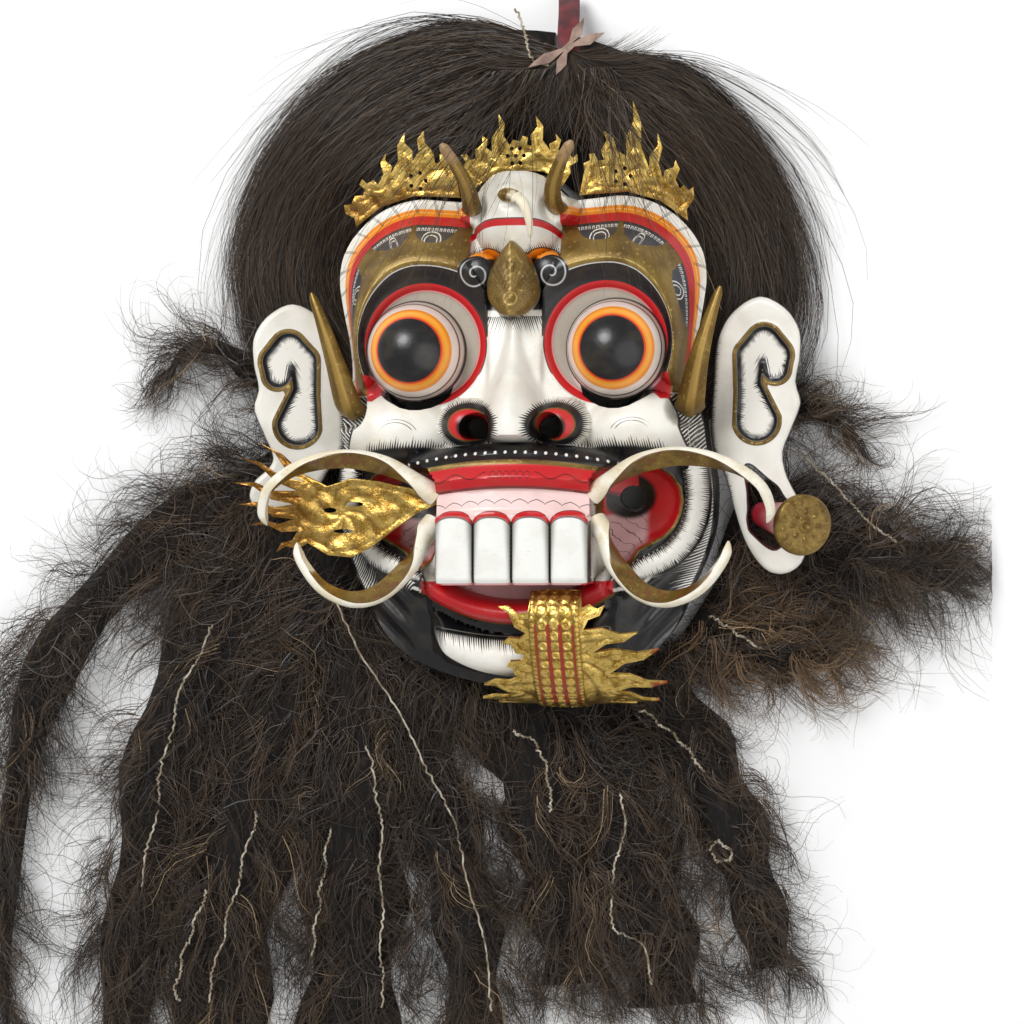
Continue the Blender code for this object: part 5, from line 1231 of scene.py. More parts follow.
lay(eye_away.below(21.9, 0.2), pigment(214, 62, 26))
pupil = eye_away.below(20.8, 0.25)
lay(pupil, pigment(24, 24, 27))
under_eye = eye_away.between(32.6, 37.5, 0.4) * (y + 26).below(0, 2)
lay(under_eye * half.between(44, 92, 2), BLACK)

# Nostrils: red inside, a black ring with a hairy edge, and painted shade in their deep middles
nostril = oval(half - 28.5, 18.0, y + 49, 14.2)
nostril_turn = (y + 49).worked("ARCTAN2", half - 28.5)
on_nostril = y.above(-62.5, 0.6)
lay(nostril.below(1.0, 0.03) * on_nostril, BLACK)
lay(brush_hairs(tree, nostril_turn * 16, (nostril - 0.97) / 0.34, 1.25, 1.0, 0.2, 6.0) * on_nostril, BLACK)
gild(nostril.below(0.76, 0.02) * y.above(-61, 0.6))
lay(nostril.below(0.71, 0.02) * y.above(-60.5, 0.6), RED)
# Painted shade: each nostril's middle goes dark red, then near black, for the dark bore
inner_nostril = oval(half - 27.0, 9.0, y + 50.5, 8.2)
lay(inner_nostril.below(1.0, 0.12), pigment(58, 14, 16))
lay(inner_nostril.below(0.8, 0.10), pigment(12, 9, 9))

# Drop: old gold
gild(drop.above(0.0, 0.2) * y.between(21, 71, 0.5))
boss = away_from(x, y - 33)
ray = ((y - 33).worked("ARCTAN2", half) * 6.5).wave(1.0)
on_leaf_carving = drop.above(2.0, 0.4) * y.between(23, 66, 1)
rays = ray.below(0.3, 0.2) * boss.between(5, 24, 1) * half.above(1.5, 0.4)
lay(on_leaf_carving * rays * 0.55, pigment(62, 44, 18))
midrib = half.below(0.35, 0.2) * y.above(38, 1)
lay(on_leaf_carving * (boss.near(4.2, 0.4, 0.3) | midrib) * 0.6, pigment(188, 160, 92))

# Upper lip, gum and teeth, with painted shade at the sides of the teeth
lip = y + (half / 70) ** 2 * 8.5 - 0.8
on_lip = half.below(77, 0.6)
lay(lip.between(-72.6, -61.5, 0.3) * on_lip, BLACK)
dots = away_from(x.wave(6.6) * 3.3, lip + 67.6)
lay(dots.below(1.0, 0.2) * on_lip, WHITE)
gild(lip.between(-75.6, -72.4, 0.25) * on_lip)
lay(lip.between(-89.6, -75.4, 0.25) * on_lip, RED)
scroll_line = lip + 82 + (half * 0.30).worked("SINE") * 2.0
lay(scroll_line.near(0.0, 0.28, 0.15) * half.between(16, 58, 1), BLACK)
loops = away_from((half.wave(9.0) - 0.5) * 6, lip + 82)
lay(loops.near(2.3, 0.22, 0.15) * half.below(14, 1), BLACK)
lay(lip.between(-91.6, -89.4, 0.25) * on_lip, pigment(120, 20, 26))
on_gum = half.below(50.8, 0.2) * y.above(-156, 0.4)
lay(lip.below(-91.4, 0.25) * on_gum, pigment(236, 204, 200))
scallop = domed(x.wave(11.0)) * 3.4
lay((lip + 101.5 - scallop).near(0, 0.26, 0.15) * on_gum * lip.below(-92, 0.3), BLACK)
tooth_wave = x.wave(25.25)
arch_top = domed(tooth_wave**2.4) * 9
from_gum = y + 117.5 - arch_top
lay(from_gum.below(3.2, 0.3) * on_gum * lip.below(-95, 0.5), RED)
lay(from_gum.near(3.3, 0.25, 0.15) * on_gum * lip.below(-95, 0.5), pigment(110, 20, 24))
teeth = from_gum.below(0, 0.25) * on_gum
lay(teeth, pigment(232, 232, 226))
# Painted shade: each tooth goes grey towards its sides, as if rounded away from the light
lay(teeth * (tooth_wave + from_gum * 0.008 + 0.14).above(0.82, 0.20) * 0.8, pigment(150, 150, 144))
lay(teeth * from_gum.above(-1.0, 0.4), pigment(88, 84, 80))
lay(on_gum * y.below(-112, 1) * tooth_wave.above(0.935, 0.03), pigment(84, 82, 78))
lay(on_gum * y.below(-114, 1) * tooth_wave.above(0.97, 0.015), pigment(40, 38, 37))

# Lower lip with its gold outline, the black gap under it and the white chin
under = y.below(-152, 0.4) * half.below(64, 1)
lay(under * lower.above(0, 1), pigment(170, 26, 34))
lay(under * lower.above(8.5, 0.5) * half.below(46, 2), pigment(206, 150, 150))
lay(under * abs(lower).below(8.6, 0.2), pigment(184, 22, 32))
gild(under * lower.between(-8.9, -7.0, 0.3))
lay(y.below(-160, 1) * lower.below(-8.8, 0.3), BLACK)
chin_reach = domed((half / 60) ** 2) * 13.6
on_chin = (chin_reach - abs(chin)).above(0.2, 0.4) * lower.below(-10, 0.5) * half.below(59, 1)
lay(on_chin, WHITE)
chin_hairs = brush_hairs(tree, x + chin * 0.2, (chin * -1 + chin_reach) / 13, 1.5, 1.0, 0.3, 8.0)
lay(on_chin * (chin_hairs | (chin - chin_reach).above(-2.6, 0.8)), BLACK)

# Old varnish: brownish in patches, and fine scratches
scratches = cloudy(tree, vector, 0.9, 4.0, (0.25, 1.0, 1.0))
colour = laid_over(tree, coats.colour, scratches.above(0.69, 0.05) * 0.18, pigment(90, 74, 56))
colour = laid_over(tree, colour, cloudy(tree, vector, 0.06, 4.0).above(0.56, 0.10) * 0.10, pigment(120, 104, 70))
roughness = coats.gilt_roughness * coats.gold + (hand * 0.16 + 0.26) * ~coats.gold
roughness = roughness * ~pupil + pupil * 0.30
dress(tree, shader, colour, coats.gold * 0.45, roughness)
raised(tree, shader, cloudy(tree, vector, 0.35, 3.0), 0.0004, 0.3)

# The hollow back and the rim are bare carved wood, gone brown; the sides are painted black
bare_wood, tree, shader = new_finish("bare carved wood", 0.7)
vector, _, _ = surface_fields(tree)
grain = cloudy(tree, vector, 0.5, 6.0, (1.0, 0.06, 0.3))
chips = cloudy(tree, vector, 0.10, 2.0)
bare = laid_over(tree, pigment(150, 116, 76), grain.above(0.52, 0.12), pigment(106, 76, 46))
bare = laid_over(tree, bare, chips.above(0.55, 0.06) * 0.4, pigment(84, 60, 38))
dress(tree, shader, bare)
raised(tree, shader, grain + chips * 2, 0.0008, 0.6)

side_paint, tree, shader = new_finish("black side paint", 0.45)
vector, _, _ = surface_fields(tree)
rubbed = cloudy(tree, vector, 0.08, 5.0).above(0.62, 0.05)
dress(tree, shader, laid_over(tree, pigment(38, 34, 32), rubbed, pigment(110, 86, 58)))
raised(tree, shader, cloudy(tree, vector, 0.4, 4.0), 0.0005, 0.4)

for finish in (mask_paint, bare_wood, side_paint):
    mask.data.materials.append(finish)
kinds = face_kinds(mask, front_count, back_count)
centres = np.empty(len(kinds) * 3)
mask.data.polygons.foreach_get("center", centres)
kinds[(kinds == 2) & (centres.reshape(-1, 3)[:, 2] < 0.001)] = 1
mask.data.polygons.foreach_set("material_index", kinds)
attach(mask, "root")
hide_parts("mask_face")

# Each ear is a flat board of light wood, rounded along its edge, with a shallow hollow like a
# question mark, painted white and fixed to the side of the mask. The right lobe has a slot for
# the plug; the left one is short.
EAR_OUTLINE = (
    (0.158, 0.0345),
    (0.175, 0.0270),
    (0.185, 0.0120),
    (0.1855, -0.0060),
    (0.1825, -0.0230),
    (0.1855, -0.0370),
    (0.1790, -0.0550),
    (0.1735, -0.0700),
    (0.1765, -0.0860),
    (0.1860, -0.1060),
    (0.1895, -0.1290),
    (0.1850, -0.1440),
    (0.1730, -0.1510),
    (0.1600, -0.1470),
    (0.1480, -0.1300),
    (0.1400, -0.1060),
    (0.1345, -0.0860),
    (0.1270, -0.0690),
    (0.1250, -0.0520),
    (0.1270, -0.0250),
    (0.1300, 0.0050),
    (0.1400, 0.0240),
)
EAR_HOLLOW = (
    (0.1562, -0.0480, 0.0150),
    (0.1512, -0.0245, 0.0088),
    (0.1520, -0.0046, 0.0100),
    (0.1615, 0.0040, 0.0115),
    (0.1693, -0.0050, 0.0110),
    (0.1690, -0.0140, 0.0095),
)
EAR_SLOT = (
    (0.1505, -0.0800, 0.0030),
    (0.1605, -0.0985, 0.0110),
    (0.1655, -0.1140, 0.0160),
    (0.1665, -0.1220, 0.0125),
)
EAR_LEFT_LOBE_TOP_Y = -0.070
EAR_LEFT_LOBE_SHARE = 0.45
EAR_THICKNESS = 0.009
EAR_INNER_X = 0.125
EAR_INNER_HEIGHT = 0.040
EAR_TILT = 0.22
EAR_HOLLOW_DEPTH = 0.0035
EAR_ROUNDING = 0.0028
EAR_ROUNDING_RUN = 0.0035
EAR_RING_HEIGHT = 0.0007
EAR_RING_HALF_WIDTH = 0.0022


def capsules_inset(x, y, capsules):
    """How deep each point lies inside a chain of tapered capsules; negative outside."""
    depth = np.full(np.shape(x), -10.0)
    for (ax, ay, ar), (bx, by, br) in zip(capsules[:-1], capsules[1:]):
        run = (bx - ax, by - ay)
        share = ((x - ax) * run[0] + (y - ay) * run[1]) / (run[0] ** 2 + run[1] ** 2)
        share = np.clip(share, 0, 1)
        away = np.hypot(x - ax - share * run[0], y - ay - share * run[1])
        depth = np.maximum(depth, ar + share * (br - ar) - away)
    return depth


def capsule_outline(capsules, count):
    """Outline of a chain of tapered capsules, found by marching out from its middle line."""
    line = smooth_path([(x, y) for x, y, _ in capsules], count)
    side = sideways(line)
    edges = []
    for direction, points, normals in ((1, line, side), (-1, line[::-1], side[::-1])):
        for point, normal in zip(points, normals):
            reach = 0.0
            while capsules_inset(*(point + direction * normal * reach), capsules) > 0:
                reach += MARCH_STEP
            edges.append(point + direction * normal * reach)
        tip = points[-1]
        onward = tip - points[-2]
        radius = capsules[-1][2] if direction > 0 else capsules[0][2]
        edges.append(tip + onward / np.hypot(*onward) * radius)
    return np.array(edges)


ear_paint, tree, shader = new_finish("white ear paint", 0.4, 0.2)
vector, x, y = surface_fields(tree)
hollow, hollow_run, edge, edge_run, slot = (
    marked(tree, name) for name in ("hollow_depth", "hollow_run", "edge_away", "edge_run", "slot_away")
)
ground = laid_over(tree, pigment(214, 209, 196), cloudy(tree, vector, 0.04).above(0.45, 0.2), pigment(234, 231, 222))
coats = Coats(tree, vector, 0.05, ground)
lay, gild = coats.lay, coats.gild
lay(hollow.above(-2.0, 0.2), BLACK)
gild(hollow.between(-1.7, 0.9, 0.2))
lay(hollow.above(0.9, 0.2), WHITE)
lay(hollow.between(0.9, 3.4, 0.4), BLACK)
lay(brush_hairs(tree, hollow_run, (hollow - 2.4) / 5.4, 1.15, 1.25, 0.5, 3.0) * hollow.above(1.2, 0.2), BLACK)
lay(brush_hairs(tree, edge_run, edge / 3.6, 1.3, 0.85, 0.6, 5.0) * abs(x).below(140, 2) * y.below(5, 4), BLACK)
lay(edge.below(0.55, 0.15), pigment(90, 86, 80))
lay(slot.below(0.9, 0.2), BLACK)
scratches = cloudy(tree, vector, 0.9, 4.0, (0.3, 1.0, 1.0))
colour = laid_over(tree, coats.colour, scratches.above(0.69, 0.04) * 0.22, pigment(104, 88, 68))
dress(tree, shader, colour, coats.gold * 0.5, coats.gold * 0.12 + 0.36)
raised(tree, shader, cloudy(tree, vector, 0.35, 3.0), 0.0004, 0.3)
slot_red, tree, shader = new_finish("red slot paint", 0.4, 0.2)
shader.inputs["Base Color"].default_value = pigment(190, 24, 44)

for side, name in ((-1, "ear_left"), (1, "ear_right")):
    slotted = side > 0
    outline = smooth_path(EAR_OUTLINE, 210, closed=True)[::-1]
    hollow_edge = smooth_path(capsule_outline(EAR_HOLLOW, 24), 150, closed=True)
    slot_edge = smooth_path(capsule_outline(EAR_SLOT, 8), 60, closed=True)[::-1]
    if not slotted:
        outline[:, 1] -= np.minimum(outline[:, 1] - EAR_LEFT_LOBE_TOP_Y, 0) * (1 - EAR_LEFT_LOBE_SHARE)
    loop = outline if slotted else mirrored(outline)
    holes = [slot_edge] if slotted else []
    rims = np.vstack([hollow_edge + shift for shift in ((0, 0), (0.0012, 0), (-0.0012, 0))]) * (side, 1)

    def ear_back(x, y):
        return EAR_INNER_HEIGHT - EAR_THICKNESS + EAR_TILT * (np.abs(x) - EAR_INNER_X)

    def ear_front(x, y):
        inset = capsules_inset(np.abs(x), y, EAR_HOLLOW)
        rounded = ease(EAR_ROUNDING_RUN, 0.0, path_distance(x, y, loop, closed=True))
        ring = ease(EAR_RING_HALF_WIDTH, 0.0, np.abs(inset + 0.0005))
        depth = EAR_HOLLOW_DEPTH * ease(0, 0.0025, inset)
        return ear_back(x, y) + EAR_THICKNESS - depth - EAR_ROUNDING * rounded**2 + EAR_RING_HEIGHT * ring

    front = fine_points(loop, holes, rims, 0.0019, 0.0008)
    back = fine_points(loop, holes, [], 0.007, 0.002)
    ear, fronts, backs = carved_shell("carved_" + name, loop, loop, holes, (front, ear_front), (back, ear_back), 1)
    plan_x, plan_y, _ = plan_of(ear).T
    across = np.abs(plan_x)
    edge_away, edge_run, _ = place_along(plan_x, plan_y, loop[::3], closed=True)
    slot_away = path_distance(plan_x, plan_y, slot_edge, closed=True) if slotted else np.full(len(plan_x), 1.0)
    for label, metres in (
        ("hollow_depth", capsules_inset(across, plan_y, EAR_HOLLOW)),
        ("hollow_run", place_along(across, plan_y, hollow_edge, closed=True)[1]),
        ("edge_away", edge_away),
        ("edge_run", edge_run),
        ("slot_away", slot_away),
    ):
        mark(ear, label, metres * 1000)
    for finish in (ear_paint, bare_wood, side_paint, slot_red):
        ear.data.materials.append(finish)
    ear.data.polygons.foreach_set("material_index", face_kinds(ear, fronts, backs, len(loop)))
    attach(ear, "root")
    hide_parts(name)

# The ear plug is turned from wood: a cone painted pink and red, and a wider flat cap that is gilt
# and embossed with a boss, a ring of beads and a ring of petals. It sits in the slot of the lobe.
PLUG_ROOT = (0.1575, -0.1110, 0.0310)
PLUG_CAP = (0.1885, -0.1165, 0.0930)
PLUG_ROOT_RADIUS = 0.0078
PLUG_NECK_RADIUS = 0.0145
PLUG_CAP_RADIUS = 0.0200
PLUG_CAP_THICKNESS = 0.0050
PLUG_DOME = 0.0020
BOSS_HEIGHT = 0.0013
BEAD_HEIGHT = 0.0015
PETAL_HEIGHT = 0.0012
plug_foot = Vector(PLUG_ROOT) + Vector(between_eyes)
plug_axis = (Vector(PLUG_CAP) - Vector(PLUG_ROOT)).normalized()
plug_length = (Vector(PLUG_CAP) - Vector(PLUG_ROOT)).length
shoulder = plug_length - PLUG_CAP_THICKNESS
profile = [(0.0, 0.0), (0.0, PLUG_ROOT_RADIUS * 0.9)]
for share in np.linspace(0.02, 1.0, 22):
    profile.append((shoulder * share, PLUG_ROOT_RADIUS + (PLUG_NECK_RADIUS - PLUG_ROOT_RADIUS) * share))
profile += [(shoulder, PLUG_CAP_RADIUS - 0.0008), (shoulder + 0.0006, PLUG_CAP_RADIUS)]
profile += [(plug_length - 0.0012, PLUG_CAP_RADIUS), (plug_length - 0.0004, PLUG_CAP_RADIUS - 0.0006)]
for away in np.linspace(PLUG_CAP_RADIUS - 0.0014, 0.0, 26):
    profile.append((plug_length + PLUG_DOME * (1 - (away / PLUG_CAP_RADIUS) ** 2), away))
quarter = plug_axis.orthogonal().normalized()
turned = [plug_foot + plug_axis * height + quarter * away for height, away in profile]
plug = new_piece("turned_plug", turned, [(k, k + 1) for k in range(len(profile) - 1)], [])
bpy.ops.object.mode_set(mode="EDIT")
bpy.ops.mesh.select_all(action="SELECT")
bpy.ops.mesh.spin(steps=96, angle=2 * math.pi, center=plug_foot, axis=plug_axis)
bpy.ops.mesh.select_all(action="SELECT")
bpy.ops.mesh.remove_doubles(threshold=0.00002)
bpy.ops.mesh.normals_make_consistent(inside=False)
bpy.ops.object.mode_set(mode="OBJECT")
heights = []
for vertex in plug.data.vertices:
    place = vertex.co - plug_foot
    height = place.dot(plug_axis)
    outward = place - plug_axis * height
    heights.append(height)
    if height > plug_length:
        away = outward.length / PLUG_CAP_RADIUS
        turn = math.atan2(outward.dot(quarter.cross(plug_axis)), outward.dot(quarter))
        boss = BOSS_HEIGHT * math.exp(-((away - 0.16) / 0.07) ** 2) - 0.0005 * math.exp(-(away / 0.07) ** 2)
        beads = max(math.cos(turn * 8), 0) ** 2 * BEAD_HEIGHT * math.exp(-((away - 0.45) / 0.09) ** 2)
        petals = abs(math.cos(turn * 9 + 0.4)) * PETAL_HEIGHT * math.exp(-((away - 0.78) / 0.10) ** 2)
        vertex.co += plug_axis * (boss + beads + petals)
bpy.ops.object.shade_smooth_by_angle(angle=math.radians(40))
mark(plug, "reach", [height * 1000 for height in heights])
plug_paint, tree, shader = new_finish("pink plug paint", 0.35, 0.2)
vector, x, y = surface_fields(tree)
reach = marked(tree, "reach")
ground = laid_over(tree, pigment(168, 44, 58), (reach + y * 0.8 + 90).above(38, 16), pigment(214, 158, 156))
coats = Coats(tree, vector, 0.10, ground)
coats.lay((reach + cloudy(tree, vector, 0.2) * 5).above(shoulder * 1000 - 3.5, 2.5), pigment(176, 26, 48))
coats.gild(reach.above(shoulder * 1000 + 0.4, 0.3))
dress(tree, shader, coats.colour, coats.gold * 0.6, coats.gold * 0.1 + 0.34)
raised(tree, shader, cloudy(tree, vector, 0.4, 4.0), 0.0005, 0.4)
plug.data.materials.append(plug_paint)
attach(plug, "root")
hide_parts("ear_plug")

# The four tusks are curved pieces of wood or horn, round outside and flat on the inner side of the
# curl, painted ivory, with gold on the flat. Their roots are fixed in the jaw.
UPPER_TUSK = (
    (0.0533, -0.0950, 0.1030),
    (0.0650, -0.0870, 0.1100),
    (0.0850, -0.0750, 0.1170),
    (0.1110, -0.0705, 0.1210),
    (0.1380, -0.0760, 0.1200),
    (0.1590, -0.0890, 0.1150),
    (0.1660, -0.1030, 0.1090),
    (0.1650, -0.1140, 0.1050),
)
LOWER_TUSK = (
    (0.0533, -0.1130, 0.1000),
    (0.0610, -0.1230, 0.1070),
    (0.0690, -0.1410, 0.1170),
    (0.0850, -0.1570, 0.1250),
    (0.1030, -0.1615, 0.1290),
    (0.1220, -0.1540, 0.1290),
    (0.1360, -0.1380, 0.1260),
    (0.1410, -0.1250, 0.1230),
)
TUSK_ROOT_RADIUS = 0.0076
TUSK_TIP_RADIUS = 0.0042
TUSK_RINGS = 12
TUSK_INNER_FLAT = 0.35
TUSK_SAMPLES = 90


def tube_faces(rows, sides):
    """Faces between neighbouring rings of points."""
    faces = []
    for row in range(rows - 1):
        for k in range(sides):
            after = (k + 1) % sides
            faces.append((row * sides + k, row * sides + after, (row + 1) * sides + after, (row + 1) * sides + k))
    return faces


def swept(name, path, radii, inward, sides=30, flat=1.0, squash=1.0, ridge=2.0):
    """A tapered horn along a path; a ridge power under 2 makes its section more like a diamond."""
    ahead = np.gradient(path, axis=0)
    ahead /= np.linalg.norm(ahead, axis=1)[:, None]
    side = inward - ahead * np.sum(inward * ahead, axis=1)[:, None]
    side /= np.linalg.norm(side, axis=1)[:, None]
    other = np.cross(ahead, side)
    turn = np.linspace(0, 2 * math.pi, sides, endpoint=False)
    size = (np.abs(np.cos(turn)) ** ridge + np.abs(np.sin(turn)) ** ridge) ** (-1 / ridge)
    first = np.minimum(np.cos(turn) * size, flat)
    second = np.sin(turn) * size * squash
    section = side[:, None] * first[None, :, None] + other[:, None] * second[None, :, None]
    rings = path[:, None] + radii[:, None, None] * section
    count = len(path)
    ends = [tuple(range(sides))[::-1], tuple(range((count - 1) * sides, count * sides))]
    vertices = [tuple(point) for point in rings.reshape(-1, 3) + between_eyes]
    piece = new_piece(name, vertices, [], tube_faces(count, sides) + ends)
    face_outward()
    bpy.ops.object.shade_smooth_by_angle(angle=math.radians(48))
    mark(piece, "inner_side", np.tile(np.cos(turn), count))
    mark(piece, "front_side", np.tile(np.abs(np.sin(turn)), count))
    mark(piece, "run_share", np.repeat(np.linspace(0, 1, count), sides))
    return piece


tusk_paint, tree, shader = new_finish("painted tusk", 0.3, 0.3)
vector, _, _ = surface_fields(tree)
inner = marked(tree, "inner_side")
run = marked(tree, "run_share")
uneven = cloudy(tree, vector, 0.07, 4.0)
ground = laid_over(tree, pigment(240, 235, 218), uneven.above(0.52, 0.12), pigment(224, 212, 182))
ground = laid_over(tree, ground, cloudy(tree, vector, 0.5, 3.0).above(0.68, 0.05) * 0.4, pigment(150, 128, 92))
coats = Coats(tree, vector, 0.11, ground)
on_flat = inner.above(0.30, 0.06) * (run + uneven * 0.1).below(0.88, 0.02)
coats.gild(on_flat)
coats.lay(on_flat * inner.below(0.42, 0.05), pigment(74, 48, 24))
coats.lay(on_flat * cloudy(tree, vector, 0.16, 3.0).above(0.56, 0.05), pigment(104, 68, 30))
dress(tree, shader, coats.colour, coats.gold * 0.55)
raised(tree, shader, uneven + cloudy(tree, vector, 0.4, 3.0) * 0.4, 0.0006, 0.35)

for end, side in (("left", -1), ("right", 1)):
    for kind, points in (("upper", UPPER_TUSK), ("lower", LOWER_TUSK)):
        rough = smooth_path(points, TUSK_RINGS)
        inward = np.array([(rough[:-3].mean(axis=0) - point) * (1, 1, 0) + (0, 0, 0.012) for point in rough])
        path = smooth_path(points, TUSK_SAMPLES)
        rows = np.linspace(0, TUSK_RINGS - 1, TUSK_SAMPLES)
        inward = np.stack([np.interp(rows, np.arange(TUSK_RINGS), inward[:, k]) for k in range(3)], axis=1)
        run = np.linspace(0, 1, TUSK_SAMPLES)
        radii = TUSK_ROOT_RADIUS + (TUSK_TIP_RADIUS - TUSK_ROOT_RADIUS) * run**1.3
        radii = radii * np.sqrt(np.clip((1.002 - run) / 0.05, 0.02, 1))
        flip = (side, 1, 1)
        tusk = swept(f"curved_tusk_{kind}_{end}", path * flip, radii, inward * flip, 28, TUSK_INNER_FLAT)
        tusk.data.materials.append(tusk_paint)
        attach(tusk, "root")
        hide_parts(f"tusk_{kind}_{end}")

# The spikes beside the eyes and the two horns on the forehead are carved of wood and gilt; the
# spikes have a ridge down the front. The little hook between the horns is bone in a gilt seat.
SPIKE_RISE = ((0.0020, 0.0060, 0.0120), (0.0080, 0.0320, 0.0215), (0.0150, 0.0560, 0.0250), (0.0225, 0.0780, 0.0260))
SPIKE_TIP_RADIUS = 0.0026
HORN_RISE = ((-0.0015, 0.0040, 0.0130), (0.0000, 0.0140, 0.0230), (0.0060, 0.0270, 0.0320), (0.0140, 0.0400, 0.0380))
HORN_TIP_RADIUS = 0.0034
HOOK_RISE = ((0.0045, -0.0010, 0.0095), (0.0120, -0.0060, 0.0150), (0.016, -0.017, 0.015), (0.0165, -0.029, 0.010))
HOOK_TIP_RADIUS = 0.0016


def horn_finish(name, tip, pale_from):
    """Old gold, with a painted highlight down its ridges, going over to another colour towards the tip."""
    material, tree, shader = new_finish(name, 0.42, 0.05)
    vector, _, _ = surface_fields(tree)
    run = marked(tree, "run_share")
    front = marked(tree, "front_side")
    gilt, _ = gilding(tree, vector, 0.06)
    uneven = cloudy(tree, vector, 0.12, 4.0)
    colour = laid_over(tree, gilt, uneven.above(0.56, 0.10) * 0.6, pigment(96, 66, 26))
    # Painted highlight: a lighter gold band down the front and back ridges
    colour = laid_over(tree, colour, front.above(0.93, 0.06) * 0.6, pigment(190, 156, 84))
    at_tip = (run + uneven * 0.3).above(pale_from, 0.08)
    dress(tree, shader, laid_over(tree, colour, at_tip, tip), ~at_tip * 0.55)
    raised(tree, shader, uneven, 0.0008, 0.4)
    return material


spike_gold = horn_finish("old gold on wood", pigment(120, 92, 44), 2.0)
horn_gold = horn_finish("gold horn with a bare tip", pigment(150, 120, 84), 0.92)
hook_bone = horn_finish("bone hook", pigment(226, 216, 190), 0.42)
SPIKE = (SPIKE_SEAT, SPIKE_RISE, SPIKE_RADIUS * 1.25, SPIKE_TIP_RADIUS, 1.35, spike_gold, "gilt")
HORN = (HORN_SEAT, HORN_RISE, HORN_RADIUS, HORN_TIP_RADIUS, 1.6, horn_gold, "gilt")
HOOK = (HOOK_SEAT, HOOK_RISE, HOOK_RADIUS, HOOK_TIP_RADIUS, 2.0, hook_bone, "ivory")
HORN_SAMPLES = 56
HORN_SQUASH = 0.7
for node, name, side, (place, rise, radius, tip, ridge, finish, slot) in (
    ("temple_spike_left", "carved_spike_left", -1, SPIKE),
    ("temple_spike_right", "carved_spike_right", 1, SPIKE),
    ("horn_left", "carved_horn_left", -1, HORN),
    ("horn_right", "carved_horn_right", 1, HORN),
    ("forehead_hook", "bone_hook", 1, HOOK),
):
    foot = np.array(place)
    path = smooth_path([foot] + [foot + step for step in rise], HORN_SAMPLES) * (side, 1, 1)
    run = np.linspace(0, 1, HORN_SAMPLES)
    radii = radius + (tip - radius) * run**0.9
    radii = radii * np.sqrt(np.clip((1.01 - run) / 0.07, 0.05, 1))
    if "hook" in node:
        radii = radii * (1 + 0.22 * np.sin(run * 60) * (run < 0.42))
    horn = swept(name, path, radii, np.tile((1.0, 0.0, 0.0), (HORN_SAMPLES, 1)), 24, 1.0, HORN_SQUASH, ridge)
    horn.data.materials.append(finish)
    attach(horn, "root")
    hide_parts(node)

# The crown plates, the leaf at the mouth corner and the tongue are thin leather, cut into flames,
# pierced and embossed with a punch, then gilt. They are stitched and nailed to the wood.
CROWN_HEIGHT = 0.0560
CROWN_LEAN = 0.12
CROWN_BACK_Y = 0.100
CROWN_ROSETTE_RADIUS = 0.0055
PIERCED_RADIUS = 0.0014
CRINKLE = 0.0006
LEAF_HEIGHT = 0.0983
LEAF_LEAN = 0.10
FLAME_BEND = 0.0022
TONGUE_X = 0.0270
TONGUE_LENGTH = 0.1212
TONGUE_MIDDLE_HALF = 0.0170
TONGUE_RIDGE = 0.0022
TONGUE_DROOP = 1.6
TONGUE_SPARE = 8
LEATHER_SHOWN = 0.0014


def flame(base_left, tip, base_right, bend, steps=3):
    """Two edges of one flickering flame, from its left foot over the tip to just before its right foot."""
    edges = []
    for start, end in ((base_left, tip), (tip, base_right)):
        start = np.array(start)
        run = np.array(end) - start
        normal = np.array((-run[1], run[0])) / np.hypot(*run)
        for step in range(steps):
            share = step / steps
            edges.append(start + run * share + normal * bend * math.sin(2 * math.pi * share))
    return edges


def flames(feet, tips, bend=FLAME_BEND):
    """Edge of a row of flames between the feet given."""
    edge = []
    for left, tip, right in zip(feet[:-1], tips, feet[1:]):
        edge += flame(left, tip, right, bend)
    edge.append(np.array(feet[-1]))
    return edge


def gilt_leather_finish(name, dull):
    """Gold leaf on embossed leather, darker in its hollows, browner where it has browned and where shade is painted,
    and red where it was painted.
    """
    material, tree, shader = new_finish(name, 0.3)
    vector, _, _ = surface_fields(tree)
    lift = marked(tree, "lift")
    red = marked(tree, "red")
    browning_and_shade = marked(tree, "browning_and_shade")
    crumple = cloudy(tree, vector, 0.16, 5.0)
    fine = cloudy(tree, vector, 0.9, 3.0)
    tint = laid_over(tree, pigment(190, 150, 66), crumple.above(0.47, 0.10), pigment(232, 196, 106))
    tint = laid_over(tree, tint, fine.above(0.62, 0.05), pigment(250, 228, 156))
    tint = laid_over(tree, tint, lift.below(0.24, 0.14) * 0.65, pigment(120, 84, 34))
    # Browner where marked: browning on the crown and the leaf, painted shade on the tongue under the teeth
    tint = laid_over(tree, tint, browning_and_shade * dull, pigment(112, 62, 22))
    tint = laid_over(tree, tint, (red + crumple * 0.3).above(0.62, 0.10), pigment(150, 52, 32))
    dress(tree, shader, tint, red.below(0.5, 0.2) * 0.92, fine * 0.25 + crumple * 0.15 + 0.12)
    raised(tree, shader, crumple + fine * 0.25, 0.0020, 0.35)
    return material


bright_leather = gilt_leather_finish("bright gilt leather", 0.55)
dull_leather = gilt_leather_finish("dull gilt leather", 0.8)


def punched(x, y, loop, middle, beat):
    """Height of the embossing, 0 to 1: a border along the flames and curling ribs inside it."""
    away = path_distance(x, y, loop, closed=True)
    border = ease(0.0026, 0.0012, np.abs(away - 0.0016)) * 0.8
    turn = np.arctan2(y - middle[1], x - middle[0])
    reach = np.hypot(x - middle[0], y - middle[1])
    ribs = 0.52 + 0.36 * np.sin(turn * beat + reach * 300)
    return np.where(away < 0.0034, border, ribs * ease(0.0034, 0.0050, away))


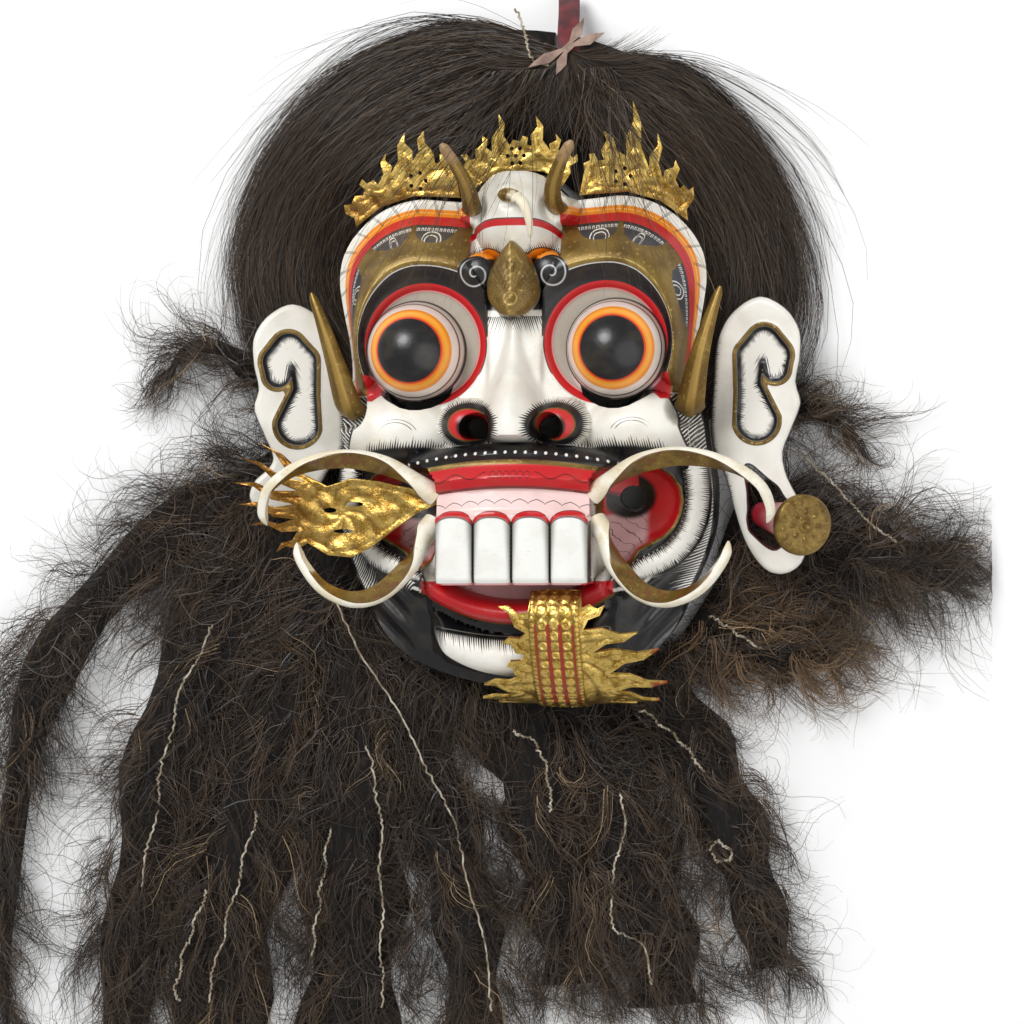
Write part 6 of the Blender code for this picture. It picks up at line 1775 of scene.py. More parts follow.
def gilt_plate(name, node, outline, holes, surface, middle, beat, finish, browning_and_shade):
    """A piece of embossed leather lying on a surface."""
    loop = np.array(outline)
    if np.sum(loop[:, 0] * np.roll(loop[:, 1], -1) - np.roll(loop[:, 0], -1) * loop[:, 1]) < 0:
        loop = loop[::-1]

    def crumpled(x, y):
        folds = 0.0003 * np.sin(x * 330 + y * 120 + 2 * np.sin(y * 190))
        return surface(x, y) + folds + 0.0002 * np.sin(y * 410 - x * 90)

    def top(x, y):
        return crumpled(x, y) + LEATHER_SHOWN + 0.0008 * punched(x, y, loop, middle, beat)

    points = fine_points(loop, holes, [], 0.00135, 0.0006)
    piece, _, _ = carved_shell(name, loop, loop, holes, (points, top), (points, crumpled), 1)
    plan_x, plan_y, _ = plan_of(piece).T
    mark(piece, "lift", punched(plan_x, plan_y, loop, middle, beat))
    mark(piece, "red", np.zeros(len(plan_x)))
    mark(piece, "browning_and_shade", browning_and_shade(plan_x, plan_y))
    piece.data.materials.append(finish)
    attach(piece, "root")
    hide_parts(node)


def ring_of_holes(x, y, radius, count, middle=True):
    """Round pierced holes in a ring, and one in the middle where asked for."""
    places = [(x, y)] if middle else []
    for k in range(count):
        turn = 2 * math.pi * k / count
        places.append((x + radius * math.cos(turn), y + radius * math.sin(turn)))
    return [ellipse(*place, PIERCED_RADIUS, PIERCED_RADIUS, 14) for place in places]


def crown_surface(x, y):
    """The crown plates lean up from behind the brow."""
    return CROWN_HEIGHT + CROWN_LEAN * (y - CROWN_BACK_Y) + CRINKLE * np.sin(x * 160) * np.cos(y * 140)


def worn_low(x, y):
    """The crown is browner at its foot."""
    return ease(0.122, 0.100, y) * 0.8


middle_feet = ((0.0345, 0.1180), (0.0300, 0.1290), (0.0210, 0.1330), (0.0090, 0.1360), (-0.0060, 0.1370),
               (-0.0180, 0.1330), (-0.0290, 0.1290), (-0.0360, 0.1180))
middle_tips = ((0.0390, 0.1300), (0.0250, 0.1440), (0.0120, 0.1560), (0.0030, 0.1430), (-0.0130, 0.1580),
               (-0.0245, 0.1440), (-0.0390, 0.1310))
forehead_side = [(-0.0300, 0.1095), (-0.0160, 0.1190), (0.0, 0.1208), (0.0160, 0.1190), (0.0290, 0.1095)]
holes = ring_of_holes(-0.0020, 0.1300, CROWN_ROSETTE_RADIUS, 6)
gilt_plate("gilt_crown_middle", "crown_middle", flames(middle_feet, middle_tips) + forehead_side, holes,
           crown_surface, (-0.002, 0.118), 11, bright_leather, worn_low)
feet = ((0.1120, 0.0850), (0.1070, 0.1060), (0.0960, 0.1130), (0.0870, 0.1200), (0.0720, 0.1280),
        (0.0570, 0.1260), (0.0440, 0.1200))
right_tips = ((0.1160, 0.1070), (0.1045, 0.1250), (0.0930, 0.1430), (0.0770, 0.1640), (0.0570, 0.1450),
              (0.0470, 0.1300))
left_tips = ((0.1200, 0.1000), (0.1070, 0.1170), (0.0900, 0.1340), (0.0770, 0.1470), (0.0640, 0.1480),
             (0.0500, 0.1330))
brow_side = [(0.0400, 0.1030), (0.0520, 0.1040), (0.0720, 0.1050), (0.0940, 0.0985), (0.1075, 0.0885)]
for name, tips, side in (("crown_right", right_tips, 1), ("crown_left", left_tips, -1)):
    edge = np.array(flames(feet, tips) + brow_side) * (side, 1)
    holes = ring_of_holes(side * 0.0690, 0.1150, CROWN_ROSETTE_RADIUS, 5, middle=False)
    gilt_plate("gilt_" + name, name, edge, holes, crown_surface, (side * 0.069, 0.100), 9,
               bright_leather if side > 0 else dull_leather, worn_low)

feet = ((-0.1280, -0.0890), (-0.1440, -0.0860), (-0.1490, -0.0920), (-0.1520, -0.1010), (-0.1520, -0.1110),
        (-0.1490, -0.1190), (-0.1420, -0.1270))
tips = ((-0.1760, -0.0590), (-0.1900, -0.0690), (-0.1940, -0.0860), (-0.1900, -0.1010), (-0.1820, -0.1150),
        (-0.1640, -0.1330))
edge = flames(feet, tips)
edge += [(-0.128, -0.135), (-0.112, -0.1365), (-0.098, -0.130), (-0.082, -0.118), (-0.066, -0.107)]
edge += [(-0.0530, -0.1015), (-0.0530, -0.0965), (-0.072, -0.0900), (-0.092, -0.0860), (-0.112, -0.0840)]
holes = [ellipse(-0.109, -0.1010, 0.0060, 0.0016, 18), ellipse(-0.126, -0.1050, 0.0045, 0.0017, 18)]
holes += [ellipse(-0.117, -0.1190, 0.0070, 0.0014, 18)]


def leaf_surface(x, y):
    """The leaf leans down towards its flames."""
    return LEAF_HEIGHT + LEAF_LEAN * x + CRINKLE * np.sin(x * 150) * np.sin(y * 130)


def worn_left(x, y):
    """The leaf has gone orange brown towards its flames."""
    return 0.35 + 0.65 * ease(-0.120, -0.165, x)


gilt_plate("gilt_cheek_leaf", "cheek_leaf", edge, holes, leaf_surface, (-0.118, -0.108), 7, dull_leather, worn_left)


def tongue_profile():
    """The line that the tongue's middle follows over the lip and chin, as (y, height)."""
    points = ((-0.1600, 0.1050), (-0.1665, 0.1120), (-0.1740, 0.1145), (-0.1860, 0.1110), (-0.2020, 0.1015),
              (-0.2190, 0.0890), (-0.2305, 0.0740), (-0.2345, 0.0580), (-0.2365, 0.0420))
    line = smooth_path(points, 40)
    return np.vstack([line, line[-1] + (line[-1] - line[-2]) * TONGUE_SPARE])


left_feet = ((-0.0170, -0.126), (-0.0190, -0.234), (-0.0210, -0.378), (-0.0250, -0.523), (-0.0280, -0.667),
             (-0.0260, -0.811), (-0.0200, -0.937))
left_tips = ((-0.0370, -0.099), (-0.0350, -0.297), (-0.0340, -0.459), (-0.0510, -0.595), (-0.0540, -0.739),
             (-0.0460, -0.901))
right_feet = ((0.0200, -0.919), (0.0280, -0.793), (0.0360, -0.649), (0.0340, -0.505), (0.0240, -0.360),
              (0.0190, -0.216), (0.0180, -0.108))
right_tips = ((0.0480, -0.901), (0.0640, -0.775), (0.0710, -0.577), (0.0670, -0.342), (0.0540, -0.234),
              (0.0330, -0.090))
edge = flames(np.array(left_feet) * (1, TONGUE_LENGTH), np.array(left_tips) * (1, TONGUE_LENGTH))
edge += [(-0.0080, -TONGUE_LENGTH), (0.0080, -TONGUE_LENGTH)]
edge += flames(np.array(right_feet) * (1, TONGUE_LENGTH), np.array(right_tips) * (1, TONGUE_LENGTH))
edge += [(0.0170, 0.0), (0.0, 0.0), (-0.0160, 0.0)]
loop = np.array(edge)
COLUMN_STEP = 0.0078
ROW_STEP = 0.0074


def tongue_rings(x, y):
    """How far each point is from the nearest punched ring's middle."""
    off_x = (x / COLUMN_STEP) - np.round(x / COLUMN_STEP)
    off_y = (y / ROW_STEP) - np.round(y / ROW_STEP)
    return np.hypot(off_x * COLUMN_STEP, off_y * ROW_STEP)


def tongue_lift(x, y):
    """Embossing of the tongue: rings down its middle, ribs out to the flames."""
    away = tongue_rings(x, y)
    rings = ease(0.0012, 0.0004, np.abs(away - 0.0022)) + ease(0.0011, 0.0004, away) * 0.8
    on_middle = np.abs(x) < 0.0125
    edge_bead = 0.5 + 0.5 * np.sin(y * 1900)
    beads = ease(0.0016, 0.0006, np.abs(np.abs(x) - 0.0146)) * edge_bead
    ribs = punched(x, y, loop, (0.0, -0.05), 15)
    return np.where(on_middle, rings, np.where(np.abs(x) < 0.0170, beads, ribs))


def tongue_under(x, y):
    """The underside is flat, with a raised band down the middle."""
    return TONGUE_RIDGE * ease(TONGUE_MIDDLE_HALF + 0.003, TONGUE_MIDDLE_HALF - 0.003, np.abs(x))


def tongue_top(x, y):
    return tongue_under(x, y) + LEATHER_SHOWN + 0.0009 * tongue_lift(x, y)


points = fine_points(loop, [], [], 0.0012, 0.0006)
tongue, _, _ = carved_shell("gilt_tongue", loop, loop, [], (points, tongue_top), (points, tongue_under), 1)
plan_x, plan_y, plan_z = plan_of(tongue).T
off_middle = np.abs(plan_x)
mark(tongue, "lift", tongue_lift(plan_x, plan_y))
strips = ease(0.0017, 0.0010, np.abs(off_middle - COLUMN_STEP / 2))
strips = strips + ease(0.0010, 0.0005, np.abs(off_middle - 0.0122))
in_middle = (off_middle < 0.0145) & (plan_y > -0.092) & (plan_y < -0.022)
mark(tongue, "red", np.where(in_middle, strips, ease(0.048, 0.066, off_middle) * 0.55))
# Painted shade on the tongue's top, which lies under the teeth; and darker towards its lower end
mark(tongue, "browning_and_shade", ease(-0.012, 0.0, plan_y) + ease(-0.070, -0.118, plan_y) * 0.7)

# The flat tongue is bent along its line over the lip and the chin
line = tongue_profile()
along = np.concatenate([[0], np.cumsum(np.hypot(*np.diff(line, axis=0).T))])
place = np.clip(-plan_y, 0, along[-1])
ys = [np.interp(place + step, along, line[:, 0]) for step in (-0.002, 0.0, 0.002)]
zs = [np.interp(place + step, along, line[:, 1]) for step in (-0.002, 0.0, 0.002)]
ahead = np.stack([ys[2] - ys[0], zs[2] - zs[0]], axis=1)
ahead /= np.hypot(*ahead.T)[:, None]
ripple = 0.0006 * np.sin(plan_x * 300 + plan_y * 170) * (off_middle > 0.018)
height = zs[1] - plan_z * ahead[:, 0] - TONGUE_DROOP * plan_x**2 + ripple
bent = np.stack([plan_x + TONGUE_X, ys[1] + plan_z * ahead[:, 1], height], axis=1)
tongue.data.vertices.foreach_set("co", (bent + between_eyes).reshape(-1).astype(np.float32))
tongue.data.update()
face_outward()
tongue.data.materials.append(bright_leather)
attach(tongue, "root")
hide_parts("tongue")

# At the top a strap of dark red leather hangs the mask, and pale leather laces with leaf-shaped
# ends are knotted round the hair.
CROWN_HAIR_Y = 0.040
CROWN_HAIR_RADIUS = 0.191
STRAP_RADIUS = 0.0018
STRAP_WIDENING = 4.0
LACE_KNOT_X = 0.0330
LACE_KNOT_INSET = 0.0290
LACE_TURNS = (math.radians(20), math.radians(60), math.radians(205), math.radians(245))
LACE_LENGTHS = (0.026, 0.022, 0.030, 0.020)
LACE_ROOT = 0.004
LACE_HALF_WIDTH = 0.0036
LACE_HEIGHT = 0.0525
LACE_SHOWN = 0.0017
hair_top = CROWN_HAIR_Y + CROWN_HAIR_RADIUS
points = np.array(((0.0330, -0.0410, 0.0500), (0.0320, -0.0210, 0.0450), (0.0310, -0.0030, 0.0290),
                   (0.0290, 0.0120, 0.0100)))
path = smooth_path(points + (0, hair_top, 0), 60)
across = np.tile((0.0, 0.5, 1.0), (60, 1))
strap = swept("red_strap", path, np.full(60, STRAP_RADIUS), across, 32, 1.0, STRAP_WIDENING, 5.0)


def leather_finish(name, light, dark, scale):
    """Plain dyed leather with a fine grain."""
    material, tree, shader = new_finish(name, 0.55)
    vector, _, _ = surface_fields(tree)
    worn = cloudy(tree, vector, scale, 4.0)
    grain = cloudy(tree, vector, 1.4, 3.0)
    dress(tree, shader, laid_over(tree, dark, worn.above(0.5, 0.2), light))
    raised(tree, shader, grain + worn, 0.0006, 0.5)
    return material


strap.data.materials.append(leather_finish("dark red leather", pigment(116, 34, 40), pigment(70, 22, 28), 0.12))
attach(strap, "root")
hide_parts("hair_strap")
leaf = []
knot = np.array((LACE_KNOT_X, hair_top - LACE_KNOT_INSET))
for turn, length in zip(LACE_TURNS, LACE_LENGTHS):
    ahead = np.array((math.cos(turn), math.sin(turn)))
    aside = np.array((-ahead[1], ahead[0]))
    half_way = knot + ahead * length * 0.55
    root = knot + ahead * LACE_ROOT
    leaf += [root - aside * LACE_HALF_WIDTH / 3, half_way - aside * LACE_HALF_WIDTH]
    leaf += [knot + ahead * length, half_way + aside * LACE_HALF_WIDTH, root + aside * LACE_HALF_WIDTH / 3]
lace_loop = crowded(np.vstack([leaf, leaf[:1]]), 7)


def lace_under(x, y):
    """The laces lie in small waves on the hair."""
    away = np.hypot(x - knot[0], y - knot[1])
    return LACE_HEIGHT + 0.0012 * np.sin(away * 330) + away * 0.02


def lace_top(x, y):
    return lace_under(x, y) + LACE_SHOWN


points = fine_points(lace_loop, [], [], 0.0012, 0.0004)
laces, _, _ = carved_shell("leather_laces", lace_loop, lace_loop, [], (points, lace_top), (points, lace_under), 1)
laces.data.materials.append(leather_finish("pale brown leather", pigment(164, 138, 124), pigment(112, 88, 78), 0.10))
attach(laces, "root")
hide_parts("lace_ends")

# The wig is coarse dark horse hair. Long hair is combed from a knot at the top round both sides of
# the head, and shorter tufts are tied all along pale twisted strings that hang from the rim of the
# mask. Every hair here is a narrow strip, wider at the root than at its tip.
HAIR_STEPS = 8
LONG_HAIR_POINTS = 11
HAIR_WIDTH = 0.00060
HAIR_BEYOND_BOX = 0.020
HAIRS_PER_TUFT = 14
LOCK_SAMPLES = 60
LOOSE_SHARE = 0.20
WILD_SHARE = 0.22
STRING_RADIUS = 0.00055
STRING_SIDES = 5
STRING_SAMPLES = 90
STRING_HEIGHT = 0.0300
STRING_DIP = 0.0070
FLOOR_GAP = 0.0015
MASS_ACROSS = (1.0, 0.66, 0.33, 0.0, -0.33, -0.66, -1.0)
MASS_LEVELS = (0.10, 0.40, 0.60, 0.66, 0.60, 0.40, 0.10)
MASS_SHARE = 0.74


def strip_hairs(points, widths, chance):
    """Vertices and faces of one narrow strip for each hair; points run hair by hair."""
    ahead = np.gradient(points, axis=1)
    ahead /= np.linalg.norm(ahead, axis=2)[:, :, None] + 1e-9
    aside = np.stack([-ahead[:, :, 1], ahead[:, :, 0], np.zeros(ahead.shape[:2])], axis=2)
    aside /= np.linalg.norm(aside, axis=2)[:, :, None] + 1e-9
    lifted = np.cross(ahead, aside)
    turn = chance.uniform(-1.0, 1.0, len(points))[:, None, None]
    across = aside * np.cos(turn) + lifted * np.sin(turn)
    taper = np.linspace(1.0, 0.25, points.shape[1])[None, :, None]
    half = across * widths[:, None, None] * taper / 2
    vertices = np.stack([points - half, points + half], axis=2).reshape(-1, 3)
    per_hair = points.shape[1] * 2
    first = (np.arange(len(points)) * per_hair)[:, None] + np.arange(0, per_hair - 2, 2)[None]
    first = first.reshape(-1)
    faces = np.stack([first, first + 1, first + 3, first + 2], axis=1)
    return vertices, faces


def under_hair(rows, heights):
    """The dense hair underneath, as one closed form: rows of plan points with a height for each."""
    count = len(rows[0])
    top = np.array([[(*point, z) for point, z in zip(row, level)] for row, level in zip(rows, heights)])
    low = top.copy()
    low[:, :, 2] = FLOOR_GAP
    vertices = np.vstack([top.reshape(-1, 3), low.reshape(-1, 3)])
    total = len(rows) * count
    faces = []
    for r in range(len(rows) - 1):
        for c in range(count - 1):
            a, b, d, e = r * count + c, r * count + c + 1, (r + 1) * count + c, (r + 1) * count + c + 1
            faces.append((a, b, e, d))
            faces.append((total + d, total + e, total + b, total + a))
    ring = list(range(count)) + [r * count + count - 1 for r in range(1, len(rows))]
    ring += [(len(rows) - 1) * count + c for c in range(count - 2, -1, -1)]
    ring += [r * count for r in range(len(rows) - 2, 0, -1)]
    for a, b in zip(ring, ring[1:] + ring[:1]):
        faces.append((b, a, total + a, total + b))
    return vertices, np.array(faces)


def twisted_string(path, radius, chance):
    """A thin string laid along the points, with small kinks and knots."""
    kinks = chance.normal(0, 0.0005, path.shape)
    line = path + kinks
    ahead = np.gradient(line, axis=0)
    ahead /= np.linalg.norm(ahead, axis=1)[:, None]
    aside = np.cross(ahead, (0, 0, 1.0))
    aside /= np.linalg.norm(aside, axis=1)[:, None]
    lifted = np.cross(aside, ahead)
    rings = []
    for k in range(STRING_SIDES):
        turn = 2 * math.pi * k / STRING_SIDES
        thick = radius * (1 + 0.55 * np.abs(np.sin(np.arange(len(line)) * 0.9 + k)))[:, None]
        rings.append(line + (aside * math.cos(turn) + lifted * math.sin(turn)) * thick)
    vertices = np.stack(rings, axis=1).reshape(-1, 3)
    return vertices, np.array(tube_faces(len(line), STRING_SIDES))


def hair_finish(name, dark, light, dry):
    """Hair: dark at the roots, with lighter and drier hairs among the rest."""
    material, tree, shader = new_finish(name, 0.42)
    tone = marked(tree, "tone")
    along = marked(tree, "along")
    colour = laid_over(tree, dark, tone.above(0.55, 0.35), light)
    colour = laid_over(tree, colour, tone.above(0.93, 0.02) * 0.8, dry)
    colour = laid_over(tree, colour, along.above(0.8, 0.4) * 0.35, light)
    dress(tree, shader, colour, roughness=tone * 0.25 + 0.36)
    return material


dark_hair = hair_finish("dark horse hair", pigment(30, 24, 20), pigment(78, 62, 47), pigment(170, 146, 110))
brown_hair = hair_finish("brown horse hair", pigment(50, 39, 29), pigment(122, 96, 68), pigment(190, 162, 120))
# The dense hair underneath is near black: painted shade for the deep shadow between the hairs, with faint brown
# streaks
hair_in_painted_shade, tree, shader = new_finish("dense hair underneath in painted shade", 0.95)
vector, _, _ = surface_fields(tree)
streaks = cloudy(tree, vector, 0.30, 4.0, (1.0, 0.3, 1.0)).above(0.56, 0.10)
dress(tree, shader, laid_over(tree, pigment(14, 11, 9), streaks, pigment(40, 31, 24)))
string_finish, tree, shader = new_finish("pale twisted string", 0.8)
vector, _, _ = surface_fields(tree)
grimy = cloudy(tree, vector, 0.12, 3.0).above(0.5, 0.15)
dress(tree, shader, laid_over(tree, pigment(196, 186, 168), grimy, pigment(128, 114, 92)))


def held_within(hairs):
    """Hairs that would reach too far beyond the solid's box are drawn shorter."""
    root = hairs[:, :1, :2]
    reach = hairs[:, :, :2] - root
    places = root + between_eyes[:2]
    over = np.maximum(reach, 1e-9) / (np.array(cad_high[:2]) + HAIR_BEYOND_BOX - places)
    under = np.maximum(-reach, 1e-9) / (places - np.array(cad_low[:2]) + HAIR_BEYOND_BOX)
    most = np.maximum(over, under).max(axis=(1, 2))
    hairs[:, :, :2] = root + reach / np.maximum(most, 1.0)[:, None, None]
    return hairs


def hair_piece(name, node, hairs, widths, tones, body, strings, finish, chance):
    """One piece of hair out of its strips, the dense hair underneath and its strings."""
    hairs = held_within(hairs)
    parts = [(*strip_hairs(hairs, widths, chance), 0), (*body, 2)]
    parts += [(*twisted_string(path, STRING_RADIUS, chance), 1) for path in strings]
    vertices = np.vstack([part[0] for part in parts]) + between_eyes
    starts = np.cumsum([0] + [len(part[0]) for part in parts[:-1]])
    faces = np.vstack([part[1] + start for part, start in zip(parts, starts)])
    mesh = bpy.data.meshes.new(name)
    mesh.vertices.add(len(vertices))
    mesh.vertices.foreach_set("co", vertices.reshape(-1).astype(np.float32))
    mesh.loops.add(faces.size)
    mesh.loops.foreach_set("vertex_index", faces.reshape(-1).astype(np.int32))
    mesh.polygons.add(len(faces))
    mesh.polygons.foreach_set("loop_start", np.arange(0, faces.size, 4, dtype=np.int32))
    slots = np.concatenate([np.full(len(part[1]), part[2], np.int32) for part in parts])
    mesh.polygons.foreach_set("material_index", slots)
    mesh.polygons.foreach_set("use_smooth", np.ones(len(faces), bool))
    mesh.update()
    piece = bpy.data.objects.new(name, mesh)
    bpy.context.scene.collection.objects.link(piece)
    for material in (finish, string_finish, hair_in_painted_shade):
        mesh.materials.append(material)
    per_hair = hairs.shape[1] * 2
    tone = np.zeros(len(vertices))
    tone[: len(hairs) * per_hair] = np.repeat(tones, per_hair)
    along = np.zeros(len(vertices))
    along[: len(hairs) * per_hair] = np.tile(np.repeat(np.linspace(0, 1, hairs.shape[1]), 2), len(hairs))
    mark(piece, "tone", tone)
    mark(piece, "along", along)
    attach(piece, "root")
    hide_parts(node)


LOCKS = {
    "hair_left_curl": ((-0.131, -0.036), (-0.165, -0.027), (-0.196, -0.010), (-0.222, 0.006), (-0.246, 0.004),
                       (-0.262, -0.020)),
    "mane_left_1": ((-0.134, -0.062), (-0.205, -0.094), (-0.290, -0.150), (-0.350, -0.225), (-0.378, -0.340),
                    (-0.386, -0.480)),
    "mane_left_2": ((-0.137, -0.088), (-0.195, -0.150), (-0.240, -0.225), (-0.268, -0.320), (-0.286, -0.400),
                    (-0.300, -0.492)),
    "mane_left_3": ((-0.134, -0.126), (-0.162, -0.185), (-0.190, -0.260), (-0.208, -0.340), (-0.222, -0.420),
                    (-0.232, -0.500)),
    "mane_left_4": ((-0.119, -0.164), (-0.130, -0.225), (-0.132, -0.290), (-0.130, -0.360), (-0.132, -0.430),
                    (-0.138, -0.502)),
    "mane_left_5": ((-0.085, -0.213), (-0.086, -0.262), (-0.070, -0.320), (-0.052, -0.380), (-0.046, -0.430),
                    (-0.046, -0.485)),
    "beard_left": ((-0.028, -0.233), (-0.004, -0.270), (0.007, -0.315), (0.015, -0.360), (0.022, -0.402),
                   (0.027, -0.445)),
    "beard_middle": ((0.028, -0.233), (0.050, -0.275), (0.062, -0.325), (0.074, -0.375), (0.083, -0.420),
                     (0.088, -0.460)),
    "beard_right": ((0.075, -0.220), (0.104, -0.262), (0.126, -0.305), (0.143, -0.350), (0.155, -0.392),
                    (0.161, -0.432)),
    "mane_right_2": ((0.114, -0.177), (0.141, -0.194), (0.163, -0.202), (0.183, -0.203), (0.200, -0.199),
                     (0.217, -0.193)),
    "mane_right_1": ((0.136, -0.115), (0.168, -0.127), (0.202, -0.137), (0.236, -0.142), (0.266, -0.146),
                     (0.292, -0.150)),
    "hair_right_curl": ((0.133, -0.040), (0.157, -0.036), (0.178, -0.037), (0.196, -0.042), (0.211, -0.051),
                        (0.224, -0.064)),
}
LOCK_ROOT_HEIGHT = 0.021
LOCK_HEIGHT = 0.033
LOCK_END_HEIGHT = 0.009
# For each lock: tufts, shortest and longest hair, how far it spreads, how much it curls,
# half the width of the dense hair underneath at each end, and whether it is brown
LOCK_MANNERS = {
    "hair_left_curl": (64, 0.04, 0.09, 1.1, 2.2, 0.013, 0.003, False),
    "mane_left_1": (230, 0.045, 0.1, 1.0, 2.8, 0.026, 0.004, False),
    "mane_left_2": (220, 0.055, 0.125, 0.9, 1.5, 0.046, 0.026, False),
    "mane_left_3": (210, 0.055, 0.12, 0.9, 1.4, 0.046, 0.042, False),
    "mane_left_4": (200, 0.055, 0.12, 0.9, 1.4, 0.046, 0.044, False),
    "mane_left_5": (180, 0.05, 0.1, 0.8, 1.4, 0.036, 0.024, False),
    "beard_left": (160, 0.045, 0.095, 0.8, 1.6, 0.044, 0.03, False),
    "beard_middle": (170, 0.045, 0.1, 0.9, 1.6, 0.04, 0.036, False),
    "beard_right": (150, 0.035, 0.085, 0.9, 1.8, 0.032, 0.02, False),
    "mane_right_2": (120, 0.04, 0.085, 1.3, 1.6, 0.036, 0.016, True),
    "mane_right_1": (160, 0.045, 0.105, 1.2, 1.8, 0.038, 0.016, False),
    "hair_right_curl": (50, 0.032, 0.075, 1.1, 1.6, 0.014, 0.003, False),
}

# Places where the pale strings show between the hairs, for the lock that they belong to
STRINGS = {
    "mane_left_2": (((-0.220, -0.185), (-0.243, -0.228), (-0.257, -0.276), (-0.267, -0.330), (-0.277, -0.370)),
                    ((-0.228, -0.370), (-0.247, -0.419), (-0.252, -0.451))),
    "mane_left_3": (((-0.193, -0.316), (-0.204, -0.357), (-0.220, -0.411), (-0.230, -0.451)),),
    "mane_left_4": (((-0.141, -0.327), (-0.150, -0.384), (-0.155, -0.416)),
                    ((-0.116, -0.270), (-0.106, -0.316), (-0.106, -0.451))),
    "mane_left_5": (((-0.136, -0.170), (-0.112, -0.214), (-0.085, -0.260), (-0.066, -0.295), (-0.050, -0.340),
                     (-0.036, -0.397), (-0.028, -0.451)),),
    "beard_left": (((-0.012, -0.258), (0.007, -0.273), (0.014, -0.313)),),
    "beard_middle": (((0.061, -0.300), (0.064, -0.324), (0.056, -0.357), (0.056, -0.392), (0.077, -0.408),
                      (0.081, -0.432)),),
    "beard_right": (((0.075, -0.243), (0.102, -0.265), (0.118, -0.286)),
                    ((0.122, -0.338), (0.128, -0.334), (0.134, -0.338), (0.136, -0.344), (0.129, -0.347),
                     (0.123, -0.341))),
    "mane_right_2": (((0.123, -0.180), (0.158, -0.203)),),
    "mane_right_1": (((0.183, -0.069), (0.205, -0.090), (0.227, -0.114), (0.248, -0.131)),),
}

# Where a lock starts too slim, some of its tufts are tied along this line, to fall in this direction
ROOT_LINES = {
    "beard_left": ((-0.078, -0.219), (-0.015, -0.236), math.radians(-85)),
    "mane_left_2": ((-0.165, -0.080), (-0.245, -0.145), math.radians(-125)),
    "beard_right": ((0.060, -0.224), (0.118, -0.188), math.radians(-60)),
}
ROOT_LINE_TUFTS = 42

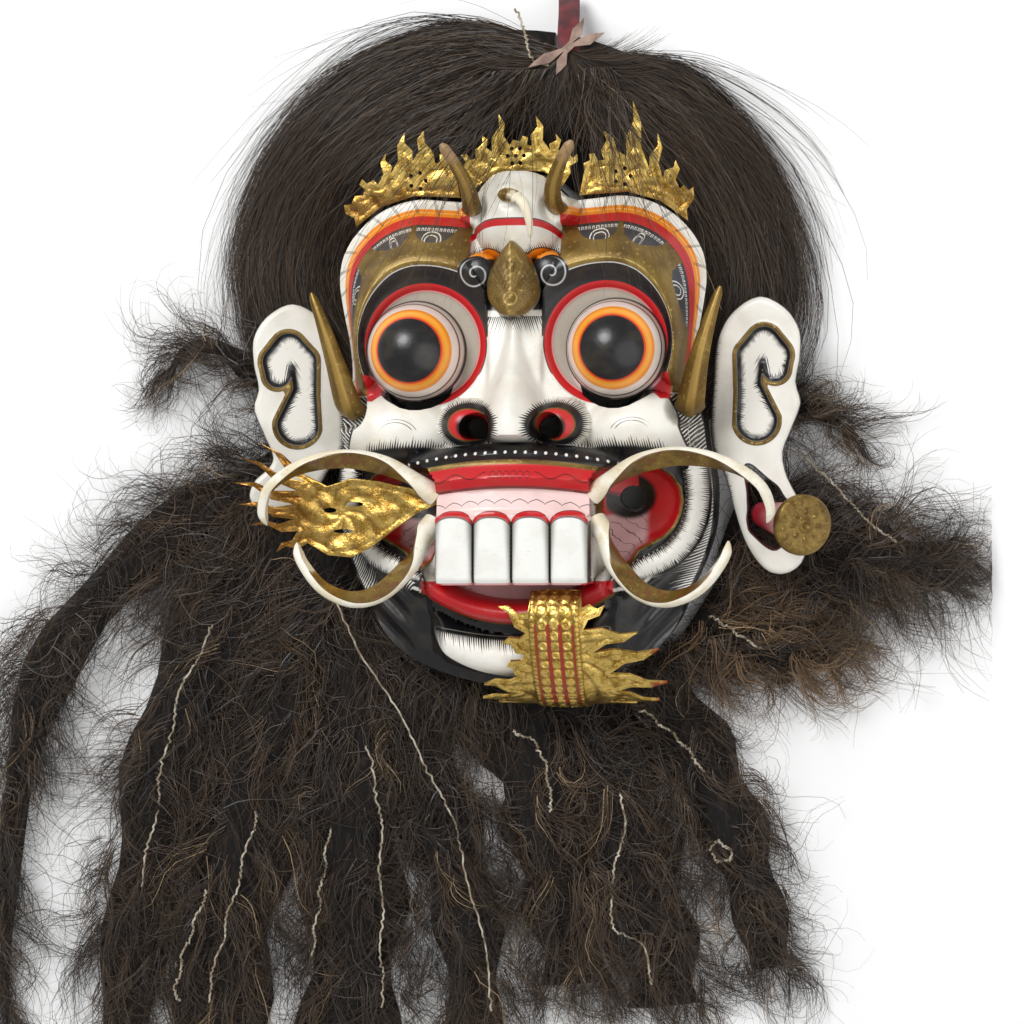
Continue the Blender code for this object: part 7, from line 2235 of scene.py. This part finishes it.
for order, (name, points) in enumerate(LOCKS.items()):
    tufts, shortest, longest, spread, curl, wide, narrow, brown = LOCK_MANNERS[name]
    chance = np.random.default_rng(400 + order)
    middle = smooth_path(points, LOCK_SAMPLES)
    aside = sideways(middle)
    course = np.unwrap(np.arctan2(np.gradient(middle[:, 1]), np.gradient(middle[:, 0])))
    share = np.linspace(0, 1, LOCK_SAMPLES)
    level = LOCK_ROOT_HEIGHT + (LOCK_HEIGHT - LOCK_ROOT_HEIGHT) * ease(0.15, 0.5, share)
    level += (LOCK_END_HEIGHT - LOCK_HEIGHT) * ease(0.6, 1.0, share)
    broad = wide + (narrow - wide) * ease(0.35, 1.0, share)
    tuft_share = np.sort(chance.uniform(0, 1, tufts)) ** 1.1 * 0.99
    tuft_aside = chance.uniform(-1, 1, tufts)
    tuft_side = np.where(tuft_aside + chance.normal(0, 0.45, tufts) > 0, 1.0, -1.0)
    tuft_turn = tuft_side * chance.uniform(-0.25, spread, tufts)
    tuft_curl = -tuft_side * chance.uniform(-0.8, curl, tufts) + chance.normal(0, 0.6, tufts)
    tuft_wave = chance.uniform(0.2, 0.9, tufts)
    tuft_beat = chance.uniform(4.0, 9.0, tufts)
    tuft_phase = chance.uniform(0, 6.3, tufts)
    tuft_length = chance.uniform(shortest, longest, tufts) * (1.05 - 0.25 * tuft_share)
    tuft_level = chance.uniform(0.45, 1.05, tufts)

    # Each hair starts near its tuft's knot and shares its heading, curl and wave
    count = tufts * HAIRS_PER_TUFT
    owner = np.repeat(np.arange(tufts), HAIRS_PER_TUFT)
    loose = chance.uniform(size=count) < LOOSE_SHARE
    at = np.clip(tuft_share[owner] + chance.normal(0, 0.012, count), 0, 1)
    off = tuft_aside[owner] * np.interp(at, share, broad)
    root = [np.interp(at, share, middle[:, k]) + np.interp(at, share, aside[:, k]) * off for k in (0, 1)]
    root = np.stack(root, axis=1)
    root += chance.normal(0, 0.0018, (count, 2))
    heading = np.interp(at, share, course) + tuft_turn[owner] + chance.normal(0, 0.07, count)
    if name in ROOT_LINES:
        first, last, falling = ROOT_LINES[name]
        tied = owner < ROOT_LINE_TUFTS
        on_line = (owner[tied] + 0.5) / ROOT_LINE_TUFTS + chance.normal(0, 0.01, tied.sum())
        placed = np.array(first) + (np.array(last) - first) * on_line[:, None]
        root[tied] = placed + chance.normal(0, 0.003, (tied.sum(), 2))
        heading[tied] = falling + tuft_turn[owner[tied]] * 0.5 + chance.normal(0, 0.07, tied.sum())
    heading += loose * chance.normal(0, 1.0, count)
    bend = tuft_curl[owner] + chance.normal(0, 0.15, count) + loose * chance.normal(0, 2.2, count)
    length = tuft_length[owner] * chance.uniform(0.55, 1.15, count)
    fall = np.clip(1 - (np.abs(off) / 0.050) ** 2, 0.25, 1)
    z = np.interp(at, share, level) * tuft_level[owner] * chance.uniform(0.85, 1.05, count) * fall
    hairs = np.empty((count, HAIR_STEPS + 1, 3))
    hairs[:, 0, :2] = root
    end_curl = chance.normal(0, 0.8, count) + tuft_curl[owner] * 1.6
    for step in range(HAIR_STEPS):
        t = (step + 0.5) / HAIR_STEPS
        aim = heading + bend * t**1.3 + end_curl * max(t - 0.45, 0) ** 1.5
        aim = aim + tuft_wave[owner] * np.sin(tuft_beat[owner] * t + tuft_phase[owner])
        stride = length / HAIR_STEPS
        hairs[:, step + 1, 0] = hairs[:, step, 0] + np.cos(aim) * stride
        hairs[:, step + 1, 1] = hairs[:, step, 1] + np.sin(aim) * stride
    along = np.linspace(0, 1, HAIR_STEPS + 1)[None]
    lift = chance.uniform(-0.003, 0.011, count)[:, None]
    hairs[:, :, 2] = np.maximum(z[:, None] * (1 - 0.45 * along) + lift * 4 * along * (1 - along), 0.001)

    # The dense hair underneath, with a ragged edge, and the strings that show between the hairs
    rows = []
    heights = []
    for k in range(0, LOCK_SAMPLES, 3):
        ragged = broad[k] * (1 + 0.2 * math.sin(k * 1.7 + order)) * MASS_SHARE
        rows.append([middle[k] + aside[k] * ragged * c for c in MASS_ACROSS])
        heights.append([level[k] * h * (1 + 0.2 * math.sin(k * 2.3 + c * 2.1)) for c, h in enumerate(MASS_LEVELS)])
    strings = []
    for shown in STRINGS.get(name, ()):
        line = smooth_path(shown, STRING_SAMPLES)
        dips = STRING_HEIGHT + STRING_DIP * np.sin(np.arange(STRING_SAMPLES) * 0.24 + order)
        dips = dips + chance.normal(0, 0.0008, STRING_SAMPLES)
        strings.append(np.column_stack([line, dips]))
    widths = HAIR_WIDTH * chance.uniform(0.55, 1.1, count)
    tones = chance.uniform(size=count) * 0.35 + chance.uniform(size=tufts)[owner] * 0.65
    finish = brown_hair if brown else dark_hair
    hair_piece("hair_of_" + name, name, hairs, widths, tones, under_hair(rows, heights), strings, finish, chance)

# Crown hair, combed from the knot round both sides of the head
HEAD_CENTRE = np.array((-0.011, CROWN_HAIR_Y))
KNOT = np.array((0.033, 0.200))
knot_angle = math.atan2(*(KNOT - HEAD_CENTRE)[::-1])
knot_reach = float(np.hypot(*(KNOT - HEAD_CENTRE)))
FIBRE = ((-0.003, 0.230, 0.046), (0.003, 0.214, 0.049), (0.008, 0.196, 0.050), (0.020, 0.190, 0.052))
CLUMPS = 340
HAIRS_PER_CLUMP = 21
WISPS = 900
WISPS_OVER_BROW = 110
HAIR_HEIGHT = 0.042
SIDE_HAIR_HEIGHT = 0.023
BEHIND_MASK_HEIGHT = 0.052


def crown_height(turn):
    """Height of the crown hair, which is lower at the sides of the head."""
    low = ease(math.radians(48), math.radians(78), np.abs(turn - math.pi / 2))
    return HAIR_HEIGHT + (SIDE_HAIR_HEIGHT - HAIR_HEIGHT) * low


for name, side, last in (("crown_hair_left", 1, math.radians(200)), ("crown_hair_right", -1, math.radians(-25))):
    chance = np.random.default_rng(70 + side)
    owner = np.repeat(np.arange(CLUMPS), HAIRS_PER_CLUMP)
    count = len(owner)
    span = abs(last - knot_angle)
    clump_from = chance.uniform(0, 1, CLUMPS) ** 1.5 * 0.75
    clump_to = clump_from + chance.uniform(0.35, 0.75, CLUMPS)
    clump_reach = 0.48 + 0.52 * chance.uniform(0, 1, CLUMPS) ** 0.75
    early = chance.uniform(size=CLUMPS) < 0.4
    clump_from[early] *= 0.15
    begin = np.clip(clump_from[owner] + chance.normal(0, 0.015, count), 0, 1)
    finish_at = np.minimum(clump_to[owner] + chance.normal(0, 0.06, count), 1.08)
    reach = clump_reach[owner] + chance.normal(0, 0.010, count)
    curly = chance.uniform(0.0, 0.035, CLUMPS)[owner]
    beat = chance.uniform(5, 12, CLUMPS)[owner]
    phase = chance.uniform(0, 6.3, CLUMPS)[owner]
    drift = chance.normal(0.0, 0.07, CLUMPS)[owner] + chance.normal(0, 0.02, count)
    over = chance.uniform(0.62, 1.06, count)
    hairs = np.empty((count, LONG_HAIR_POINTS, 3))
    for step in range(LONG_HAIR_POINTS):
        t = step / (LONG_HAIR_POINTS - 1)
        at = begin + (finish_at - begin) * t
        turn = knot_angle + side * span * at
        gather = ease(-0.02, 0.26, at)
        waving = reach + drift * t + curly * np.sin(beat * at + phase)
        radius = knot_reach + (waving * CROWN_HAIR_RADIUS - knot_reach) * gather
        radius = radius * (1 - 0.10 * ease(0.75, 1.05, at))
        hairs[:, step, 0] = HEAD_CENTRE[0] + np.cos(turn) * radius
        hairs[:, step, 1] = HEAD_CENTRE[1] + np.sin(turn) * radius
        edge_share = np.clip((radius / CROWN_HAIR_RADIUS - 0.60) / 0.40, 0, 1)
        hairs[:, step, 2] = 0.004 + crown_height(turn) * over * (1 - edge_share**3 * 0.75)
    wild = chance.uniform(size=count) < WILD_SHARE
    stray = np.linspace(0, 1, LONG_HAIR_POINTS)[None, :] ** 1.5
    hairs[:, :, 0] += wild[:, None] * chance.normal(0, 0.020, count)[:, None] * stray
    hairs[:, :, 1] += wild[:, None] * chance.normal(0, 0.020, count)[:, None] * stray
    behind = (np.abs(hairs[:, :, 0]) < 0.125) & (hairs[:, :, 1] < 0.168)
    hairs[:, :, 2] = np.where(behind, np.minimum(hairs[:, :, 2], BEHIND_MASK_HEIGHT), hairs[:, :, 2])

    # The dense hair underneath reaches from the mask's outline to the edge of the hair
    rows = []
    heights = []
    for turn in np.linspace(math.radians(80) + side * 0.01, last - side * 0.09, 30):
        ahead = np.array((math.cos(turn), math.sin(turn)))
        inner = 0.070
        while inside(*(HEAD_CENTRE + ahead * inner), FACE_OUTLINE):
            inner += 0.001
        top = crown_height(turn) * 0.62
        outer = CROWN_HAIR_RADIUS * (0.95 - 0.12 * ease(0.6, 1.0, abs(turn - knot_angle) / span))
        spots = np.linspace(inner + 0.0045, outer, 7)
        line = [HEAD_CENTRE + ahead * spot for spot in spots]
        levels = [top * (0.75 + 0.25 * math.sin(turn * 9 + k)) * bulge(k / 6.4) for k in range(7)]
        rows.append(line if side < 0 else line[::-1])
        heights.append(levels if side < 0 else levels[::-1])

    # Wisps start at the knot: the first fall over the brow, the others lie round the knot
    across = chance.uniform(0.030, 0.075, WISPS) if side < 0 else chance.uniform(-0.110, -0.035, WISPS)
    fall = chance.uniform(0.045, 0.165, WISPS)
    slant = chance.normal(0, 0.018, WISPS) + across * 0.9
    share = np.linspace(0, 1, LONG_HAIR_POINTS)
    for row, step in zip(range(WISPS), chance.permutation(count)[:WISPS]):
        if row < WISPS_OVER_BROW:
            along = KNOT[0] - 0.006 + across[row] * 0.4 + slant[row] * share + 0.006 * np.sin(share * 5 + row)
            over_brow = 0.052 + 0.075 * ease(0.10, 0.75, share) + 0.003 * math.sin(row)
            line = np.stack([along, KNOT[1] - 0.012 - fall[row] * share, over_brow], axis=1)
        else:
            sweep = chance.uniform(-2.9, -0.2) + side * -0.5 * share
            out = share * fall[row] * 0.42
            low = 0.051 - 0.004 * share + 0.002 * math.sin(row)
            line = np.stack([KNOT[0] + np.cos(sweep) * out, KNOT[1] + np.sin(sweep) * out, low], axis=1)
        hairs[step] = line
    widths = HAIR_WIDTH * chance.uniform(0.6, 1.1, count)
    tones = chance.uniform(size=count) * 0.40 + chance.uniform(size=CLUMPS)[owner] * 0.55
    strings = [smooth_path(FIBRE, 60)] if side > 0 else []
    hair_piece("hair_of_" + name, name, hairs, widths, tones, under_hair(rows, heights), strings, dark_hair, chance)
